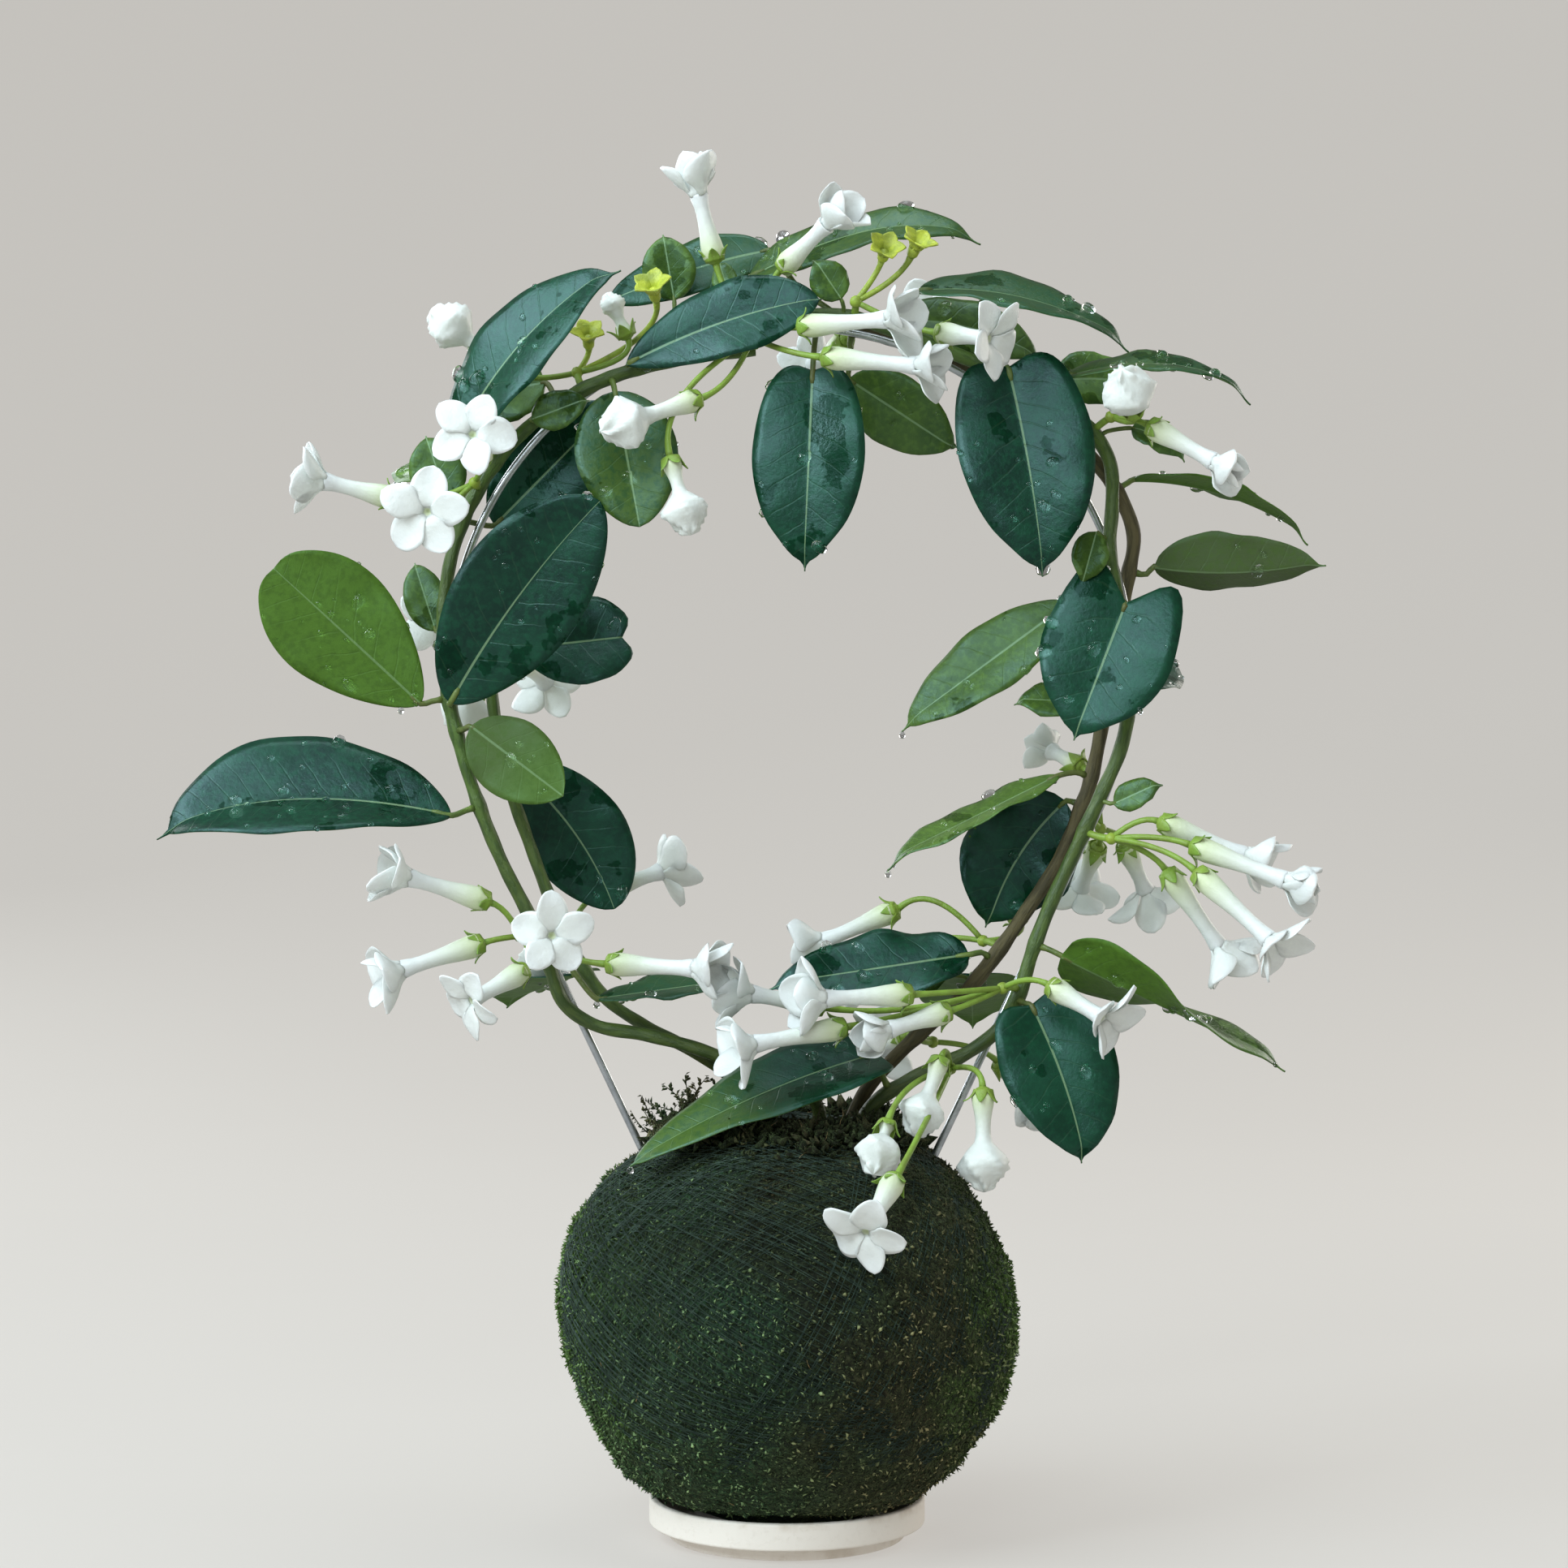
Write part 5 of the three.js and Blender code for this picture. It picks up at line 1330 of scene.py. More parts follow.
@dataclass
class Leaf:
    """One leaf: a round stalk and a folded, veined blade of even thickness, thin at its margin."""

    plan: LeafPlan
    vine: Vine
    seed: float
    fused: bool = False
    blade_thickness: float = 1.0
    margin_thickness: float = 0.3
    stalk_radius: float = 1.05
    spacing: float = 2.0
    columns: int = 8
    vein_spacing: float = 8.5
    vein_slant: float = -0.62
    drip: float = 0.05
    droop: float = 3.2
    flutter: float = 0.9
    puff: float = 0.13
    rib_scale: float = 1.0

    def midrib(self, t: Array) -> Array:
        """Works out the blade's middle line.

        Args:
            t: places along it, from 0 at its base to 1.

        Returns:
            Its points.
        """
        hook = vec(self.plan.hook)
        base, end = vec(self.plan.base), vec(self.plan.tip) - vec(self.plan.hook)
        control = (base + end) / 2 + vec(self.plan.bow)
        t = t[:, None]
        return (1 - t) ** 2 * base + 2 * t * (1 - t) * control + t * t * end + hook * t ** 4

    def half_width(self, t: Array) -> Array:
        """Works out half of the blade's width, with a short drip tip past its end.

        Args:
            t: places along the blade, from 0 at its base to 1.

        Returns:
            Half of the width at each place.
        """
        plan = self.plan
        full = plan.width / 2 * np.sin(math.pi * np.clip(t, 1e-4, 1 - 1e-4) ** plan.lean) ** 0.57
        full = full * (1 - 0.2 * plan.point * smooth(0.78, 1.0, t))
        drip = 0.075 * plan.width * plan.point * (1 - smooth(0.94, 1.0 + self.drip, t)) * smooth(0.0, 0.2, t)
        return np.maximum(np.hypot(full, drip), 0.25)

    def stalk(self) -> Array:
        """Lays the stalk from its stem into the blade.

        Returns:
            The stalk's points.
        """
        base = vec(self.plan.base)
        first = vec(self.plan.via) if self.plan.via else base
        seat, out = self.vine.seat(self.plan.stem, self.plan.near or self.plan.base, first, self.fused)
        points = [seat, seat + out * PETIOLE_REACH]
        if self.plan.via:
            points.append(first)
        points.append(base)
        points.append(self.midrib(np.array([0.07]))[0])
        return StemPath(points).sample(1.6)

    def add_to(self, draft: Draft, blade_material: int, stalk_material: int) -> None:
        """Adds the leaf to a draft.

        Args:
            draft: draft of the piece.
            blade_material: place of the blade's material in the piece's list.
            stalk_material: place of the stalk's material in the piece's list.
        """
        stalk = self.stalk()
        share = np.linspace(0, 1, len(stalk))
        swell = 1 + 0.35 * (1 - smooth(0.0, 0.16, share)) + 0.2 * smooth(0.8, 1.0, share)
        end = 1 - 0.45 * smooth(0.9, 1.0, share)
        tint = share * 0.2 + self.seed * 0.5
        draft.tube(stalk, self.stalk_radius * swell * end, 8, stalk_material, tint=tint)
        self.add_blade(draft, blade_material)

    def add_blade(self, draft: Draft, material: int) -> None:
        """Adds the blade, as rings of points over and under its sheet.

        Args:
            draft: draft of the piece.
            material: place of its material in the piece's list.
        """
        plan = self.plan
        length = float(np.linalg.norm(vec(plan.tip) - vec(plan.base)))
        count = max(int(length / self.spacing), 10)
        t = 0.5 - 0.5 * np.cos(np.linspace(0, math.pi, count))
        t = (0.6 * t + 0.4 * np.linspace(0, 1, count)) * (1 + self.drip * plan.point)
        line = self.midrib(t)
        tangent = unit(np.gradient(line, axis=0))
        turn = t[:, None]
        face = vec(plan.face) * (1 - turn) + vec(plan.face_tip or plan.face) * turn
        side = unit(np.cross(tangent, face))
        normal = np.cross(side, tangent)
        steps = np.arange(-self.columns, self.columns + 1) / self.columns
        s = np.sign(steps) * np.abs(steps) ** 1.35
        half = self.half_width(t)[:, None]
        across = s * half
        run = (t * length)[:, None]
        sway = 1.6 * np.sin(run / 11 + self.seed * 20)
        phase = (run + self.vein_slant * np.abs(across) + sway) / self.vein_spacing
        phase = phase + self.seed * 3 + 0.5 * (across > 0)
        rise = self.relief(t[:, None], s, across, half, phase)
        over, under = self.skins(t[:, None], s, across)
        lobes = half / (plan.width / 2) * np.exp(-((t[:, None] / 0.2) ** 2))
        back = plan.heart * plan.width * 0.55 * np.abs(s) ** 1.6 * lobes
        near = np.clip(1 - np.abs(across) / (0.24 * plan.width), 0, 1) ** 1.3
        back = back + plan.notch * near * smooth(0.84, 1.0, t)[:, None]
        middle = line[:, None] + side[:, None] * across[..., None] - tangent[:, None] * back[..., None]
        top = middle + normal[:, None] * (rise + over)[..., None]
        low = middle + normal[:, None] * (rise - under)[..., None]
        rings = np.concatenate([top, low[:, ::-1]], axis=1)
        both = [np.broadcast_to(a, across.shape) for a in (run, across, phase)]
        run, across_all, veins = (np.concatenate([a, a[:, ::-1]], axis=1) for a in both)
        below = np.concatenate([np.zeros_like(across), np.ones_like(across)], axis=1)
        draft.loft(
            rings, material, run=run, across=across_all * self.rib_scale, vein=veins, under=below,
            pale=plan.pale[0] + (plan.pale[1] - plan.pale[0]) * smooth(0.3, 0.8, t),
            seed=np.full(rings.shape[:2], self.seed),
        )

    def relief(self, t: Array, s: Array, across: Array, half: Array, phase: Array) -> Array:
        """Works out how far the sheet rises off the plane of its middle line.

        Args:
            t: place along the blade, for each row.
            s: place across it, from -1 to 1.
            across: distance from the midrib.
            half: half of the width, for each row.
            phase: place among the side veins.

        Returns:
            The rise of each point of the sheet.
        """
        plan = self.plan
        ease = 1.4
        fold = plan.fold * (np.sqrt(across ** 2 + ease ** 2) - ease)
        curl = -0.07 * half * np.abs(s) ** 4
        wave = plan.wave * 2 * half / plan.width * s * s * np.sin(2.5 * 2 * math.pi * t + s)
        spread = half / (plan.width / 2)
        swing = self.seed * 6.28
        slow = self.flutter * np.sin(3.1 * math.pi * t + swing + 1.3 * s)
        fast = 0.5 * self.flutter * np.sin(7.3 * math.pi * t + 2 * swing - 2 * s)
        flutter = spread * s * s * (slow + fast)
        aside = np.abs(s)
        puffed = self.puff * smooth(0.0, 0.3, np.abs(phase % 1.0 - 0.5))
        quilt = puffed * smooth(0.04, 0.2, aside) * (1 - smooth(0.7, 0.95, aside))
        droop = -self.droop * plan.point * smooth(0.9, 1.0 + self.drip, t) ** 1.5
        return fold + curl + wave + flutter + quilt + droop

    def skins(self, t: Array, s: Array, across: Array) -> tuple[Array, Array]:
        """Works out how far the upper and the lower skin lie from the sheet's middle.

        Args:
            t: place along the blade, for each row.
            s: place across it, from -1 to 1.
            across: distance from the midrib.

        Returns:
            The distances of the upper and of the lower skin.
        """
        edge = np.abs(s) ** 3
        half_thick = 0.5 * (self.blade_thickness * (1 - edge) + self.margin_thickness * edge)
        half_thick = half_thick * (1 - 0.5 * smooth(0.9, 1.0, t))
        rib = np.exp(-((across / 1.1) ** 2)) * (1 - 0.75 * smooth(0.3, 1.0, t))
        return half_thick - 0.22 * rib, half_thick + 0.55 * rib

    def build(self, name: str, palette: "Palette") -> Piece:
        """Makes the piece of one large leaf.

        Args:
            name: name of the leaf in the plans.
            palette: materials.

        Returns:
            The piece.
        """
        draft = Draft()
        self.add_to(draft, 0, 1)
        materials = [palette.leaf[self.plan.slot], palette.stalk]
        return draft.piece(f"leaf_{name}_waxy", materials, self.plan.slot, f"leaf_{name}")


@dataclass
class Stem:
    """One stem, swollen where stalks leave it, with its young leaves."""

    name: str
    vine: Vine
    knots: list[Array]
    spacing: float = 2.0
    sides: int = 12
    bark: float = 0.42
    knot_rise: float = 0.55
    knot_reach: float = 3.2

    def radii(self, line: Array) -> Array:
        """Works out the stem's thickness, with its knots.

        Args:
            line: points of its middle line.

        Returns:
            The radius at each point.
        """
        plan = self.vine.plans[self.name]
        radius = np.full(len(line), plan.radius + self.bark)
        for knot in self.knots:
            away = np.linalg.norm(line - knot, axis=1)
            radius = radius + self.knot_rise * np.exp(-((away / self.knot_reach) ** 2))
        steps = np.arange(len(line))
        radius += 0.08 * np.sin(steps * 0.9) + 0.06 * np.sin(steps * 0.37 + 1)
        end = 1 - 0.45 * smooth(len(line) - 6, len(line) - 1, steps)
        return radius * end

    def build(self, palette: "Palette") -> Piece:
        """Makes the piece of the stem and its young leaves.

        Args:
            palette: materials.

        Returns:
            The piece.
        """
        plan = self.vine.plans[self.name]
        draft = Draft()
        line = self.vine.paths[self.name].sample(self.spacing)
        radii = self.radii(line)
        _, side, other = carried_frames(line)
        angles = circle(self.sides)
        wobble = 1 + 0.05 * np.sin(3 * angles[None] + np.arange(len(line))[:, None] * 0.21)
        reach = radii[:, None] * wobble
        ring = spokes(self.sides, side, other)
        run = np.arange(len(line)) * self.spacing
        height = line[:, 2]
        tint = np.clip(0.5 - (height - 150) / 260, 0.0, 1.0) * 0.6 + 0.2 * np.sin(run / 37) ** 2
        shape = (len(line), self.sides)
        draft.loft(
            line[:, None] + reach[..., None] * ring, 0, run=run, tint=tint,
            round_x=np.broadcast_to(np.cos(angles) * plan.radius, shape),
            round_y=np.broadcast_to(np.sin(angles) * plan.radius, shape),
        )
        young = [leaf for leaf in YOUNG_LEAVES if leaf.stem == self.name]
        for place, leaf in enumerate(young):
            Leaf(leaf, self.vine, 0.37 * place % 1.0, fused=True, stalk_radius=0.8, spacing=1.5, columns=5,
                 vein_spacing=4.5, rib_scale=1.8).add_to(draft, 1, 2)
        materials = [palette.stem[plan.slot], palette.leaf[Slot.OLIVE_LEAF], palette.stalk]
        return draft.piece(f"stem_{self.name}_skin", materials, plan.slot, f"stem_{self.name}")


# Flowers


@dataclass
class Flower:
    """One waxy flower or bud on its own stalk."""

    plan: FlowerPlan
    hub: Array
    stalk_radius: float = 1.05
    open_size: float = 13.4
    bud_size: float = 8.0
    throat: float = 2.3
    petal_thickness: float = 0.75

    PETAL, GREEN = 0, 1
    FIRST_PETAL = 0.628

    def __post_init__(self) -> None:
        """Works out the flower's axis, length and the basis square to its axis."""
        self.base = vec(self.plan.base)
        self.head = vec(self.plan.head)
        self.length = float(np.linalg.norm(self.head - self.base))
        self.axis = unit(self.head - self.base)
        reach = np.linalg.norm(self.base - self.hub)
        control = self.base - 0.4 * reach * self.axis + vec(self.plan.bow)
        self.stalk = bezier(self.hub, control, self.base, max(int(reach / 2.2), 6))
        leave = unit(control - self.hub)
        least = np.eye(3)[2 - int(np.argmin(np.abs(leave)[::-1]))]
        _, sides, _ = carried_frames(self.stalk, -across_of(least, leave))
        self.e1 = across_of(sides[-1], self.axis)
        self.e2 = np.cross(self.axis, self.e1)
        bud = self.plan.stage is Stage.BUD
        self.size = self.plan.size or (self.bud_size if bud else self.open_size)
        self.phase = float(np.sum(self.base * vec((0.37, 0.61, 0.23))) % 1.0)
        self.shy = float(1 - smooth(0.3, 0.65, abs(self.axis[1])))

    def at(self, height: Array, radius: Array, angle: Array) -> Array:
        """Turns places round the flower's axis into points.

        Args:
            height: height on the axis.
            radius: distance from it.
            angle: angle round it.

        Returns:
            The points.
        """
        height, radius, angle = np.broadcast_arrays(*(np.asarray(a, float) for a in (height, radius, angle)))
        spin = np.cos(angle)[..., None] * self.e1 + np.sin(angle)[..., None] * self.e2
        return self.base + height[..., None] * self.axis + radius[..., None] * spin

    def lathe(self, draft: Draft, profile: Sequence[Point], sides: int, material: int) -> None:
        """Adds a turned form.

        Args:
            draft: draft of the piece.
            profile: height, radius and tint of each ring, in order.
            sides: corners of each ring.
            material: place of its material in the piece's list.
        """
        rows = np.array(profile)
        angles = circle(sides)
        rings = self.at(rows[:, :1], rows[:, 1:2], angles[None])
        draft.loft(rings, material, tint=rows[:, 2])

    def petal(self, draft: Draft, middle: float, path: Array, widths: Array, material: int,
              **look: float) -> None:
        """Adds one petal, lobe or sepal: a thin curved sheet closed round its rim.

        Args:
            draft: draft of the piece.
            middle: angle of its middle line round the axis.
            path: height and distance from the axis of each point of its middle line.
            widths: half width at each point.
            material: place of its material in the piece's list.
            look: cup, twist, ruffle, thick, tint and tint_end.
        """
        steps = np.linspace(-1, 1, 9)
        slope = unit(np.gradient(path, axis=0))
        thick = look.get("thick", self.petal_thickness) / 2 * (1 - 0.6 * steps ** 4)
        folds = np.sin(np.linspace(0, 5, len(path)) + 9 * self.phase + middle)[:, None]
        ruffle = look.get("ruffle", 0.0) * folds
        bend = widths[:, None] * (look.get("cup", 0.25) * steps ** 2 + look.get("twist", 0.0) * steps
                                  + ruffle * steps ** 3)
        rows = []
        for sign in (1, -1):
            lift = bend + sign * thick
            height = path[:, :1] + lift * slope[:, 1:2]
            radius = path[:, 1:2] - lift * slope[:, :1]
            spin = math.cos(middle) * self.e1 + math.sin(middle) * self.e2
            beside = np.cross(self.axis, spin)
            flat = widths[:, None] * steps
            point = self.base + height[..., None] * self.axis + radius[..., None] * spin
            point = point + flat[..., None] * beside
            rows.append(point if sign > 0 else point[:, ::-1])
        rings = np.concatenate(rows, axis=1)[:, ::-1]
        tint = np.linspace(look.get("tint", 0.0), look.get("tint_end", 0.0), len(path))
        draft.loft(rings, material, tint=tint)

    def sepals(self, draft: Draft, tint: float) -> None:
        """Adds the calyx: a small cup and five pointed sepals that bend outwards.

        Args:
            draft: draft of the piece.
            tint: how yellow it is.
        """
        cup = min(1.6, self.length * 0.2)
        profile = ((-0.7, 1.0), (0.0, 2.3), (cup, 3.7), (cup + 0.3, 3.0), (cup, 1.0))
        rows = [(*ring, tint) for ring in profile]
        self.lathe(draft, rows, 12, self.GREEN)
        t = np.linspace(0, 1, 7)
        for k in range(5):
            spread = 0.8 + 0.6 * math.sin(2.4 * k + 6 * self.phase)
            height, radius = 0.4 + 5.4 * t - 1.0 * spread * t ** 3, 3.0 + 1.4 * t + 1.9 * spread * t * t
            path = np.stack([height, radius], axis=1)
            widths = 2.2 * (1 - t ** 1.7) + 0.06
            self.petal(draft, 2 * math.pi * k / 5, path, widths, self.GREEN, cup=0.15, thick=0.45, tint=tint)

    def tube_rows(self, top: float) -> list[Point]:
        """Shapes the flower's tube, widest just above its calyx.

        Args:
            top: height of its end.

        Returns:
            Its rings, as rows for lathe.
        """
        shares = (0.0, 0.06, 0.16, 0.3, 0.45, 0.6, 0.75, 0.88, 1.0)
        radii = (2.6, 3.9, 4.15, 3.75, 3.15, 2.75, 2.6, 2.75, 3.3)
        tints = (0.95, 0.9, 0.75, 0.5, 0.3, 0.16, 0.08, 0.03, 0.0)
        narrow = min(1.0, 0.55 + top / 45)
        rows = zip(shares, radii, tints)
        return [(0.6 + share * (top - 0.6), radius * narrow, tint) for share, radius, tint in rows]

    def walk(self, turn: Array, step: Any, height: float, radius: float) -> Array:
        """Returns the heights and radii of a line of steps that turn away from the axis.

        Args:
            turn: angle of each step from the axis.
            step: length of each step.
            height: height of the first point.
            radius: distance of the first point from the axis.

        Returns:
            The height and the radius of each point.
        """
        moves = np.stack([np.cos(turn[:-1]) * step, np.sin(turn[:-1]) * step], axis=1)
        return vec((height, radius)) + np.concatenate([np.zeros((1, 2)), np.cumsum(moves, axis=0)])

    def open_head(self, draft: Draft) -> None:
        """Adds the tube, its funnel and the five broad lobes.

        Args:
            draft: draft of the piece.
        """
        top = self.length - 1.6
        rows = self.tube_rows(top)
        wide = rows[-1][1]
        flared = wide + (0.4 - 0.5 * self.shy)
        rows += [(top + 0.8, flared, 0.0), (top + 1.0, flared - 0.1, 0.0), (top + 0.7, wide * 0.6, 0.05),
                 (top + 0.1, wide * 0.36, 0.6), (top - 0.9, 0.3, 0.9)]
        self.lathe(draft, rows, 20, self.PETAL)
        for k in range(5):
            self.lobe(draft, k, top, wide)

    def lobe(self, draft: Draft, k: int, top: float, wide: float) -> None:
        """Adds one of the five lobes, each opened and turned a little differently.

        Args:
            draft: draft of the piece.
            k: place of the lobe round the flower.
            top: height of the end of the tube.
            wide: radius of the end of the tube.
        """
        sway = math.sin(2.4 * k + 9 * self.phase)
        roll = math.sin(1.7 * k + 5 * self.phase + 1)
        even = np.linspace(0, 1, 13)
        t = even * (1.3 - 0.3 * even)
        psi = self.plan.stage.value * (1 - 0.46 * self.shy) + (0.24 + 0.12 * self.shy) * sway - 0.05
        curl = 0.15 - 0.55 * self.shy + (0.42 - 0.12 * self.shy) * roll
        turn = psi * smooth(-0.35, 0.3, t) + curl * smooth(0.4, 1.0, t)
        root = wide * (0.45 + 0.4 * self.shy)
        reach = self.size * (1.0 + 0.07 * roll + 0.16 * self.shy) + self.throat - root
        path = self.walk(turn, reach * np.diff(t), top + 0.35, root)
        body = np.sin(math.pi * np.clip(0.1 + 0.9 * t, 0, 1) ** 1.02) ** 0.55
        foot = 0.24 + 0.76 * smooth(0.0, 0.42, t)
        broad = self.size * (0.43 + 0.12 * self.shy + 0.03 * sway)
        widths = broad * body * foot + 0.12 + wide * 0.2 * (1 - smooth(0.0, 0.25, t))
        close = self.plan.stage is Stage.HALF
        self.petal(
            draft, self.FIRST_PETAL + 2 * math.pi * k / 5, path, widths, self.PETAL,
            cup=0.42 if close else 0.13 + 0.12 * sway + 0.24 * self.shy, twist=0.1 + 0.16 * roll,
            ruffle=0.1, tint=0.1,
        )

    def bud(self, draft: Draft) -> None:
        """Adds a closed bud: a tube that swells to a balloon of furled petals with a crumpled tip.

        Args:
            draft: draft of the piece.
        """
        size, long = 1.1 * self.size, self.length + 0.06 * self.size
        belly = max(long - 0.4 * size, size)
        top = max(belly - 0.95 * size, 1.5)
        rows = self.tube_rows(top)
        rises = (-0.62, -0.3, 0.0, 0.3, 0.56, 0.76, 0.92, 1.06)
        heights = [row[0] for row in rows] + [belly + rise * size for rise in rises]
        shares = (0.7, 0.97, 1.04, 0.9, 0.66, 0.46, 0.36, 0.03)
        radii = [row[1] for row in rows] + [share * size for share in shares]
        fine = np.concatenate([np.linspace(heights[0], top, 8), np.linspace(top, heights[-1], 20)[1:]])
        order = np.argsort(heights)
        reach = np.interp(fine, np.array(heights)[order], np.array(radii)[order])
        angles = circle(30)
        up = np.clip((fine - top) / (heights[-1] - top), 0, 1)[:, None]
        fold = (5 * (angles[None] + 1.5 * up) / (2 * math.pi)) % 1.0
        facet = math.cos(math.pi / 5) / np.cos(2 * math.pi / 5 * (fold - 0.5)) - 0.9
        step = (0.17 * (fold - 0.5) + 0.8 * facet) * smooth(0.08, 0.4, up)
        crumple = 0.3 * np.sin(5 * angles[None] + 4) * smooth(0.78, 0.97, up)
        step = step * (1 + 2.2 * smooth(0.6, 0.95, up)) + crumple
        soft = 0.05 * np.sin(2 * angles[None] + 9 * up + 6 * self.phase) * smooth(0.2, 0.5, up)
        rings = self.at(fine[:, None], reach[:, None] * (1 + step + soft), angles[None])
        tint = np.interp(fine, heights[:len(rows)], [row[2] for row in rows])
        tint = tint * (1 - smooth(0.0, 0.3, up[:, 0])) + 0.1
        draft.loft(rings, self.PETAL, tint=tint)

    def star(self, draft: Draft) -> None:
        """Adds the yellow-green star that is left when a flower has dropped.

        Args:
            draft: draft of the piece.
        """
        top = self.length
        self.lathe(draft, [(-0.5, 0.9, 0.5), (1.2, 2.0, 0.7), (top - 1, 2.3, 0.8), (top, 0.6, 1.0)], 12,
                   self.GREEN)
        t = np.linspace(0, 1, 8)
        turn = Stage.SPENT.value * smooth(-0.2, 0.5, t)
        path = self.walk(turn, self.size / (len(t) - 1), self.length - 1.6, 1.5)
        widths = self.size * 0.44 * np.sin(math.pi * (0.2 + 0.8 * t)) ** 0.7 + 0.06
        for k in range(5):
            self.petal(draft, self.FIRST_PETAL + 2 * math.pi * k / 5, path, widths, self.GREEN,
                       cup=0.3, tint=0.8, tint_end=1.0)

    def add_to(self, draft: Draft) -> None:
        """Adds the flower and its stalk.

        Args:
            draft: draft of the piece.
        """
        count = len(self.stalk)
        swell = 1 + 0.3 * smooth(0.8, 1.0, np.linspace(0, 1, count))
        old = self.plan.stage is Stage.SPENT
        tint = np.full(count, 0.45 if old else 0.12)
        draft.tube(self.stalk, self.stalk_radius * swell, 7, self.GREEN, tint=tint)
        if old:
            self.star(draft)
            return
        self.sepals(draft, 0.1 + 0.15 * self.phase)
        if self.plan.stage is Stage.BUD:
            self.bud(draft)
        else:
            self.open_head(draft)


@dataclass
class Bunch:
    """One bunch: its common stalk, its hub and its flowers."""

    name: str
    plan: BunchPlan
    vine: Vine
    stalk_radius: float = 1.3
    hub_radius: float = 2.2

    def build(self, palette: "Palette") -> Piece:
        """Makes the piece of the bunch.

        Args:
            palette: materials.

        Returns:
            The piece.
        """
        draft = Draft()
        hub = vec(self.plan.hub)
        seat, out = self.vine.seat(self.plan.stem, self.plan.near or self.plan.hub, hub)
        arch = 0.5 * np.linalg.norm(seat - hub)
        line = bezier(seat, seat + out * arch, hub, max(int(arch), 6))
        draft.tube(line, self.stalk_radius, 9, Flower.GREEN, tint=np.full(len(line), 0.15))
        knob = np.array([-1.0, -0.75, -0.2, 0.35, 0.8, 1.0])
        heading = unit(hub - line[-2])
        draft.tube(
            hub + heading * knob[:, None] * self.hub_radius, self.hub_radius * np.sqrt(1.02 - knob ** 2), 10,
            Flower.GREEN, tint=np.full(len(knob), 0.35),
        )
        for flower in self.plan.flowers:
            Flower(flower, hub).add_to(draft)
        return draft.piece(f"bunch_{self.name}_waxy", [palette.petal, palette.calyx], Slot.FLOWER,
                           f"bunch_{self.name}")


# Holder and wire


@dataclass
class Hoop:
    """The bent galvanised wire."""

    plan: HoopPlan = HOOP
    sides: int = 16
    arc_steps: int = 150
    leg_steps: int = 20

    def line(self) -> Array:
        """Lays the wire's middle line, from the foot of one leg to the foot of the other.

        Returns:
            Its points.
        """
        p = self.plan
        angles = np.linspace(math.pi + p.lean, -p.lean, self.arc_steps)
        arc = np.stack([p.radius * np.cos(angles), 0 * angles, p.radius * np.sin(angles)], axis=1)
        foot_rise = p.foot_z - p.z
        out = arc[0]
        long = (out[2] - foot_rise) / math.cos(p.lean)
        along = np.linspace(long, 0, self.leg_steps, endpoint=False)[:, None]
        leg = out + along * np.array([math.sin(p.lean), 0.0, -math.cos(p.lean)])
        mirror = leg[::-1] * np.array([-1.0, 1.0, 1.0])
        return np.concatenate([leg, arc, mirror]) + np.array([p.x, 0.0, p.z])

    def build(self, palette: Palette) -> Piece:
        """Makes the piece of the wire.

        Args:
            palette: materials.

        Returns:
            The piece.
        """
        draft = Draft()
        line = self.line()
        draft.tube(line, self.plan.wire_radius, self.sides)
        return draft.piece("wire_hoop_galvanised", [palette.wire], Slot.WIRE, "wire_hoop")


@dataclass
class Saucer:
    """Small unglazed saucer: a foot, an upright rim band and a shallow bowl."""

    foot_radius: float = 41.5
    rim_radius: float = 48.5
    foot_height: float = 4.3
    height: float = 14.0
    wall: float = 3.0
    floor: float = 5.0
    bevel: float = 4.0
    sides: int = 128

    def profile(self) -> list[tuple[float, float]]:
        """Draws the saucer's section, from underneath round to the bowl's middle.

        Returns:
            The radius and height of each ring.
        """
        inner = self.rim_radius - self.wall
        corners = [
            (self.foot_radius, 0.0, 0.6), (self.foot_radius, self.foot_height, 0.5),
            (self.rim_radius, self.foot_height + 0.4, 1.0), (self.rim_radius, self.height, 1.1),
            (inner, self.height, 1.1), (inner, self.floor + self.bevel, 1.5),
            (inner - self.bevel, self.floor, 1.5),
        ]
        path = [vec((0.3, 0.0))] + [vec(c[:2]) for c in corners] + [vec((0.3, self.floor))]
        rings = [(path[0][0], path[0][1])]
        for k, (x, z, fillet) in enumerate(corners, start=1):
            corner = vec((x, z))
            before = corner + unit(path[k - 1] - corner) * fillet
            after = corner + unit(path[k + 1] - corner) * fillet
            rings.extend(tuple(p) for p in bezier(before, corner, after, 5))
        rings.append((path[-1][0], path[-1][1]))
        return rings

    def build(self, palette: Palette) -> Piece:
        """Makes the piece of the saucer.

        Args:
            palette: materials.

        Returns:
            The piece.
        """
        draft = Draft()
        rows = np.array(self.profile())
        angles = circle(self.sides)
        wobble = 1 + 0.0016 * np.sin(3 * angles + 0.5)
        draft.loft(round_ring(rows[:, :1] * wobble, angles, rows[:, 1:2]))
        return draft.piece("saucer_ceramic_fine", [palette.ceramic], Slot.SAUCER, "saucer")


# Ball


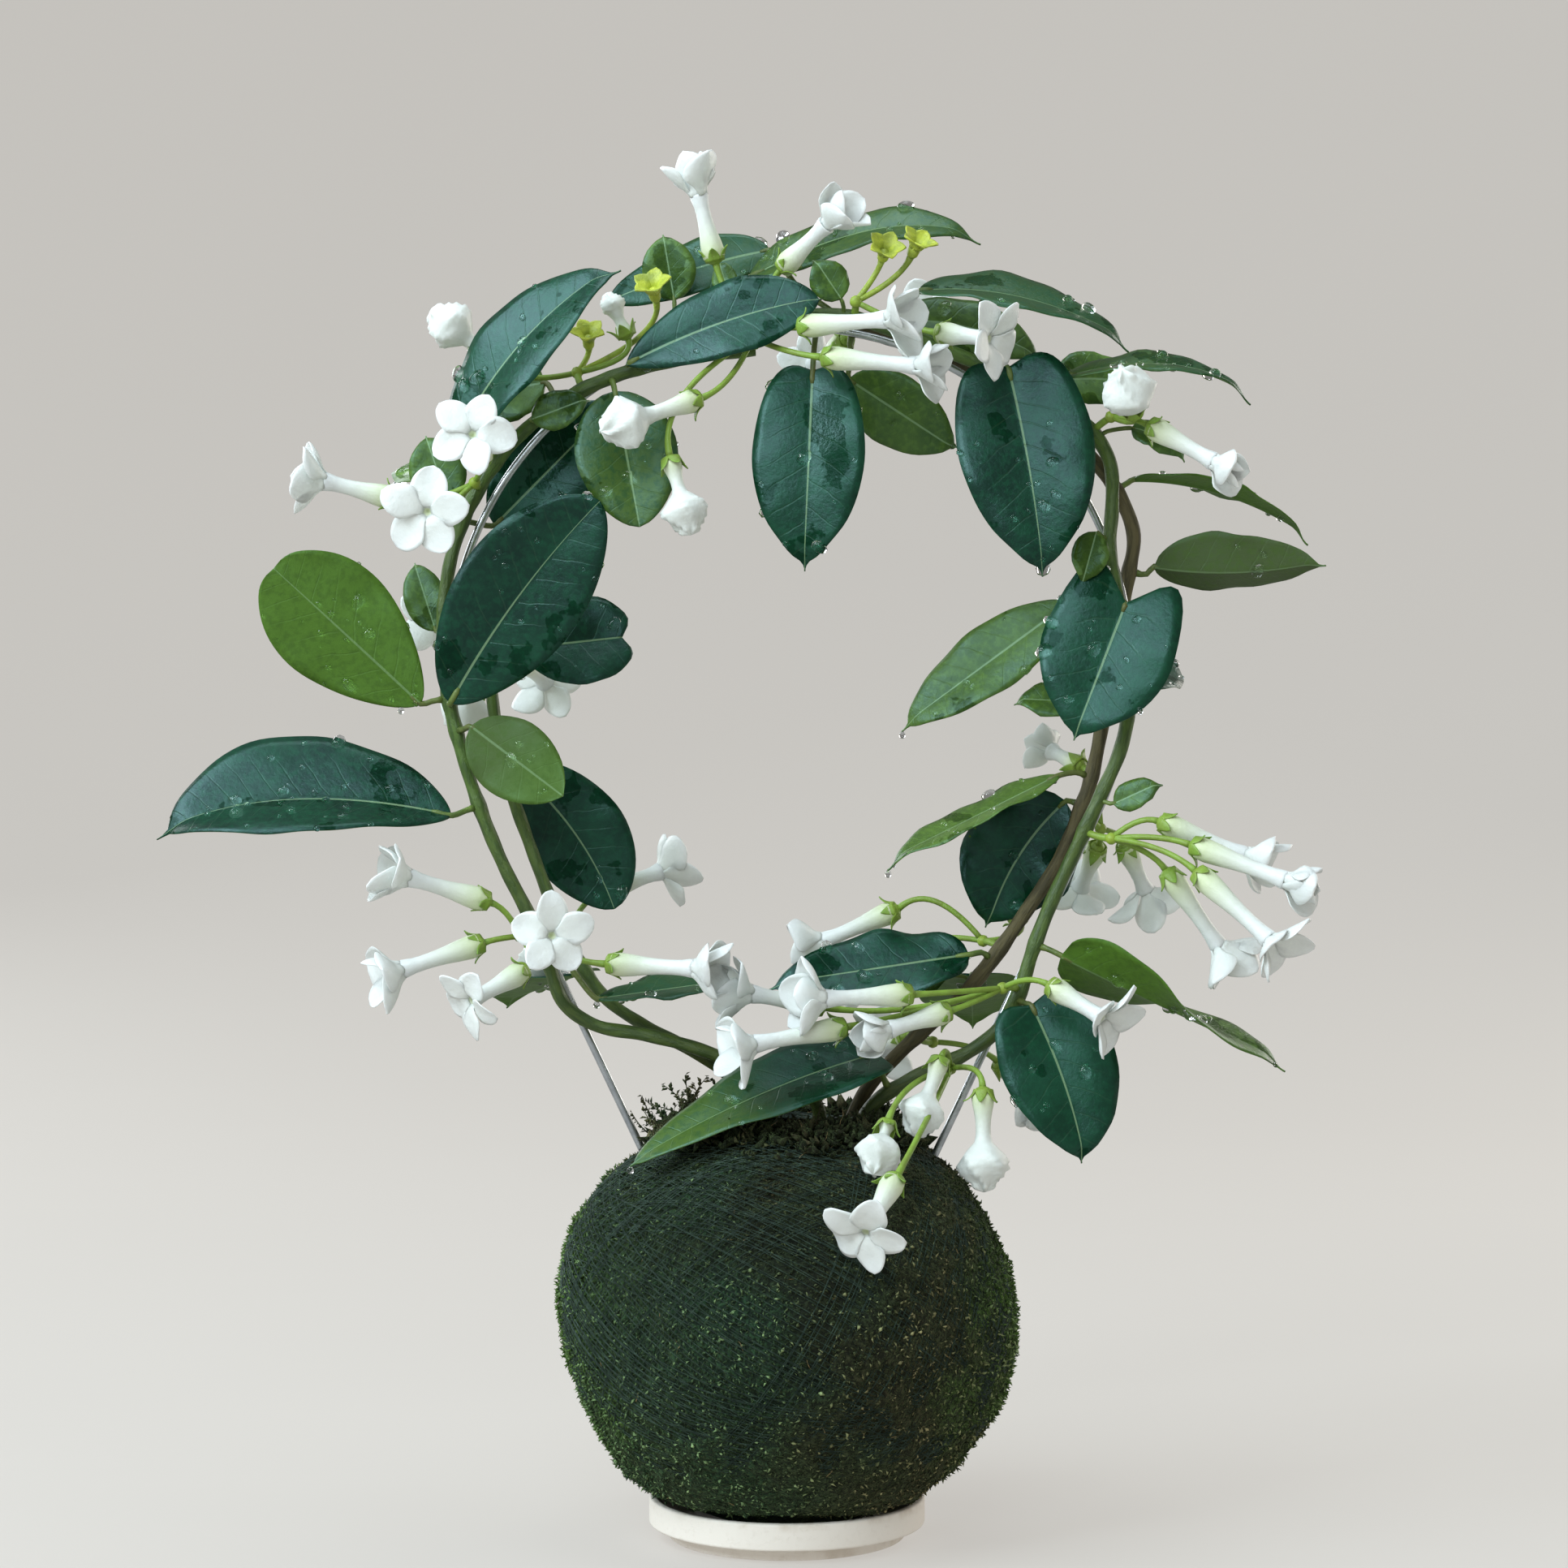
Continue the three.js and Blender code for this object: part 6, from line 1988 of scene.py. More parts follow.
@dataclass
class MossBall:
    """The moss and its soil."""

    plan: BallPlan = BALL
    columns: int = 200
    rows: int = 96
    skirt: float = 2.3
    rough: float = 1.5
    crumb: float = 2.2
    edge: float = 3.2

    def reach(self, polar: Array) -> Array:
        """Works out how far the surface lies from the ball's centre, flat on top and underneath.

        Args:
            polar: angles from straight up.

        Returns:
            The distances.
        """
        p = self.plan
        sine, cosine = np.sin(polar), np.cos(polar)
        round_reach = 1 / np.hypot(sine / p.radius, cosine / p.half_height)
        flat = np.where(cosine > 0, p.top - p.centre, p.centre - p.bottom)
        return np.minimum(round_reach, flat / np.maximum(np.abs(cosine), 1e-3))

    def lump(self, azimuth: Array, polar: Array) -> Array:
        """Returns the broad lumps of the moss."""
        wave = np.sin(3 * azimuth + 4 * polar) + 0.7 * np.sin(5 * azimuth - 3 * polar + 1)
        return self.plan.lump * np.sin(polar) * wave

    def shell(self, inset: float, rim_radius: float, rows: int, columns: int, rough: float) -> Array:
        """Returns rings of the ball's surface from its lowest point up to the edge of the opening.

        Args:
            inset: distance inside the moss's surface.
            rim_radius: radius of the opening.
            rows: number of rings.
            columns: points of each ring.
            rough: height of the small lumps.

        Returns:
            The rings, in millimetres from the frame's origin.
        """
        height = self.plan.top - inset - self.plan.centre
        rim = math.atan2(rim_radius, height)
        polar = np.linspace(math.pi - 0.012, rim, rows)[:, None]
        azimuth = circle(columns)[None]
        reach = self.reach(polar) - inset + 0 * azimuth
        fade = smooth(0.3, 0.55, math.pi - polar) * smooth(0.0, 0.12, polar - rim)
        if rough:
            foot = smooth(0.55, 0.68, math.pi - polar) * smooth(1.05, 0.72, math.pi - polar)
            reach = reach + fade * self.lump(azimuth, polar) + self.skirt * foot
        spot = self.spots(reach, azimuth, polar)
        if rough:
            reach = reach + rough * fade * rugged(spot, 0.09, 3) - 0.6 * rough * fade
            spot = self.spots(reach, azimuth, polar)
        return spot

    def spots(self, reach: Array, azimuth: Array, polar: Array) -> Array:
        """Returns points given by their distance, azimuth and polar angle from the ball's centre."""
        return round_ring(reach * np.sin(polar), azimuth, reach * np.cos(polar) + self.plan.centre)

    def build_soil(self, palette: Palette) -> Piece:
        """Makes the piece of the soil: the core and its crumbly top.

        Args:
            palette: materials.

        Returns:
            The piece.
        """
        draft = Draft()
        inset = self.plan.moss_thickness + CLEARANCE
        side = self.shell(inset, self.plan.soil_opening, 24, 72, 0.0)
        top = []
        for share in np.linspace(0.97, 0.02, 26):
            ring = round_ring(self.plan.soil_opening * share, circle(72), self.plan.soil_top)
            ring[:, 2] += self.crumb * rugged(ring[None], 0.22, 3)[0] * smooth(1.0, 0.85, share)
            top.append(ring)
        draft.loft(np.concatenate([side, np.array(top)]))
        return draft.piece("soil_core_crumbly", [palette.soil], Slot.SOIL, "soil_core")

    def build_moss(self, palette: Palette) -> Piece:
        """Makes the piece of the moss bed, open at the top.

        Args:
            palette: materials.

        Returns:
            The piece.
        """
        draft = Draft()
        outer = self.shell(0.0, self.plan.opening_radius + 3, self.rows, self.columns, self.rough)
        inner = self.shell(self.plan.moss_thickness, self.plan.soil_opening, 10, self.columns, 0.0)[::-1]
        edge = edge_rings(outer[-1], inner[0], self.edge, 7)
        draft.loft(np.concatenate([outer, edge, inner]))
        return draft.piece("moss_wrap_bed", [palette.moss_bed], Slot.MOSS, "moss_wrap")


def edge_rings(start: Array, end: Array, lift: float, count: int) -> Array:
    """Leads from one ring to another over a rounded edge.

    Args:
        start: first ring.
        end: last ring.
        lift: height of the edge.
        count: number of rings between them.

    Returns:
        The rings between them.
    """
    t = np.linspace(0, 1, count + 2)[1:-1, None, None]
    flat = start + (end - start) * t
    rise = lift * np.sin(math.pi * t)
    flat[..., 2] += rise[..., 0] + 1.3 * rugged(flat, 0.25, 3) * np.sin(math.pi * t)[..., 0]
    return flat


def rugged(points: Array, scale: float, octaves: int) -> Array:
    """Works out soft random heights, the same on each run.

    Args:
        points: an array of points along its last axis.
        scale: how often the lumps repeat, per millimetre.
        octaves: number of finer layers.

    Returns:
        A height of about -1 to 1 for each point.
    """
    flat = points.reshape(-1, 3) * scale
    heights = [noise.fractal(Vector(p), 1.0, 2.0, octaves) for p in flat]
    return np.array(heights).reshape(points.shape[:-1])


# Geometry Nodes


class Growth(Sheet):
    """A Geometry Nodes tree with named number inputs."""

    def __init__(self, name: str, inputs: dict[str, float]) -> None:
        """Starts the tree.

        Args:
            name: name of the tree.
            inputs: value of each number input, by name.
        """
        super().__init__(bpy.data.node_groups.new(name, "GeometryNodeTree"))
        face = self.tree.interface
        face.new_socket("Geometry", in_out="INPUT", socket_type="NodeSocketGeometry")
        face.new_socket("Geometry", in_out="OUTPUT", socket_type="NodeSocketGeometry")
        self.numbers = inputs
        self.ids: dict[str, str] = {}
        for label in inputs:
            self.ids[label] = face.new_socket(label, in_out="INPUT", socket_type=FLOAT).identifier
        self.given = self.add("NodeGroupInput").outputs
        self.out = self.add("NodeGroupOutput").inputs

    def random(self, low: Any, high: Any, seed: int) -> Socket:
        """Draws a random number for each point or copy.

        Args:
            low: least number.
            high: greatest number.
            seed: seed of the draw.

        Returns:
            The number.
        """
        made = self.add("FunctionNodeRandomValue", data_type="FLOAT")
        floats = [s for s in made.inputs if s.name in ("Min", "Max") and s.type == "VALUE"]
        self.feed(floats[0], low)
        self.feed(floats[1], high)
        self.feed(made.inputs["Seed"], seed)
        return next(s for s in made.outputs if s.type == "VALUE")

    def end(self, geometry: Socket, material: Material) -> None:
        """Ends the tree in real copies and a material.

        Args:
            geometry: the copies.
            material: their material.
        """
        real = self.node("GeometryNodeRealizeInstances", {"Geometry": geometry}).outputs[0]
        dressed = self.node("GeometryNodeSetMaterial", {"Geometry": real, "Material": material}).outputs[0]
        self.feed(self.out["Geometry"], dressed)

    def grow(self, host: Mesh, name: str) -> Piece:
        """Runs the tree on a mesh.

        Args:
            host: the mesh.
            name: name of the result.

        Returns:
            The result as a plain piece.
        """
        carrier = placed(f"{name}_host", host)
        modifier = carrier.modifiers.new("growth", "NODES")
        modifier.node_group = self.tree
        for label, value in self.numbers.items():
            modifier[self.ids[label]] = float(value)
        bpy.context.view_layer.update()
        evaluated = carrier.evaluated_get(bpy.context.evaluated_depsgraph_get())
        mesh = bpy.data.meshes.new_from_object(evaluated)
        mesh.name = name
        carrier.modifiers.clear()
        bpy.data.objects.remove(carrier)
        return placed(name, soften(mesh))


def pattern_object(name: str, draft: Draft) -> Piece:
    """Returns a hidden object that a tree copies. It is removed before the scene is finished."""
    return bpy.data.objects.new(name, mesh_of(name, np.concatenate(draft.vertices), draft.faces))


def fibre_pattern(length: float, width: float, bend: float) -> Piece:
    """Makes one bent fibre that stands on its foot along +Z and thins to a point.

    Args:
        length: its length.
        width: radius of its foot.
        bend: how far it bends.

    Returns:
        The form.
    """
    t = np.linspace(0, 1, 4)
    path = np.stack([bend * length * t * t, 0 * t, length * (t - 0.2 * bend * t * t)], axis=1)
    draft = Draft()
    draft.tube(path, width * np.array([1.0, 0.9, 0.6, 0.12]), 3)
    return pattern_object("fibre", draft)


FLAKE_FACES = ((0, 3, 1), (0, 2, 3), (0, 1, 2), (3, 2, 1))


def flake_pattern(length: float, width: float) -> Piece:
    """Makes one small pointed leaf that stands on its foot along +Z, folded and closed.

    Args:
        length: its length.
        width: half of its width.

    Returns:
        The form.
    """
    rise = 0.2 * length
    middle = 0.45 * length
    points = np.array([(0, 0, 0), (-width, rise, middle), (width, rise, middle), (0, 0, length)])
    draft = Draft()
    draft.add(points, FLAKE_FACES)
    return pattern_object("flake", draft)


def sprig_pattern(length: float, seed: int) -> Piece:
    """Makes one sprig of moss along +Z: a bent stem set with small leaves.

    Args:
        length: its length.
        seed: seed of its leaves.

    Returns:
        The form.
    """
    draw = np.random.default_rng(seed)
    t = np.linspace(0, 1, 7)
    path = np.stack([0.35 * length * t * t, 0.1 * length * np.sin(3 * t), length * t], axis=1)
    draft = Draft()
    draft.tube(path, 0.3 * (1.1 - 0.7 * t), 3)
    for share in np.linspace(0.1, 1.0, 17):
        foot = np.array([np.interp(share, t, path[:, k]) for k in range(3)])
        turn = draw.uniform(0, 2 * math.pi)
        out = np.array([math.cos(turn), math.sin(turn), draw.uniform(0.4, 1.3)])
        side = across_of(np.array([-math.sin(turn), math.cos(turn), 0.2]), unit(out))
        long = draw.uniform(0.11, 0.22) * length
        tip = foot + unit(out) * long
        middle = (foot + tip) / 2
        middle = middle + np.cross(unit(out), side) * 0.25
        wide = side * 0.055 * length
        draft.add(np.array([foot, middle - wide, middle + wide, tip]), FLAKE_FACES)
    return pattern_object("sprig", draft)


@dataclass
class Scatter:
    """Copies of a small form spread over a surface, each with a tint of its own."""

    name: str
    density: float
    least: float
    greatest: float
    aside: float
    outward: float
    seed: int
    skew: float = 1.0
    darkest: float = 0.0
    brightest: float = 1.0

    def tree(self, form: Piece, material: Material, hold: Callable[[Growth], Socket]) -> Growth:
        """Builds the tree.

        Args:
            form: the small form.
            material: its material.
            hold: gives a share of 0 to 1 by which the density varies over the surface.

        Returns:
            The tree, ready to grow.
        """
        fields = ("density", "least", "greatest", "aside", "outward", "skew", "darkest", "brightest")
        growth = Growth(f"{self.name}_growth", {label: getattr(self, label) for label in fields})
        given = growth.given
        spread = growth.node("GeometryNodeDistributePointsOnFaces", {
            "Mesh": given["Geometry"], "Density": growth.times(given["density"], hold(growth)),
            "Seed": self.seed,
        })
        heading = self.heading(growth, spread)
        turn = growth.node("FunctionNodeAlignRotationToVector", {"Vector": heading}, axis="Z")
        spin = growth.node("FunctionNodeRotateRotation", {0: turn.outputs[0], 1: self.spin(growth)},
                           rotation_space="LOCAL")
        info = growth.node("GeometryNodeObjectInfo", {"Object": form})
        copies = growth.node("GeometryNodeInstanceOnPoints", {
            "Points": spread.outputs["Points"], "Instance": info.outputs["Geometry"],
            "Rotation": spin.outputs[0],
            "Scale": growth.random(given["least"], given["greatest"], self.seed + 1),
        })
        drawn = growth.math("POWER", growth.random(0.0, 1.0, self.seed + 2), given["skew"])
        reach = growth.math("SUBTRACT", given["brightest"], given["darkest"])
        tinted = growth.node("GeometryNodeStoreNamedAttribute", {
            "Geometry": copies.outputs[0], "Name": "tint",
            "Value": growth.line(drawn, reach, given["darkest"]),
        }, data_type="FLOAT", domain="INSTANCE")
        growth.end(tinted.outputs[0], material)
        return growth

    def heading(self, growth: Growth, spread: Node) -> Socket:
        """Points each copy partly outwards and partly along the surface at random.

        Args:
            growth: the tree.
            spread: node that spreads the points.

        Returns:
            The way each copy points.
        """
        drawn = growth.add("FunctionNodeRandomValue", data_type="FLOAT_VECTOR")
        growth.feed(drawn.inputs[0], (-1.0, -1.0, -1.0))
        growth.feed(drawn.inputs[1], (1.0, 1.0, 1.0))
        growth.feed(drawn.inputs["Seed"], self.seed + 3)
        normal = spread.outputs["Normal"]
        share = growth.vector("DOT_PRODUCT", drawn.outputs[0], normal)
        flat = growth.vector("SUBTRACT", drawn.outputs[0], growth.vector("SCALE", normal, scale=share))
        along = growth.vector("SCALE", growth.vector("NORMALIZE", flat), scale=growth.given["aside"])
        return growth.vector("ADD", along, growth.vector("SCALE", normal, scale=growth.given["outward"]))

    def spin(self, growth: Growth) -> Socket:
        """Turns each copy about its own axis at random.

        Args:
            growth: the tree.

        Returns:
            The turn.
        """
        axis = growth.add("ShaderNodeCombineXYZ")
        growth.feed(axis.inputs["Z"], growth.random(0.0, 6.283, self.seed + 4))
        return growth.node("FunctionNodeEulerToRotation", {0: axis.outputs[0]}).outputs[0]

    def grow(self, host: Mesh, form: Piece, material: Material,
             hold: Callable[[Growth], Socket]) -> Piece:
        """Grows the copies on a mesh.

        Args:
            host: the mesh.
            form: the small form.
            material: its material.
            hold: gives the share by which the density varies.

        Returns:
            The copies as one piece.
        """
        bpy.context.scene.collection.objects.link(form)
        piece = self.tree(form, material, hold).grow(host, self.name)
        bpy.data.objects.remove(form)
        return piece


@dataclass
class MossCover:
    """What stands out of the moss bed: leaflets, tufts, flecks, straw, sprigs and peat."""

    bed: Piece
    palette: Palette

    def build(self) -> None:
        """Makes the pieces and ties them to the frame.

        Each row holds a Scatter (its density a square metre, least and greatest scale, lean aside and
        outwards, seed, and how its tints are spread), its small form, its material and its region.
        """
        moss, straw = self.palette.moss, self.palette.straw
        jobs = (
            (Scatter("moss_leaflets_low", 280e3, 0.5, 1.2, 1.0, 0.12, 11, 2.0, 0.0, 0.62),
             flake_pattern(2.0, 0.42), moss, above_saucer),
            (Scatter("moss_leaflets_high", 260e3, 0.4, 1.1, 1.0, 0.2, 31, 2.2, 0.1, 0.86),
             flake_pattern(1.7, 0.36), moss, above_saucer),
            (Scatter("moss_flecks", 125e3, 0.4, 1.35, 1.0, 0.16, 51, 1.7, 0.55, 1.0),
             flake_pattern(2.0, 0.5), moss, above_saucer),
            (Scatter("moss_tufts", 330e3, 0.4, 1.2, 0.8, 1.0, 61, 1.2, 0.3, 0.85),
             flake_pattern(2.3, 0.4), moss, both_sides),
            (Scatter("moss_straw", 1.5e3, 0.4, 1.0, 1.0, 0.2, 71),
             fibre_pattern(4.0, 0.24, 0.3), straw, above_saucer),
            (Scatter("peat_crumbs", 800e3, 0.6, 2.6, 0.8, 1.0, 91, 1.6, 0.0, 0.75),
             flake_pattern(3.2, 0.8), moss, near_rim),
            (Scatter("moss_sprigs", 40e3, 0.4, 1.3, 0.8, 1.0, 101, 1.0, 0.2, 0.8),
             sprig_pattern(10.0, 5), moss, near_rim),
            (Scatter("moss_sprigs_left", 60e3, 0.6, 1.35, 0.7, 1.0, 121, 1.0, 0.3, 0.8),
             sprig_pattern(13.0, 9), moss, left_rim),
            (Scatter("peat_rootlets", 26e3, 0.4, 1.2, 1.0, 0.8, 111),
             fibre_pattern(8.0, 0.16, 0.6), straw, near_rim),
        )
        for scatter, form, material, hold in jobs:
            tie(scatter.grow(self.bed.data, form, material, hold), Slot.MOSS)


def axis_share(growth: Growth, axis: str, low: float, high: float, first: float, last: float) -> Socket:
    """Returns a share that goes from one value to another along an axis.

    Args:
        growth: the tree.
        axis: X, Y or Z.
        low: place where the change starts, in metres.
        high: place where it ends.
        first: share at the start.
        last: share at the end.

    Returns:
        The share.
    """
    place = growth.add("GeometryNodeInputPosition").outputs[0]
    parts = growth.node("ShaderNodeSeparateXYZ", {0: place})
    values = dict(enumerate((parts.outputs[axis], low, high, first, last)))
    return growth.node("ShaderNodeMapRange", values).outputs[0]


def above_saucer(growth: Growth) -> Socket:
    """Returns a share that is 0 on the underside that rests in the saucer and 1 above it."""
    return axis_share(growth, "Z", 0.0135, 0.0145, 0.0, 1.0)


def both_sides(growth: Growth) -> Socket:
    """Returns a share that is highest at the left and right of the ball, where the moss colour carries a
    painted rim light.
    """
    sides = (-0.072, -0.04, 1.0, 0.08), (0.046, 0.074, 0.08, 0.8)
    return growth.times(growth.math("MAXIMUM", *(axis_share(growth, "X", *side) for side in sides)),
                        above_saucer(growth))


def near_rim(growth: Growth) -> Socket:
    """Returns a share that is 1 round the opening at the top of the ball and 0 elsewhere."""
    return axis_share(growth, "Z", 0.137, 0.144, 0.0, 1.0)


def left_rim(growth: Growth) -> Socket:
    """Keeps to the left of the opening's rim, behind its front.

    Args:
        growth: the tree.

    Returns:
        The share.
    """
    left = axis_share(growth, "X", -0.028, -0.016, 1.0, 0.0)
    behind = axis_share(growth, "Y", -0.018, -0.006, 0.0, 1.0)
    return growth.times(near_rim(growth), growth.times(left, behind))


@dataclass
class Winding:
    """The dark thread wound round the ball: sets of nearly parallel turns laid on the moss."""

    sets: int = 8
    turns: int = 24
    steps: int = 76
    spread: float = 0.3
    radius: float = 0.16
    sunk: float = 0.9
    lift: float = 1.2
    lit_side: Point = (-0.5, -0.75, 0.42)
    seed: int = 7

    def build(self, ball: MossBall, palette: Palette) -> Piece:
        """Makes the piece of the thread.

        Args:
            ball: the ball.
            palette: materials.

        Returns:
            The piece.
        """
        draw = np.random.default_rng(self.seed)
        draft = Draft()
        for k in range(self.sets):
            azimuth = 2 * math.pi * (k * 0.382 + 0.05 * draw.uniform(-1, 1))
            tilt = draw.uniform(0.35, 1.2)
            for shift in np.linspace(-self.spread, self.spread, self.turns):
                around = azimuth + draw.normal(0, 0.012)
                lean = tilt + draw.normal(0, 0.012)
                self.add_turn(draft, *self.turn(ball, around, lean, shift + draw.normal(0, 0.006)))
        return draft.piece("thread_winding_fine", [palette.thread], Slot.THREAD, "thread_winding")

    def turn(self, ball: MossBall, azimuth: float, tilt: float, aside: float) -> tuple[Array, Array]:
        """Lays one turn on the ball.

        Args:
            ball: the ball.
            azimuth: direction of the line about which the turn is tilted.
            tilt: its tilt from level.
            aside: how far it lies to one side of the ball's middle.

        Returns:
            The turn's points and the way outwards at each.
        """
        along = circle(self.steps)
        across = np.array([math.cos(azimuth), math.sin(azimuth), 0.0])
        level = np.array([-math.sin(azimuth), math.cos(azimuth), 0.0])
        pole = math.cos(tilt) * np.array([0, 0, 1.0]) + math.sin(tilt) * level
        other = np.cross(pole, across)
        outward = unit(np.cos(along)[:, None] * across + np.sin(along)[:, None] * other + aside * pole)
        polar = np.arccos(np.clip(outward[:, 2], -1, 1))
        around = np.arctan2(outward[:, 1], outward[:, 0])
        shown = smooth(0.55, 0.95, outward @ unit(vec(self.lit_side)))
        rise = (self.lift * shown - self.sunk * (1 - shown)) * smooth(0.25, 0.6, math.pi - polar)
        reach = ball.reach(polar) + ball.lump(around, polar) + rise
        return outward * reach[:, None] + np.array([0, 0, ball.plan.centre]), outward

    def add_turn(self, draft: Draft, line: Array, outward: Array) -> None:
        """Adds one closed turn of thread.

        Args:
            draft: draft of the piece.
            line: the turn's points.
            outward: the way outwards at each.
        """
        tangent = unit(np.roll(line, -1, axis=0) - np.roll(line, 1, axis=0))
        out = across_of(outward, tangent)
        side = np.cross(tangent, out)
        draft.loft(line[:, None] + self.radius * spokes(3, out, side), closed=True)


@dataclass
class Water:
    """Drops that lie on the leaves and hang under the lowest point of some of them."""

    leaves: list[Piece]
    density: float = 8.5e3
    seed: int = 17
    dripping: tuple[str, ...] = (
        "right_olive", "right_drip", "left_pale", "crown_olive", "low_left_long", "over_ball",
    )

    def wet_skin(self) -> Mesh:
        """Gathers the blades of the leaves, apart from their margins.

        Returns:
            One mesh of them all.
        """
        points: list[Array] = []
        faces: list[tuple[int, ...]] = []
        count = 0
        for leaf in self.leaves:
            mesh = leaf.data
            total = len(mesh.vertices)
            place = np.empty(total * 3, np.float32)
            mesh.vertices.foreach_get("co", place)
            under = np.empty(total, np.float32)
            mesh.attributes["under"].data.foreach_get("value", under)
            for face in mesh.polygons:
                corners = tuple(face.vertices)
                level = under[list(corners)]
                if face.material_index == 0 and len(corners) == 4 and level.max() == level.min():
                    faces.append(tuple(count + k for k in corners))
            points.append(place.reshape(-1, 3))
            count += total
        skin = bpy.data.meshes.new("wet_skin")
        skin.from_pydata(np.concatenate(points).tolist(), [], faces)
        return skin

    def drop_pattern(self) -> Piece:
        """Makes one flat dome of water, a little longer than wide.

        Returns:
            The form.
        """
        draft = Draft()
        profile = [(-0.1, 0.02), (-0.1, 0.85), (0.12, 1.0), (0.55, 0.9), (0.85, 0.55), (0.96, 0.03)]
        angles = circle(9)
        shape = 1 + 0.12 * np.sin(2 * angles) + 0.06 * np.sin(3 * angles + 1)
        rows = np.array(profile)
        rings = round_ring(rows[:, 1:2] * shape, angles, rows[:, :1])
        draft.loft(rings * np.array([1.25, 1.0, 1.0]))
        return pattern_object("drop", draft)

    def build(self, palette: Palette) -> None:
        """Makes the drops and ties them to the frame.

        Args:
            palette: materials.
        """
        skin = self.wet_skin()
        sizes = (("water_drops", self.density, 0.4, 1.2), ("water_beads", self.density * 0.5, 1.2, 2.7))
        for place, (name, density, least, greatest) in enumerate(sizes):
            scatter = Scatter(name, density, least, greatest, 0.0, 1.0, self.seed + 20 * place)
            grown = scatter.grow(skin, self.drop_pattern(), palette.water, patchy)
            grown.visible_shadow = False
            tie(grown, Slot.DARK_LEAF)
        self.hang(palette)

    def hang(self, palette: Palette) -> None:
        """Hangs one drop under the lowest point of some leaves.

        Args:
            palette: materials.
        """
        draft = Draft()
        rise = np.array([1.5, 1.2, 0.7, 0.0, -0.7, -1.2, -1.4])
        reach = np.array([0.05, 0.45, 0.9, 1.25, 1.1, 0.6, 0.05])
        for leaf in self.leaves:
            if not any(name in leaf.name for name in self.dripping):
                continue
            low = min((v.co for v in leaf.data.vertices), key=lambda spot: spot.z)
            centre = np.array(low) / MM - (0, 0, 0.9)
            draft.loft(centre + round_ring(reach[::-1, None], circle(14), rise[::-1, None]))
        drops = draft.piece("water_hanging", [palette.water], Slot.DARK_LEAF)
        drops.visible_shadow = False


def patchy(growth: Growth) -> Socket:
    """Gathers drops in patches.

    Args:
        growth: the tree.

    Returns:
        The share.
    """
    value = growth.noise(growth.add("GeometryNodeInputPosition").outputs[0], 30.0, 1.0)
    return growth.node("ShaderNodeMapRange", dict(enumerate((value, 0.38, 0.66, 0.1, 1.0)))).outputs[0]


# Studio


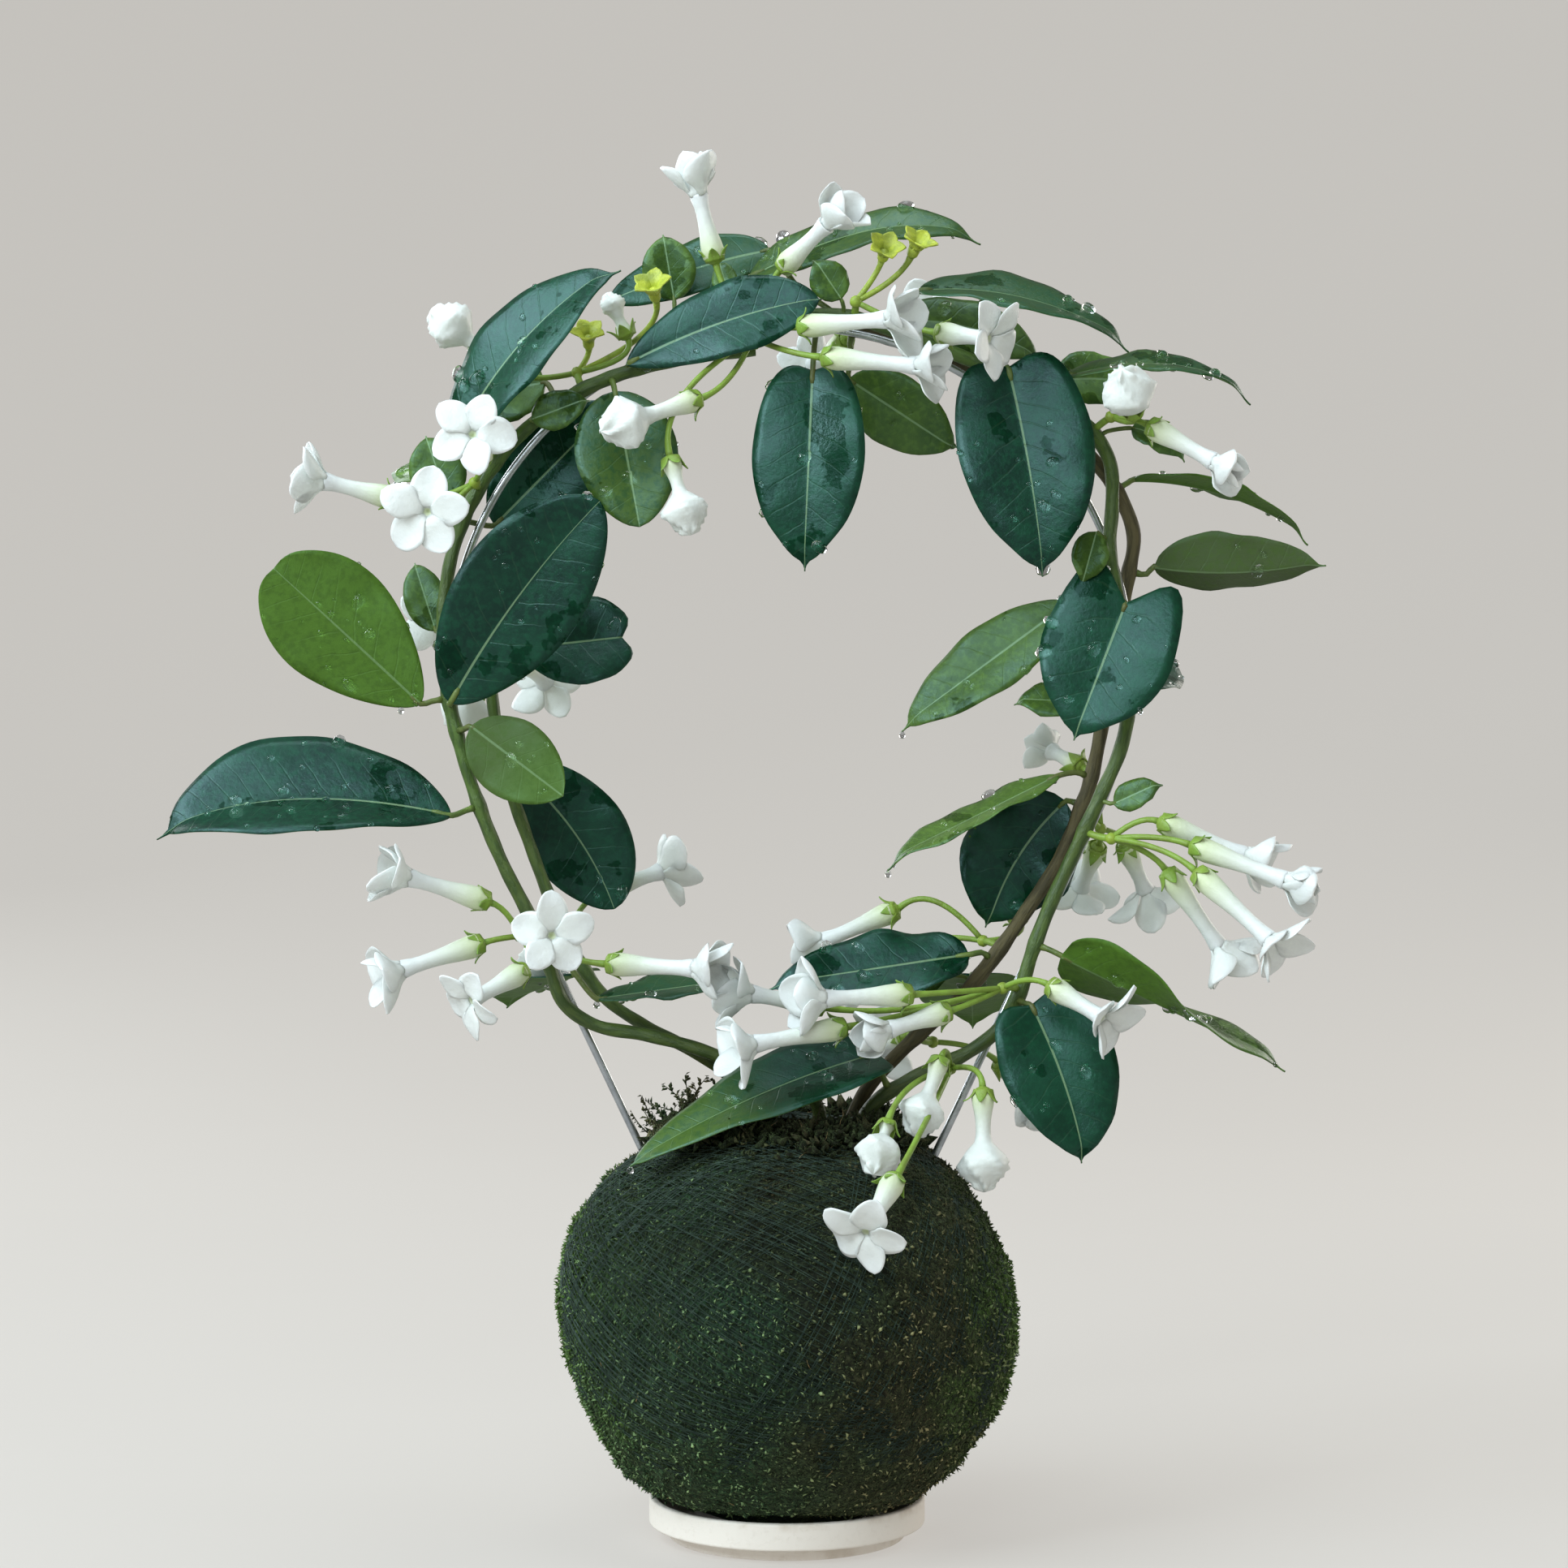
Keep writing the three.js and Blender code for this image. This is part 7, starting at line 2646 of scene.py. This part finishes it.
@dataclass
class Studio:
    """Plain pale floor and backdrop, soft light from the left and the camera of the photograph."""

    distance: float = 1.160
    camera_height: float = 0.264
    lens: float = 75.6
    sensor: float = 36.0
    floor_radius: float = 1.3
    floor_height: float = -0.0002
    sweep: float = 2.3
    wall_height: float = 3.6
    sides: int = 96
    room: Colour = (0.8, 0.84, 0.88)
    room_light: float = 0.18

    def camera(self) -> None:
        """Adds the camera."""
        data = bpy.data.cameras.new("view")
        data.lens, data.sensor_width = self.lens, self.sensor
        camera = placed("view", data)
        camera.location = (-0.001, -self.distance, self.camera_height)
        camera.rotation_euler = (math.pi / 2, 0.0, 0.0)
        bpy.context.scene.camera = camera

    def floor(self, palette: Palette) -> None:
        """Adds a floor that curves up into a backdrop all round.

        Args:
            palette: materials.
        """
        profile = [(0.02, self.floor_height), (self.floor_radius, self.floor_height)]
        for bend in np.linspace(0, math.pi / 2, 24)[1:]:
            rise = self.sweep * (1 - math.cos(bend))
            profile.append((self.floor_radius + math.sin(bend) * self.sweep, rise))
        profile.append((self.floor_radius + self.sweep, self.wall_height))
        rows = np.array(profile) * 1000
        rings = round_ring(rows[:, :1], circle(self.sides), rows[:, 1:2])
        draft = Draft()
        draft.loft(rings)
        mesh = mesh_of("backdrop", rings, draft.faces[:-1])
        mesh.materials.append(palette.studio)
        placed("backdrop", mesh)

    def lamp(self, name: str, place: Point, size: float, power: float, tone: Colour) -> None:
        """Adds one soft lamp that points at the plant.

        Args:
            name: its name.
            place: its place, in metres.
            size: length of its side.
            power: its power in watts.
            tone: its colour.
        """
        data = bpy.data.lights.new(name, "AREA")
        data.size, data.energy, data.color = size, power, tone
        lamp = placed(name, data)
        lamp.location = place
        aim = Vector((0.0, 0.0, 0.25)) - Vector(place)
        lamp.rotation_euler = aim.to_track_quat("-Z", "Y").to_euler()

    def light(self) -> None:
        """Adds the lamps and the pale surroundings."""
        self.lamp("window", (-1.25, -0.75, 1.35), 1.3, 36.0, (0.78, 0.92, 1.0))
        self.lamp("window_pane", (-1.1, -1.2, 1.1), 0.22, 5.0, (0.9, 0.97, 1.0))
        self.lamp("high_window", (-0.2, -1.45, 1.1), 0.7, 9.0, (0.8, 0.93, 1.0))
        self.lamp("skylight", (0.0, -0.1, 1.9), 0.9, 11.0, (0.86, 0.95, 1.0))
        self.lamp("rim", (-1.1, 1.4, 0.9), 1.0, 12.0, (0.92, 0.97, 1.0))
        self.lamp("rim_warm", (1.4, 1.2, 0.8), 1.0, 13.0, (1.0, 0.94, 0.86))
        world = bpy.data.worlds.new("pale_room")
        world.use_nodes = True
        background = next(n for n in world.node_tree.nodes if n.type == "BACKGROUND")
        background.inputs[0].default_value = (*self.room, 1.0)
        background.inputs[1].default_value = self.room_light
        bpy.context.scene.world = world
        bpy.context.scene.view_settings.view_transform = "Standard"


def main() -> None:
    """Builds the plant piece by piece."""
    logging.basicConfig(level=logging.INFO, format="%(message)s")
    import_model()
    palette = Palette()
    studio = Studio()
    studio.camera()
    studio.floor(palette)
    studio.light()

    Saucer().build(palette)
    ball = MossBall()
    ball.build_soil(palette)
    bed = ball.build_moss(palette)
    MossCover(bed, palette).build()
    Winding().build(ball, palette)
    Hoop().build(palette)

    vine = Vine()
    knots: dict[str, list[Array]] = {name: [] for name in STEMS}
    blades = []
    for place, (name, plan) in enumerate(LEAVES.items()):
        leaf = Leaf(plan, vine, seed=(place * 0.618) % 1.0)
        blades.append(leaf.build(name, palette))
        knots[plan.stem].append(leaf.stalk()[0])
    for name, plan in BUNCHES.items():
        Bunch(name, plan, vine).build(palette)
        knots[plan.stem].append(vine.seat(plan.stem, plan.near or plan.hub, vec(plan.hub))[0])
    for name in STEMS:
        Stem(name, vine, knots[name]).build(palette)
    Water(blades).build(palette)


if __name__ == "__main__":
    main()
